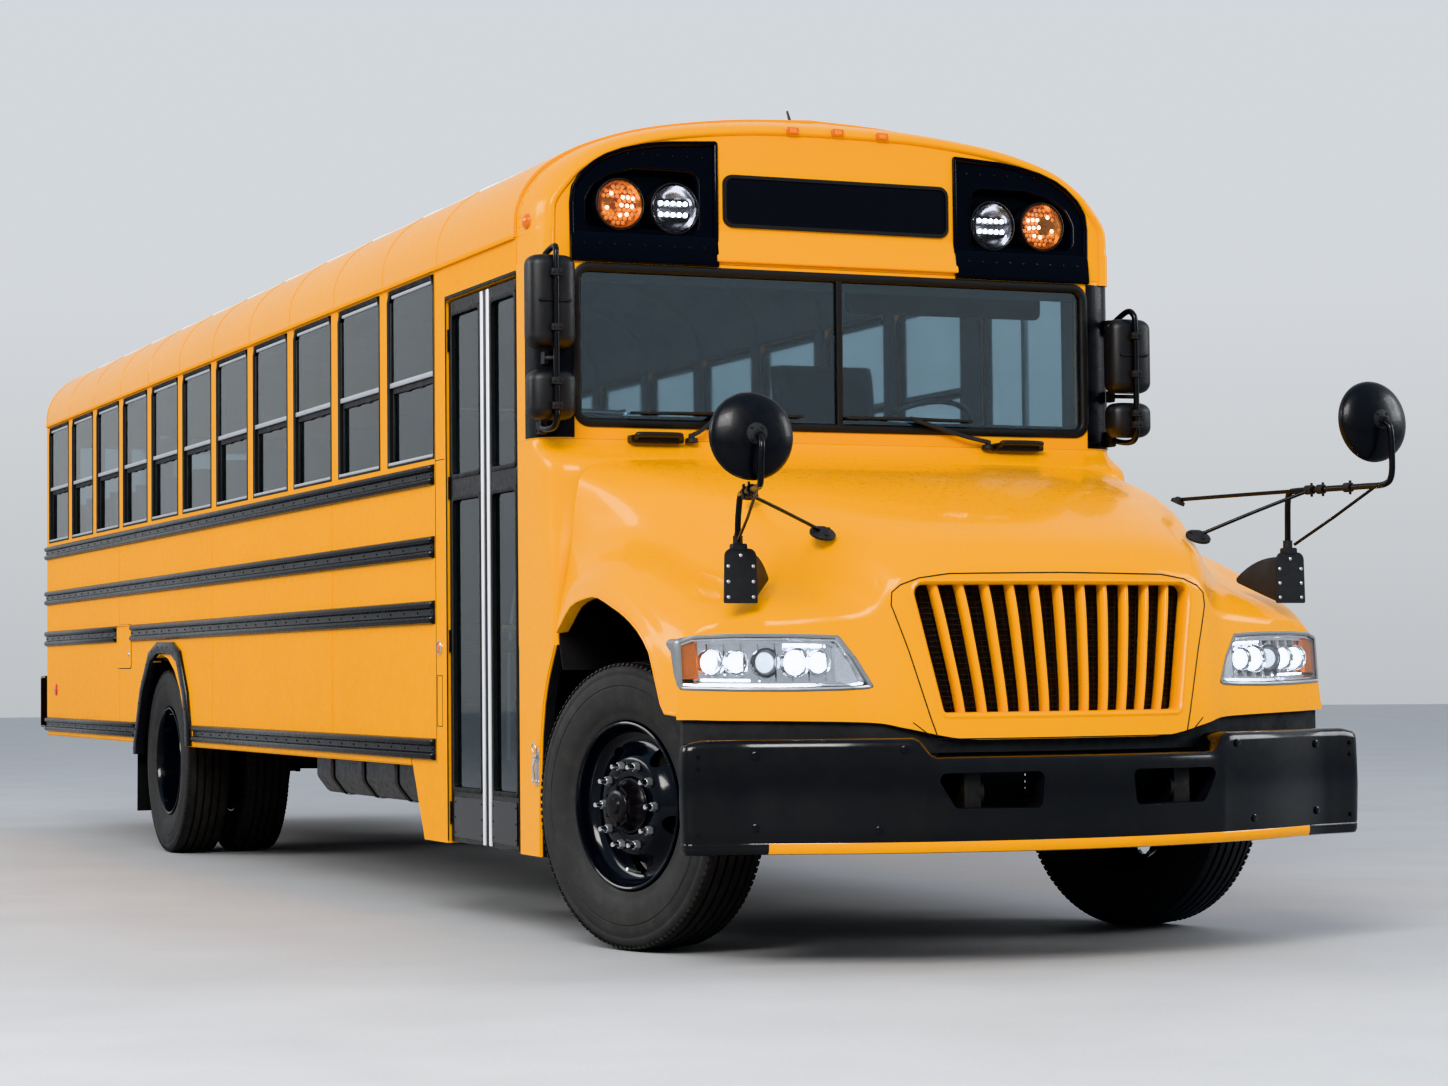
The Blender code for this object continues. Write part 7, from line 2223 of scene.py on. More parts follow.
for side, tag, top, low in ((-1, "right", (2.150, 2.490), (1.890, 2.070)), (1, "left", (2.050, 2.340), (1.875, 2.010))):
    x, y = 1.208, 0.400
    heads = [mirror_head(x, y, top[0], top[1], 0.092), mirror_head(x, y, low[0], low[1], 0.090)]
    o = put("mirror_heads_" + tag, X(side, *heads), "plastic", "body", angle=50)
    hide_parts("side_mirror_" + tag)
    # rib across the back shell, mirror plates
    rib = [rbox(x - 0.062, x + 0.062, y - 0.0585, y - 0.050, (top[0] + top[1]) / 2 - 0.004, (top[0] + top[1]) / 2 + 0.004, 0.003, 2, "y")]
    put("mirror_rib_" + tag, X(side, *rib), "plastic", "body")
    g = []
    for (a, b), w in ((top, 0.092), (low, 0.090)):
        g.append(prism(rpoly([(x - w + 0.014, a + 0.022), (x + w - 0.014, a + 0.022), (x + w - 0.014, b - 0.022), (x - w + 0.014, b - 0.022)], 0.022, 5),
                       "y", y + 0.0295, y + 0.0318))
    put("mirror_plates_" + tag, X(side, *g), "mirror", "body", smooth=False)
    z0, z1 = max(low[0] - 0.035, 1.856), top[1] + 0.030
    yf = y - 0.064
    path = crom([(1.200, 0.525, z0 + 0.020), (1.212, 0.470, z0 + 0.006), (1.215, y + 0.010, z0), (x + 0.002, y - 0.040, z0 + 0.006),
                 (x, yf, z0 + 0.035), (x, yf, low[0] + 0.05), (x, yf, (low[1] + top[0]) / 2), (x, yf, top[0] + 0.08), (x, yf, z1 - 0.055),
                 (x - 0.004, yf + 0.012, z1 - 0.012), (x - 0.008, y - 0.020, z1), (1.204, y + 0.050, z1 - 0.016), (1.200, 0.525, z1 - 0.050)], 7)
    tube = [pipe(path, 0.0115, 14)]
    put("mirror_tube_" + tag, X(side, *tube), "black_satin", "body", angle=60)
    cl = []
    for z in (low[0] + 0.045, low[1] - 0.045, top[0] + 0.07, top[1] - 0.07):
        cl.append(rbox(x - 0.020, x + 0.020, yf - 0.015, yf + 0.016, z - 0.013, z + 0.013, 0.006, 2, "z"))
        cl.append(rod((x - 0.013, yf - 0.019, z), (x - 0.013, yf - 0.013, z), 0.0055, 6))
        cl.append(rod((x + 0.013, yf - 0.019, z), (x + 0.013, yf - 0.013, z), 0.0055, 6))
    for z in (z0 + 0.020, z1 - 0.050):
        cl.append(rbox(1.186, 1.2105, 0.500, 0.560, z - 0.030, z + 0.030, 0.008, 3, "x"))
        cl += dots([(1.2105, 0.530 + dy, z + dz) for dy, dz in ((0.012, 0.020), (-0.018, -0.020), (0.020, -0.016))], (1, 0, 0), 0.0055, 0.004)
    # short arm from tube to body between the heads
    zc = (low[1] + top[0]) / 2
    cl.append(rod((x, yf, zc), (1.190, 0.500, zc + 0.015), 0.008, 10))
    cl.append(rbox(1.184, 1.200, 0.485, 0.530, zc - 0.008, zc + 0.038, 0.006, 2, "x"))
    put("mirror_clamps_" + tag, X(side, *cl), "plastic_matte", "body", bevel=0.0015, seg=1, angle=40)


# ------------------------------------------------------- crossview mirrors
def facing(centre, direction):
    q = Vector(direction).normalized().to_track_quat("X", "Z")
    return Matrix.Translation(centre) @ q.to_matrix().to_4x4()


for side, tag, up, arm in ((-1, "right", -0.038, -0.028), (1, "left", 0.060, 0.010)):
    dome = lathe([(0.006, 0.0), (0.006, 0.128), (0.004, 0.1335), (0.0, 0.1370), (-0.006, 0.1380), (-0.012, 0.1355), (-0.022, 0.126),
                  (-0.036, 0.100), (-0.046, 0.066), (-0.052, 0.034), (-0.054, 0.0)], (0, 0, 0), "x", 56)
    c0 = Vector((1.160, -1.300, 1.742 + up))
    lo_, hi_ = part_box("crossview_mirror_" + tag)
    # dome's back points forwards and out; its glass looks back at the driver
    mat4 = facing(c0, (-0.06, 0.985, -0.08))
    o = put("crossview_shell_" + tag, X(side, move(dome, mat4)), "black_satin", "hood", angle=40)
    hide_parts("crossview_mirror_" + tag)
    gl = lathe([(0.0065, 0.0), (0.0065, 0.1255), (0.010, 0.122), (0.026, 0.090), (0.036, 0.050), (0.039, 0.0)], (0, 0, 0), "x", 56)
    put("crossview_glass_" + tag, X(side, move(gl, mat4)), "mirror", "hood", angle=60)
    rim = turned([(0.0095, 0.129), (0.0110, 0.1345), (0.006, 0.1392), (-0.002, 0.1392), (-0.004, 0.1370), (0.004, 0.1350)], (0, 0, 0), 56, "x")
    put("crossview_rim_" + tag, X(side, move(rim, mat4)), "rubber", "hood", angle=50)
    pts = crom([(1.160, -1.352, 1.748 + up), (1.162, -1.372, 1.738 + up), (1.166, -1.395, 1.712 + up), (1.170, -1.397, 1.655 + (up + arm) / 2),
                (1.169, -1.392, 1.600 + arm), (1.160, -1.362, 1.574 + arm), (1.140, -1.280, 1.572 + arm), (1.100, -1.130, 1.572 + arm),
                (1.060, -0.990, 1.572 + arm), (1.051, -0.958, 1.566 + arm), (1.050, -0.945, 1.535 + arm), (1.052, -0.938, 1.440),
                (1.052, -0.935, 1.330)], 7)
    tubes = [pipe(pts, 0.0105, 14)]
    stay = [(1.075, -1.050, 1.572 + arm), (0.900, -0.965, 1.503 + arm * 0.5), (0.735, -0.886, 1.434)]
    tubes.append(pipe(crom(stay, 6), 0.0062, 10))
    back_stay = [(1.088, -1.090, 1.572 + arm), (0.960, -0.820, 1.572 + arm * 0.5), (0.846, -0.575, 1.5715)]
    tubes.append(pipe(crom(back_stay, 6), 0.0070, 10))
    thin = [(1.150, -1.320, 1.566 + arm), (1.105, -1.140, 1.475 + arm * 0.6), (1.062, -0.965, 1.395)]
    tubes.append(pipe(thin, 0.0055, 8))
    put("crossview_tubes_" + tag, X(side, *tubes), "black_satin", "hood", angle=60)
    cl = []
    for p, q in (((1.075, -1.064, 1.572 + arm), (1.068, -1.034, 1.572 + arm)), ((1.125, -1.222, 1.572 + arm), (1.118, -1.194, 1.572 + arm)),
                 ((1.092, -1.106, 1.572 + arm), (1.085, -1.080, 1.572 + arm)), ((1.052, -0.937, 1.410), (1.052, -0.936, 1.380))):
        cl.append(rod(p, q, 0.0165, 16))
        m_ = (Vector(p) + Vector(q)) / 2
        cl.append(rod((m_.x + 0.008, m_.y, m_.z - 0.024), (m_.x + 0.008, m_.y, m_.z + 0.024), 0.0045, 8))
    cl.append(rod((1.160, -1.347, 1.747 + up), (1.160, -1.372, 1.740 + up), 0.0150, 16))
    cl.append(move(lathe([(0.0, 0.0), (0.0, 0.036), (-0.006, 0.034), (-0.010, 0.020), (-0.012, 0.0)], (0, 0, 0), "x", 28),
                   mat4 @ Matrix.Translation((-0.0505, 0, 0))))
    for a in range(4):
        t = math.pi / 4 + a * math.pi / 2
        cl.append(move(lathe([(0.0, 0.0), (0.0, 0.0055), (-0.003, 0.0045), (-0.0035, 0.0)], (0, 0, 0), "x", 10),
                       mat4 @ Matrix.Translation((-0.0590, 0.026 * math.cos(t), 0.026 * math.sin(t)))))
    put("crossview_clamps_" + tag, X(side, *cl), "plastic_matte", "hood", angle=40)
    # riveted plate and gusset on the fender
    plate = []
    zt = 1.372
    face = rpoly([(0.990, 1.190), (1.110, 1.190), (1.106, zt - 0.004), (0.994, zt - 0.004)], [0.006, 0.006, 0.026, 0.026], 5)
    plate.append(prism(face, "y", -0.954, -0.948))
    gus = []
    for k in range(9):
        t = k / 8
        x0, x1 = lerp(0.996, 0.900, t), lerp(1.104, 0.930, t ** 0.8)
        y = lerp(-0.949, -0.838, t ** 0.9)
        a, b = lerp(1.192, 1.262, t), lerp(1.352, 1.286, t ** 2.2)
        gus.append([(x, y, z) for x, z in rpoly([(x0, a), (x1, a), (x1, b), (x0, b)], 0.012, 3)])
    plate.append(rings(gus))
    plate.append(rbox(1.026, 1.078, -0.956, -0.926, zt - 0.010, zt + 0.012, 0.006, 2, "y"))
    put("crossview_bracket_" + tag, X(side, *plate), "plastic_matte", "hood", bevel=0.002, seg=2, angle=30)
    rv = [(1.006, -0.954, z) for z in (1.210, 1.260, 1.310)] + [(1.094, -0.954, z) for z in (1.210, 1.260, 1.310)] + [(1.050, -0.954, 1.345)]
    put("crossview_rivets_" + tag, X(side, *dots(rv, (0, -1, 0), 0.0062, 0.003)), "steel", "hood")
    foot = facing((0.722, -0.8815, 1.4265), (0.0, -0.50, 0.86))
    padd = [move(lathe([(-0.010, 0.0), (-0.010, 0.044), (-0.002, 0.0445), (0.003, 0.040), (0.006, 0.024), (0.016, 0.014), (0.018, 0.0)],
                       (0, 0, 0), "x", 32), foot)]
    for a in range(3):
        t = 0.5 + a * 2.094
        padd.append(move(lathe([(0.0, 0.0), (0.0, 0.006), (0.0065, 0.0055), (0.008, 0.0)], (0, 0, 0), "x", 10),
                         foot @ Matrix.Translation((0.002, 0.031 * math.cos(t), 0.031 * math.sin(t)))))
    foot2 = facing((0.840, -0.5605, 1.5665), (0.30, -0.30, 0.90))
    padd.append(move(lathe([(-0.010, 0.0), (-0.010, 0.026), (0.002, 0.0255), (0.006, 0.018), (0.014, 0.010), (0.016, 0.0)],
                           (0, 0, 0), "x", 26), foot2))
    put("crossview_foot_" + tag, X(side, *padd), "plastic_matte", "hood", angle=40)


# --------------------------------------------------------------- stop arm
def octagon(r, x, cy=2.110, cz=1.640):
    return [(x, cy + r * math.cos(math.pi / 8 + k * math.pi / 4), cz + r * math.sin(math.pi / 8 + k * math.pi / 4)) for k in range(8)]


lo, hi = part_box("stop_arm")
o = put("stop_sign", [rings([octagon(0.245, 1.2600), octagon(0.245, 1.2665), octagon(0.243, 1.2680)])], "trim_white", "stop_arm", angle=25)
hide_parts("stop_arm")
put("stop_sign_face", [rings([octagon(0.228, 1.2670), octagon(0.228, 1.2685)]), rings([octagon(0.228, 1.2596), octagon(0.228, 1.2610)])],
    "red", "stop_arm", smooth=False)
for zz, nm in ((1.765, "top"), (1.515, "low")):
    put("stop_lamp_" + nm, move(lathe([(0.0, 0.0), (0.0, 0.034), (0.004, 0.0335), (0.006, 0.027), (0.007, 0.0)], (0, 0, 0), "x", 32),
                           Matrix.Translation((1.2675, 2.110, zz))), "red_lens", "stop_arm", angle=50)
put("stop_arm_plate", [rbox(1.2520, 1.2600, 1.806, 1.985, 1.570, 1.710, 0.010, 3, "x"), rod((1.263, 1.800, 1.545), (1.263, 1.800, 1.735), 0.0115, 16)],
    "black_satin", "stop_arm", bevel=0.0015, seg=1, angle=40)
put("stop_arm_base", [rbox(1.2205, 1.2490, 1.700, 1.786, 1.552, 1.728, 0.010, 3, "x"), rbox(1.2205, 1.2400, 1.690, 1.700, 1.560, 1.720, 0.003, 2, "x")],
    "plastic", "body", bevel=0.002)


# ------------------------------------------------------------------- seats
def cushion(x0, x1, bottom, top, front, back, n=14, m=10, crown=0.020, seam=2):
    """Closed cushion between |x| limits; bottom/top edges are (y, z) pairs for front/back."""
    rows = []
    (yf, zf), (yb, zb) = top
    (bf, cf), (bb, cb) = bottom
    for i in range(n + 1):
        u = i / n
        x = lerp(x0, x1, u)
        edge = min(1.0, min(u, 1 - u) / 0.09)
        fall = 1 - (1 - edge) ** 2.4
        tuck = 0.0
        for s in range(1, seam + 1):
            d = abs(u - s / (seam + 1)) * (x1 - x0)
            tuck += 0.006 * math.exp(-(d / 0.012) ** 2)
        row = []
        for j in range(m + 1):
            v = j / m
            e2 = min(1.0, min(v, 1 - v) / 0.14)
            f2 = 1 - (1 - e2) ** 2.2
            bulge = crown * fall * f2 - tuck * f2 - 0.016 * (1 - fall) - 0.016 * (1 - f2)
            p = Vector((0, lerp(yf, yb, v), lerp(zf, zb, v)))
            nrm = Vector((0, -(zb - zf), yb - yf)).normalized()
            if nrm.dot(Vector((0, (yf + yb) / 2 - (bf + bb) / 2, (zf + zb) / 2 - (cf + cb) / 2))) < 0:
                nrm = -nrm
            wav = 0.0022 * noise.noise(Vector((x * 9, p.y * 9, p.z * 9)))
            p = p + nrm * (bulge + wav * fall * f2)
            row.append((x, p.y, p.z))
        row += [(x, lerp(bb, bf, k / 3), lerp(cb, cf, k / 3)) for k in range(4)]
        rows.append(row)
    return rings(rows)


def bench_parts(y0):
    seat = cushion(0.199, 1.156, ((y0 + 0.004, 1.462), (y0 + 0.405, 1.438)), ((y0 - 0.004, 1.548), (y0 + 0.322, 1.512)), 0, 0, n=24, m=10, crown=0.014)
    back = cushion(0.199, 1.156, ((y0 + 0.440, 1.430), (y0 + 0.476, 2.080)), ((y0 + 0.330, 1.500), (y0 + 0.408, 2.085)), 0, 0, n=24, m=12, crown=0.012)
    return seat, back


for side, tag in ((1, "left"), (-1, "right")):
    first = 0
    lo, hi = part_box("seats_" + tag)
    rows_n = int(round((hi.y - lo.y - 0.49) / 0.712)) + 1
    ystart = lo.y + YM + 0.010
    legs, pads_ = [], []
    for k in range(rows_n):
        y0 = ystart + k * 0.712
        s_, b_ = bench_parts(y0)
        pads_ += [s_, b_]
        legs += [box(0.335, 0.365, y0 + 0.02, y0 + 0.05, 1.105, 1.462), box(0.335, 0.365, y0 + 0.39, y0 + 0.42, 1.105, 1.440),
                 box(0.335, 0.365, y0 + 0.02, y0 + 0.42, 1.425, 1.455), box(0.310, 0.390, y0 + 0.005, y0 + 0.065, 1.1005, 1.106),
                 box(0.310, 0.390, y0 + 0.375, y0 + 0.435, 1.1005, 1.106), box(0.365, 1.165, y0 + 0.30, y0 + 0.325, 1.425, 1.450)]
    p = put("bench_pads_" + tag, X(side, *pads_), "vinyl", "body", angle=60)
    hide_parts("seats_" + tag)
    put("bench_legs_" + tag, X(side, *legs), "frame", "body", bevel=0.003, seg=1)

ds = cushion(0.404, 0.856, ((1.505, 1.502), (1.965, 1.500)), ((1.494, 1.592), (1.870, 1.574)), 0, 0, n=18, m=10, crown=0.022, seam=2)
db = cushion(0.404, 0.856, ((1.988, 1.520), (2.056, 2.290)), ((1.884, 1.585), (1.966, 2.290)), 0, 0, n=18, m=16, crown=0.020, seam=2)
dp = put("driver_pads", [ds, db], "vinyl_grey", "body", angle=60)
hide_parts("driver_seat")
bel = []
for k in range(5):
    z = 1.150 + k * 0.062
    g = 0.018 if k % 2 else 0.0
    bel.append([(x, y, z) for x, y in rpoly([(0.50 + g, 1.58 + g), (0.76 - g, 1.58 + g), (0.76 - g, 1.88 - g), (0.50 + g, 1.88 - g)], 0.04, 5)])
put("driver_bellows", [rings(bel)], "rubber", "body", angle=20)
put("driver_base", [rbox(0.47, 0.79, 1.55, 1.91, 1.101, 1.150, 0.02, 3, "z"), rbox(0.45, 0.81, 1.53, 1.93, 1.398, 1.425, 0.02, 3, "z"),
                    rbox(0.43, 0.83, 1.52, 1.96, 1.470, 1.5015, 0.02, 3, "z"), box(0.49, 0.52, 1.56, 1.92, 1.424, 1.471), box(0.74, 0.77, 1.56, 1.92, 1.424, 1.471)],
    "plastic_matte", "body", bevel=0.003)
belt = rings([[(0.835, y, z), (0.862, y + 0.001, z), (0.862, y + 0.004, z), (0.835, y + 0.003, z)] for y, z in
              ((2.062, 2.24), (2.066, 2.10), (2.068, 1.70), (2.066, 1.30), (2.064, 1.12))])
put("driver_belt", [belt], "plastic", "body")
# driver's barrier and first seat's kick panels
put("barriers", [rbox(0.32, 1.160, 2.1010, 2.1110, 1.18, 2.02, 0.05, 5, "y"), rbox(-1.160, -0.32, 1.9600, 1.9700, 1.18, 2.02, 0.05, 5, "y")],
    "vinyl_grey", "body", bevel=0.003)
put("barrier_tubes", [pipe(crom([(s * 0.315, y, 1.102), (s * 0.315, y, 1.6), (s * 0.315, y, 2.02), (s * 0.36, y, 2.06), (s * 0.7, y, 2.062),
                                 (s * 1.155, y, 2.062)], 6), 0.0130, 12) for s, y in ((1, 2.106), (-1, 1.965))], "chrome", "body")


# ------------------------------------------------------ dash and steering
dash = [(0.905, 1.420), (0.905, 1.700), (0.860, 1.835), (0.845, 1.848), (0.740, 1.850), (0.640, 1.842), (0.605, 1.825), (0.600, 1.780), (0.600, 1.420)]
dd = rings([[(x, 0.75 + (y - 0.75) * k, 1.42 + (z - 1.42) * k2) for y, z in dash] for x, k, k2 in
            ((-0.350, 0.94, 0.95), (-0.345, 0.98, 0.985), (-0.33, 1, 1), (1.08, 1, 1), (1.095, 0.98, 0.985), (1.100, 0.94, 0.95))])
o = put("dash_shell", [dd], "plastic_matte", "body", angle=40)
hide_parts("dashboard")
hood_ = rings([[(0.62 + 0.30 * math.cos(a) * r, y, 1.846 + 0.085 * max(0.0, math.sin(a)) * r) for a in np.linspace(0, math.pi, 17)] +
               [(0.62 - 0.30 * r, y, 1.842), (0.62 + 0.30 * r, y, 1.842)] for y, r in ((0.70, 0.5), (0.74, 0.9), (0.80, 1.0), (0.885, 1.0))])
put("dash_binnacle", [hood_], "plastic_matte", "body", angle=40)
dial, ring_ = [], []
for x_, z_, r_ in ((0.52, 1.770, 0.050), (0.72, 1.770, 0.050), (0.62, 1.800, 0.026), (0.62, 1.738, 0.026), (0.42, 1.78, 0.022), (0.82, 1.78, 0.022)):
    yy = 0.905 - (z_ - 1.700) * 0.333 + 0.001
    dial.append(lathe([(0.0, 0.0), (0.0, r_), (0.003, r_), (0.003, 0.0)], (x_, yy, z_), "y", 28))
    ring_.append(turned([(0.0, r_ + 0.005), (0.006, r_ + 0.004), (0.006, r_), (0.0, r_)], (x_, yy, z_), 28, "y"))
put("dash_dials", dial, "dark_in", "body", angle=40)
put("dash_dial_rings", ring_, "chrome", "body", angle=40)
sw = []
for k in range(9):
    sw.append(rbox(-0.22 + k * 0.055, -0.19 + k * 0.055, 0.8985, 0.9080, 1.62, 1.665, 0.004, 2, "y"))
put("dash_switches", sw, "plastic", "body", bevel=0.002, seg=1)

C = Vector((0.620, 1.060, 1.930))
lean = math.radians(32)
axis = Vector((0, math.sin(lean), math.cos(lean)))        # up and towards the driver
lo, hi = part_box("steering_wheel")
M_w = facing(C, tuple(axis))
rimw = []
for k in range(72):
    a = 2 * math.pi * k / 72
    rr = 0.0115 + 0.0012 * (math.cos(a * 18) > 0)
    c = Vector((0, 0.2130 * math.cos(a), 0.2130 * math.sin(a)))
    e1 = Vector((0, math.cos(a), math.sin(a)))
    rimw.append([tuple(c + e1 * rr * math.cos(t) + Vector((rr * math.sin(t), 0, 0))) for t in np.linspace(0, 2 * math.pi, 13)[:-1]])
rimw.append(rimw[0])
wheel_ring = rings(rimw[:-1] + [rimw[0]], caps=False)
wv, wf = wheel_ring
nn = 12
wv = wv[:72 * nn]
wf = [tuple(i % (72 * nn) for i in f) for f in wf]
spokes = []
for a in (math.radians(200), math.radians(-20), math.radians(90 + 180)):
    pts = [Vector((-0.035, 0.03 * math.cos(a), 0.03 * math.sin(a))), Vector((-0.022, 0.12 * math.cos(a), 0.12 * math.sin(a))),
           Vector((-0.002, 0.208 * math.cos(a), 0.208 * math.sin(a)))]
    spokes.append(pipe([tuple(p) for p in pts], 0.0095, 10))
hubw = lathe([(-0.060, 0.0), (-0.060, 0.045), (-0.040, 0.062), (-0.022, 0.064), (-0.012, 0.056), (-0.008, 0.0)], (0, 0, 0), "x", 36)
o = put("steering_rim", [move((wv, wf), M_w)], "plastic", "steering_wheel", angle=70)
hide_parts("steering_wheel")
put("steering_spokes", [move(s_, M_w) for s_ in spokes] + [move(hubw, M_w)], "plastic_matte", "steering_wheel", angle=40)
put("steering_column", [pipe([tuple(C - axis * 0.075), tuple(C - axis * 0.21), tuple(C - axis * 0.33)], 0.034, 20),
                        pipe([tuple(C - axis * 0.13 + Vector((-0.03, 0, 0))), tuple(C - axis * 0.115 + Vector((-0.19, 0.01, 0.03)))], 0.0055, 8)],
    "plastic_matte", "body", angle=40)
put("inside_mirror", [rbox(-0.22, 0.22, 0.700, 0.718, 2.505, 2.600, 0.03, 5, "y")], "plastic", "body", bevel=0.004)
put("visor", [rbox(0.12, 0.98, 0.690, 0.702, 2.36, 2.49, 0.03, 4, "y")], "dark_in", "body", bevel=0.002)


# -------------------------------------------------- engine and running gear
def torus_at(c, R, r, axis, n=36, m=10):
    return turned([(r * math.cos(2 * math.pi * k / m), R + r * math.sin(2 * math.pi * k / m)) for k in range(m)], c, n, axis)


blk = [rbox(-0.200, 0.200, -0.560, 0.230, 0.800, 1.120, 0.020, 3, "y"), rbox(-0.170, 0.170, -0.520, 0.200, 0.670, 0.805, 0.035, 4, "y"),
       rbox(-0.150, 0.150, -0.540, 0.215, 1.120, 1.215, 0.020, 3, "y"), rbox(-0.115, 0.115, -0.520, 0.200, 1.210, 1.290, 0.040, 5, "y"),
       rod((0, 0.225, 0.905), (0, 0.290, 0.905), 0.205, 40), rbox(0.200, 0.300, -0.420, -0.060, 0.860, 1.020, 0.03, 4, "y"),
       rbox(-0.290, -0.200, -0.470, 0.140, 1.000, 1.110, 0.03, 4, "y")]
for k in range(6):
    blk.append(rod((-0.150, -0.45 + k * 0.115, 1.165), (-0.245, -0.45 + k * 0.115, 1.075), 0.026, 14))
    blk.append(rod((0.150, -0.45 + k * 0.115, 1.160), (0.225, -0.45 + k * 0.115, 1.030), 0.022, 14))
    blk.append(box(-0.203, 0.203, -0.50 + k * 0.118, -0.485 + k * 0.118, 0.82, 1.10))
en = put("engine_block", blk, "cast", "body", bevel=0.004, seg=2, angle=35)
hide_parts("engine")
put("engine_bolts", join(*[q for k in range(7) for q in dots_n([(0.128, -0.50 + k * 0.112, 1.215), (-0.128, -0.50 + k * 0.112, 1.215)],
                                                              (0, 0, 1), 0.008, 0.006, 6)]), "steel", "body")
fan = [rod((0, -0.560, 0.930), (0, -0.700, 0.930), 0.050, 24), rod((0, -0.575, 0.930), (0, -0.600, 0.930), 0.110, 36),
       rod((0.16, -0.575, 1.080), (0.16, -0.600, 1.080), 0.045, 24), rod((-0.17, -0.575, 0.780), (-0.17, -0.600, 0.780), 0.055, 24)]
for k in range(8):
    a = k * math.pi / 4
    e1, e2 = Vector((math.cos(a), 0, math.sin(a))), Vector((-math.sin(a), 0, math.cos(a)))
    blade = []
    for rr_, w_, tw in ((0.045, 0.022, 0.012), (0.12, 0.036, 0.016), (0.20, 0.045, 0.014), (0.235, 0.040, 0.011)):
        c = Vector((0, -0.665, 0.930)) + e1 * rr_
        blade.append([tuple(c + e2 * w_ + Vector((0, tw, 0))), tuple(c + e2 * w_ + Vector((0, tw + 0.003, 0))),
                      tuple(c - e2 * w_ + Vector((0, -tw + 0.003, 0))), tuple(c - e2 * w_ + Vector((0, -tw, 0)))])
    fan.append(rings(blade))
put("engine_fan", fan, "plastic", "body", angle=40)
rad = [rbox(-0.315, 0.315, -0.850, -0.800, 0.700, 1.300, 0.015, 3, "y")]
put("radiator_tanks", [rbox(-0.318, 0.318, -0.858, -0.790, 1.235, 1.335, 0.02, 4, "x"), rbox(-0.318, 0.318, -0.858, -0.790, 0.665, 0.740, 0.02, 4, "x"),
                       box(-0.318, -0.290, -0.852, -0.796, 0.730, 1.240), box(0.290, 0.318, -0.852, -0.796, 0.730, 1.240)], "plastic", "body", bevel=0.003)
fins = [box(-0.290, 0.290, -0.842, -0.806, 0.742 + k * 0.0125, 0.7445 + k * 0.0125) for k in range(40)]
fins += [box(-0.29 + k * 0.029, -0.288 + k * 0.029, -0.838, -0.810, 0.740, 1.236) for k in range(21)]
put("radiator_core", fins, "steel", "body", smooth=False)
put("fan_shroud", rings([[(r_ * math.cos(a), y, 0.96 + r_ * 1.0 * math.sin(a)) for a in np.linspace(0, 2 * math.pi, 41)[:-1]] for r_, y in
                         ((0.285, -0.790), (0.262, -0.740), (0.250, -0.640), (0.246, -0.640), (0.257, -0.738), (0.280, -0.790))], closed=True),
    "plastic_matte", "body", angle=40)
hoses = [pipe(crom([(0.20, -0.79, 1.28), (0.19, -0.72, 1.29), (0.10, -0.62, 1.22), (0.05, -0.55, 1.17)], 7), 0.024, 14),
         pipe(crom([(-0.22, -0.79, 0.72), (-0.23, -0.68, 0.73), (-0.22, -0.60, 0.80), (-0.20, -0.50, 0.84)], 7), 0.024, 14),
         pipe(crom([(-0.24, 0.10, 1.06), (-0.27, 0.20, 1.10), (-0.26, 0.28, 1.20)], 6), 0.032, 14)]
put("engine_hoses", hoses, "rubber", "body", angle=60)
put("air_filter", [rod((0.215, -0.36, 1.235), (0.215, 0.10, 1.235), 0.092, 32), rod((0.215, -0.38, 1.235), (0.215, -0.355, 1.235), 0.098, 32)],
    "black_satin", "body", bevel=0.004, angle=40)


def leaves(x, w, y, half, zmid, zend, t, count):
    """Stack of arched leaves, each a little shorter than the one above."""
    out, n = [], 16
    for c in range(count):
        reach = half * (1 - 0.17 * c)
        lo_, hi_ = [], []
        for k in range(n + 1):
            u = (-1 + 2 * k / n) * reach / half
            z = zmid + (zend - zmid) * u * u + t * (count - 1 - c) + 0.001
            lo_.append((y + half * u, z))
            hi_.append((y + half * u, z + t - 0.0015))
        out.append(prism(lo_ + hi_[::-1], "x", x - w / 2, x + w / 2))
    return out


def clamp_set(x, w, y, z0, z1, s=0.045):
    out = []
    for dy in (-s, s):
        for dx in (-w / 2 - 0.008, w / 2 + 0.008):
            out.append(rod((x + dx, y + dy, z0), (x + dx, y + dy, z1), 0.0085, 12))
            out.append(rod((x + dx, y + dy, z0 - 0.004), (x + dx, y + dy, z0 + 0.012), 0.0150, 6))
        out.append(rod((x - w / 2 - 0.008, y + dy, z1), (x + w / 2 + 0.008, y + dy, z1), 0.0085, 12))
    return out


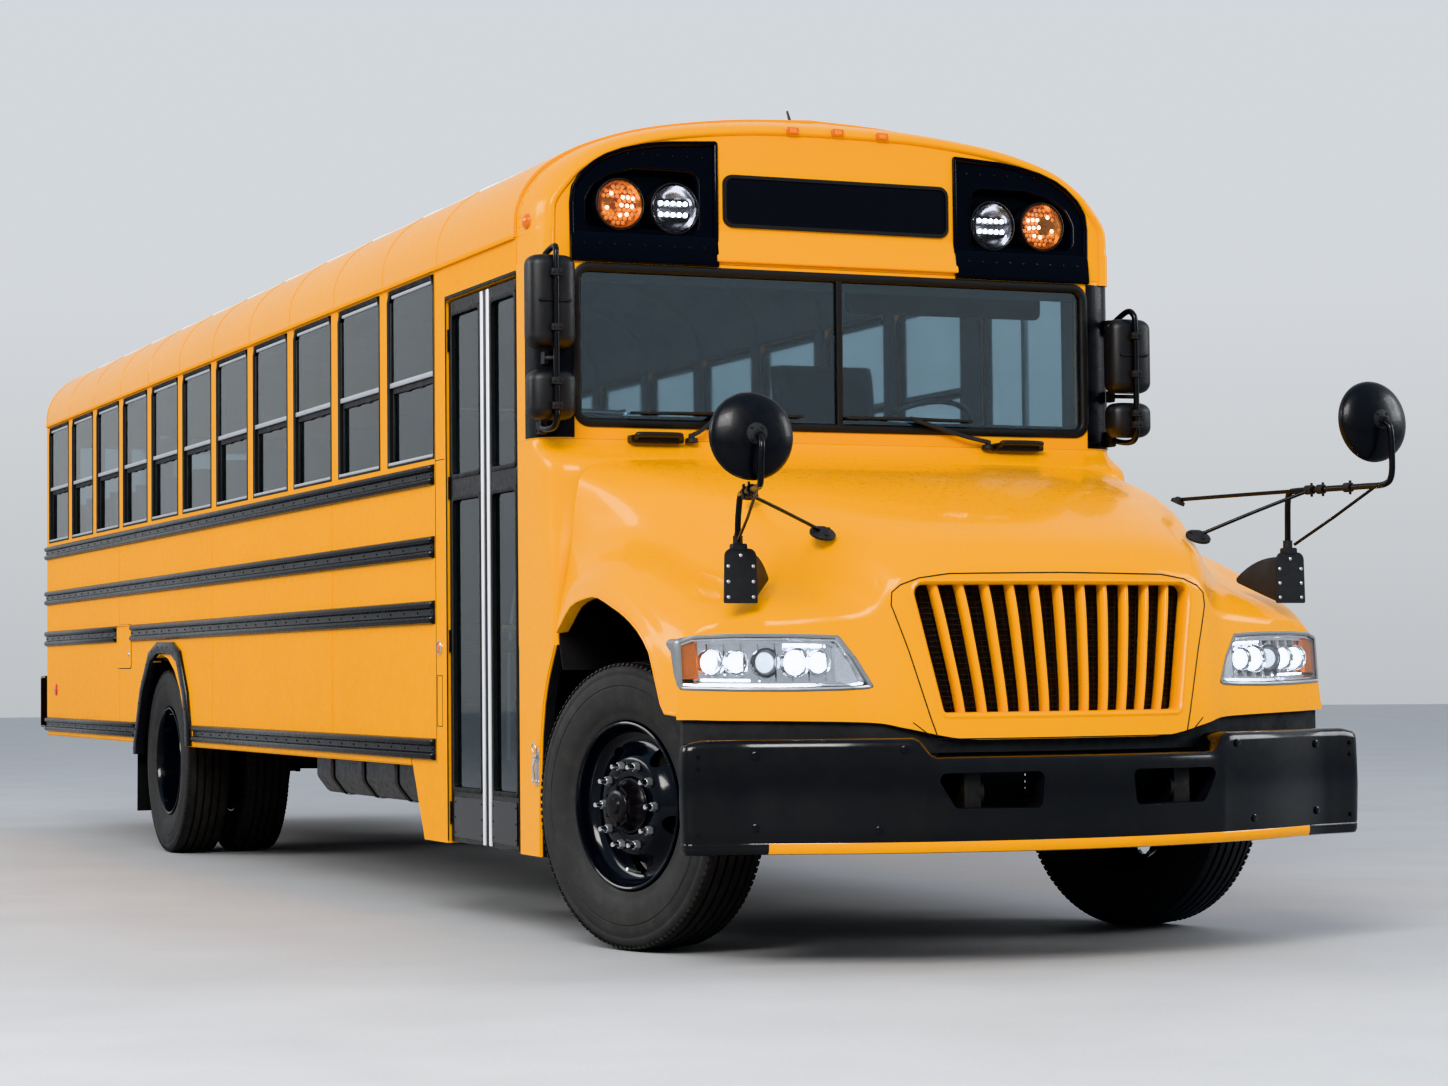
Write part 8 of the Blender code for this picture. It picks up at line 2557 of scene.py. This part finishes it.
sec = [(-0.046, 0.392), (0.046, 0.392), (0.046, 0.408), (0.016, 0.416), (0.016, 0.456), (0.046, 0.464), (0.046, 0.479), (-0.046, 0.479),
       (-0.046, 0.464), (-0.016, 0.456), (-0.016, 0.416), (-0.046, 0.408)]
path = [(-0.955, 0.060), (-0.880, 0.055), (-0.780, 0.0), (-0.40, 0.0), (0.40, 0.0), (0.780, 0.0), (0.880, 0.055), (0.955, 0.060)]
beam = rings([[(x, y * 0.95, z + dz) for y, z in sec] for x, dz in path])
fa = [beam]
for s in (1, -1):
    fa.append(rod((s * 0.930, 0, 0.445), (s * 0.930, 0, 0.533), 0.050, 24))
    fa += leaves(s * 0.390, 0.072, 0.0, 0.700, 0.482, 0.590, 0.0095, 4)
    fa += clamp_set(s * 0.390, 0.072, 0.0, 0.384, 0.532)
    fa.append(rbox(s * 0.390 - 0.05, s * 0.390 + 0.05, -0.065, 0.065, 0.522, 0.534, 0.006, 2, "z"))
    for dy in (-0.700, 0.700):
        fa.append(rod((s * 0.390 - 0.040, dy, 0.602), (s * 0.390 + 0.040, dy, 0.602), 0.020, 18))
o = put("front_beam", fa, "frame", "body", bevel=0.0015, seg=1, angle=35)
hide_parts("front_axle")
put("spring_hangers", [q for s in (1, -1) for q in
                       [prism([(dy - 0.05, 0.640), (dy + 0.05, 0.640), (dy + 0.022, 0.590), (dy - 0.022, 0.590)], "x", s * 0.39 + a, s * 0.39 + a + 0.008)
                        for dy in (-0.700, 0.700) for a in (-0.045, 0.037)]], "frame", "body", bevel=0.002, seg=1)
put("shock_absorbers", [q for s in (1, -1) for q in (rod((s * 0.47, 0.10, 0.450), (s * 0.475, 0.17, 0.62), 0.024, 20),
                                                     rod((s * 0.475, 0.16, 0.60), (s * 0.48, 0.22, 0.78), 0.032, 20))], "black_satin", "body")

WB = WHEELBASE
ra = [turned([(-0.860, 0.001), (-0.860, 0.052), (-0.620, 0.055), (-0.300, 0.062), (-0.215, 0.078), (-0.165, 0.128), (-0.110, 0.170),
              (-0.055, 0.188), (0.055, 0.188), (0.110, 0.170), (0.165, 0.128), (0.215, 0.078), (0.300, 0.062), (0.620, 0.055),
              (0.860, 0.052), (0.860, 0.001)], (0, WB, WHEEL_Z), 40)]
ra.append(turned([(-0.185, 0.001), (-0.185, 0.125), (-0.165, 0.150), (-0.120, 0.165), (-0.120, 0.001)], (0, WB, WHEEL_Z), 36, "y"))
ra.append(rod((0, WB - 0.18, WHEEL_Z + 0.02), (0, WB - 0.235, WHEEL_Z + 0.022), 0.055, 24))
for s in (1, -1):
    ra += leaves(s * 0.500, 0.076, WB, 0.750, 0.560, 0.660, 0.0105, 5)
    ra += clamp_set(s * 0.500, 0.076, WB, 0.435, 0.622, 0.055)
    ra.append(rbox(s * 0.50 - 0.052, s * 0.50 + 0.052, WB - 0.075, WB + 0.075, 0.438, 0.450, 0.006, 2, "z"))
    ra.append(rod((s * 0.36, WB + 0.09, 0.60), (s * 0.36, WB + 0.25, 0.62), 0.075, 28))
    for dy in (-0.750, 0.750):
        ra.append(rod((s * 0.500 - 0.042, WB + dy, 0.672), (s * 0.500 + 0.042, WB + dy, 0.672), 0.021, 18))
o = put("rear_housing", ra, "frame", "body", bevel=0.0015, seg=1, angle=35)
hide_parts("rear_axle")
cov = [(0.135 * math.cos(a), WB + 0.0 - 0.186, WHEEL_Z + 0.135 * math.sin(a)) for a in np.linspace(0, 2 * math.pi, 13)[:-1]]
put("axle_cover_bolts", join(*dots_n(cov, (0, -1, 0), 0.009, 0.007, 6)), "cast", "body")

o = put("fuel_tank_body", [prism(rpoly([(-1.118, 0.500), (-1.118, 0.848), (-0.504, 0.848), (-0.504, 0.500), (-0.560, 0.424), (-1.060, 0.424)],
                                       [0.05, 0.03, 0.03, 0.05, 0.04, 0.04], 5), "y", 2.354, 3.896)], "black_satin", "body", bevel=0.006, angle=40)
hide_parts("fuel_tank")
straps = []
for y in (2.62, 3.12, 3.62):
    sp = rpoly([(-1.1215, 0.500), (-1.1215, 0.8515), (-0.5005, 0.8515), (-0.5005, 0.500), (-0.560, 0.4205), (-1.060, 0.4205)], [0.05, 0.03, 0.03, 0.05, 0.04, 0.04], 5)
    straps.append(pipe([(x, y, z) for x, z in sp] + [(sp[0][0], y, sp[0][1])], 0.0, 4, flat=(0.002, 0.045, (0, 1, 0))))
put("fuel_tank_straps", straps, "frame", "body", angle=40)

gear = [rbox(-0.165, 0.165, 0.300, 0.720, 0.690, 0.980, 0.05, 4, "y")]
gear = [rings([[(r_ * math.cos(a), y, 0.80 + r_ * 0.95 * math.sin(a)) for a in np.linspace(0, 2 * math.pi, 33)[:-1]] for y, r_ in
               ((0.300, 0.185), (0.315, 0.185), (0.325, 0.165), (0.52, 0.140), (0.54, 0.120), (0.82, 0.100), (0.84, 0.070), (0.93, 0.060))])]
put("gearbox", gear, "cast", "body", angle=35)
joints_ = [rod((0, 0.93, 0.716), (0, 1.02, 0.713), 0.062, 20)]
for y in (1.10, 3.35, 3.47, 6.38):
    z = lerp(0.735, 0.530, (y - 0.33) / 6.17)
    joints_ += [rod((-0.060, y, z), (0.060, y, z), 0.020, 16), rod((0, y, z - 0.060), (0, y, z + 0.060), 0.020, 16),
                rod((0, y - 0.05, z), (0, y + 0.05, z), 0.050, 20)]
put("shaft_joints", joints_, "cast", "body", bevel=0.002, seg=1)
muf = [rings([[(0.24 + r_ * 1.15 * math.cos(a), y, 0.520 + r_ * 0.85 * math.sin(a)) for a in np.linspace(0, 2 * math.pi, 33)[:-1]] for y, r_ in
              ((3.95, 0.052), (4.02, 0.115), (4.05, 0.122), (4.85, 0.122), (4.88, 0.115), (4.95, 0.052))])]
put("muffler", muf, "pipe", "body", angle=35)
tanks = []
for y0_, s in ((4.20, 1), (4.20, -1), (5.10, 1)):
    tanks.append(rings([[(s * 0.60 + r_ * math.cos(a), y, 0.73 + r_ * math.sin(a)) for a in np.linspace(0, 2 * math.pi, 33)[:-1]] for y, r_ in
                        ((y0_, 0.02), (y0_ + 0.01, 0.06), (y0_ + 0.035, 0.098), (y0_ + 0.06, 0.112), (y0_ + 0.64, 0.112), (y0_ + 0.665, 0.098),
                         (y0_ + 0.69, 0.06), (y0_ + 0.70, 0.02))]))
put("air_tanks", tanks, "black_satin", "body", angle=40)
put("air_tank_bands", [torus_at((s * 0.60, y, 0.73), 0.1145, 0.004, "y") for y, s in ((4.38, 1), (4.74, 1), (4.38, -1), (4.74, -1), (5.28, 1), (5.64, 1))],
    "steel", "body")
put("battery_box", [rbox(0.56, 1.16, 2.32, 3.00, 0.615, 0.930, 0.02, 3, "z"), rbox(0.56, 1.16, 3.56, 4.10, 0.615, 0.850, 0.02, 3, "z")], "black_satin", "body", bevel=0.006)
rb = []
for y in np.arange(-0.9, 9.8, 0.42):
    for s in (1, -1):
        for z in (0.665, 0.825):
            rb.append((s * 0.4305, float(y), z))
put("rail_bolts", join(*[q for p in rb for q in dots_n([p], (math.copysign(1, p[0]), 0, 0), 0.0105, 0.008, 6)]), "frame", "body")
lines2 = [pipe(crom([(s * 0.444, y, z + 0.01 * math.sin(y * 3 + s)) for y in np.linspace(0.4, 9.4, 46)], 2), 0.007, 6)
          for s, z in ((1, 0.79), (1, 0.76), (-1, 0.78))]
put("brake_lines", lines2, "rubber", "body", angle=60)
ribs2 = [rbox(s0, s1, y - 0.022, y + 0.022, 1.005, 1.063, 0.006, 2, "y") for y in np.arange(2.0, 9.9, 0.36) for s0, s1 in ((-1.165, 1.165),)
         if not 6.05 < y < 7.4]
put("floor_ribs", ribs2, "frame", "body", bevel=0.002, seg=1)
ais = [box(-0.185 + k * 0.0185, -0.178 + k * 0.0185, 1.75, 9.95, 1.1003, 1.1032) for k in range(21)]
put("aisle_ribs", ais, "floor", "body", smooth=False)
nos = []
for x, z in ((-1.163, 0.330), (-0.930, 0.590), (-0.700, 0.845), (-0.470, 1.100)):
    nos.append(rbox(x + 0.0, x + 0.030, 0.780, 1.575, z - 0.001, z + 0.004, 0.002, 2, "y"))
    for k in range(6):
        nos.append(box(x + 0.045 + k * 0.028, x + 0.052 + k * 0.028, 0.785, 1.570, z, z + 0.0025))
put("step_treads", nos, "plastic", "body", smooth=False)
put("step_rails", [pipe(crom([(-0.95, 1.62, 0.62), (-0.93, 1.63, 1.20), (-0.80, 1.64, 1.62), (-0.46, 1.64, 1.75), (-0.40, 1.64, 1.70),
                              (-0.40, 1.64, 1.12)], 7), 0.014, 12),
                   pipe(crom([(-1.06, 0.70, 1.20), (-1.00, 0.69, 1.55), (-0.70, 0.69, 1.60), (-0.42, 0.69, 1.50), (-0.42, 0.69, 1.12)], 7), 0.014, 12)],
    "chrome", "body")
# brakes behind the wheels
put("brake_drums_rear", [turned([(s * 0.60, 0.001), (s * 0.60, 0.215), (s * 0.612, 0.228), (s * 0.690, 0.228), (s * 0.700, 0.001)], (0, WB, WHEEL_Z), 44)
                         for s in (1, -1)], "cast", "body", angle=40)
for s, tag in ((1, "left"), (-1, "right")):
    kb = []
    R3 = Matrix.Rotation(math.radians(16.2), 3, "Z")
    def kp(p):
        v = R3 @ Vector((s * p[0], p[1], p[2]))
        return (v.x + s * 0.930, v.y, v.z)
    for a in range(8):
        t = a * math.pi / 4
        q0 = kp((0.0985, 0.048 * math.cos(t), 0.505 + 0.085 * math.sin(t)))
        q1 = kp((0.1065, 0.048 * math.cos(t), 0.505 + 0.085 * math.sin(t)))
        kb.append(rod(q0, q1, 0.0085, 6))
    put("knuckle_bolts_" + tag, kb, "steel", "knuckle_" + tag)


# ------------------------------------------------- camera, light and floor
def camera():
    cam = bpy.data.cameras.new("camera")
    cam.lens = 75.93
    cam.sensor_width = 36
    cam.sensor_fit = "HORIZONTAL"
    cam.clip_start = 0.1
    cam.clip_end = 400
    ob = bpy.data.objects.new("camera", cam)
    bpy.context.collection.objects.link(ob)
    yaw, pitch, roll = 0.4036, 0.0415, -0.0098
    fw = Vector((math.sin(yaw) * math.cos(pitch), math.cos(yaw) * math.cos(pitch), math.sin(pitch)))
    right = Vector((math.cos(yaw), -math.sin(yaw), 0))
    up = right.cross(fw)
    r2 = right * math.cos(roll) + up * math.sin(roll)
    u2 = -right * math.sin(roll) + up * math.cos(roll)
    m = Matrix((r2, u2, -fw)).transposed().to_4x4()
    m.translation = Vector((-4.9781, -10.0162 - YM, 0.9756))
    ob.matrix_world = m
    bpy.context.scene.camera = ob
    return ob


def stage():
    n = 48
    verts, faces = [(0, 0, 0)], []
    for k in range(n):
        a = 2 * math.pi * k / n
        verts.append((60 * math.cos(a), 60 * math.sin(a), 0))
    faces = [[0, 1 + k, 1 + (k + 1) % n] for k in range(n)]
    me = bpy.data.meshes.new("floor")
    me.from_pydata(verts, [], faces)
    m, nt, b = nodes_of("studio_floor")
    vec = coords(nt)
    nt.links.new(mix(nt, grey(nt, noise_tex(nt, vec, 1.2, 6, 0.6), 0, 1), (0.50, 0.50, 0.50), (0.455, 0.455, 0.455)),
                 b.inputs["Base Color"])
    nt.links.new(grey(nt, noise_tex(nt, vec, 60, 5, 0.7), 0.55, 0.8), b.inputs["Roughness"])
    bump(nt, b, noise_tex(nt, vec, 180, 4, 0.7), 0.2, 0.002)
    me.materials.append(m)
    ob = bpy.data.objects.new("studio_floor", me)
    bpy.context.collection.objects.link(ob)


def area(name, pos, at, size, power, col=(1, 1, 1), size_y=None):
    d = bpy.data.lights.new(name, "AREA")
    d.energy = power
    d.color = col
    d.shape = "RECTANGLE"
    d.size = size
    d.size_y = size_y or size
    ob = bpy.data.objects.new(name, d)
    bpy.context.collection.objects.link(ob)
    p = Vector(pos)
    ob.matrix_world = Matrix.Translation(p) @ (Vector(at) - p).to_track_quat("-Z", "Y").to_matrix().to_4x4()
    return ob


def world():
    w = bpy.data.worlds.new("studio")
    w.use_nodes = True
    nt = w.node_tree
    bg = nt.nodes["Background"]
    tc = nt.nodes.new("ShaderNodeTexCoord")
    sep = nt.nodes.new("ShaderNodeSeparateXYZ")
    nt.links.new(tc.outputs["Generated"], sep.inputs[0])
    c = ramp(nt, grey(nt, sep.outputs["Z"], 0, 1, -0.1, 0.9),
             [(0.0, (0.52, 0.54, 0.56)), (0.22, (0.80, 0.83, 0.86)), (0.6, (0.78, 0.84, 0.92)), (1.0, (0.72, 0.80, 0.92))])
    nt.links.new(c, bg.inputs["Color"])
    bg.inputs["Strength"].default_value = 0.87
    bpy.context.scene.world = w


camera()
stage()
world()
bpy.context.scene.view_settings.view_transform = "Khronos PBR Neutral"
area("key", (-9.0, -16.0, 11.0), (-0.5, -3.0, 1.4), 9.0, 2600, (1.0, 0.98, 0.95), 6.0)
area("fill", (14.5, -9.0, 7.0), (0.5, -3.5, 1.2), 6.0, 740, (0.95, 0.98, 1.0))
area("side", (-14.0, 4.0, 8.0), (-1.2, 2.0, 1.4), 10.0, 1060, (1.0, 0.99, 0.97), 5.0)
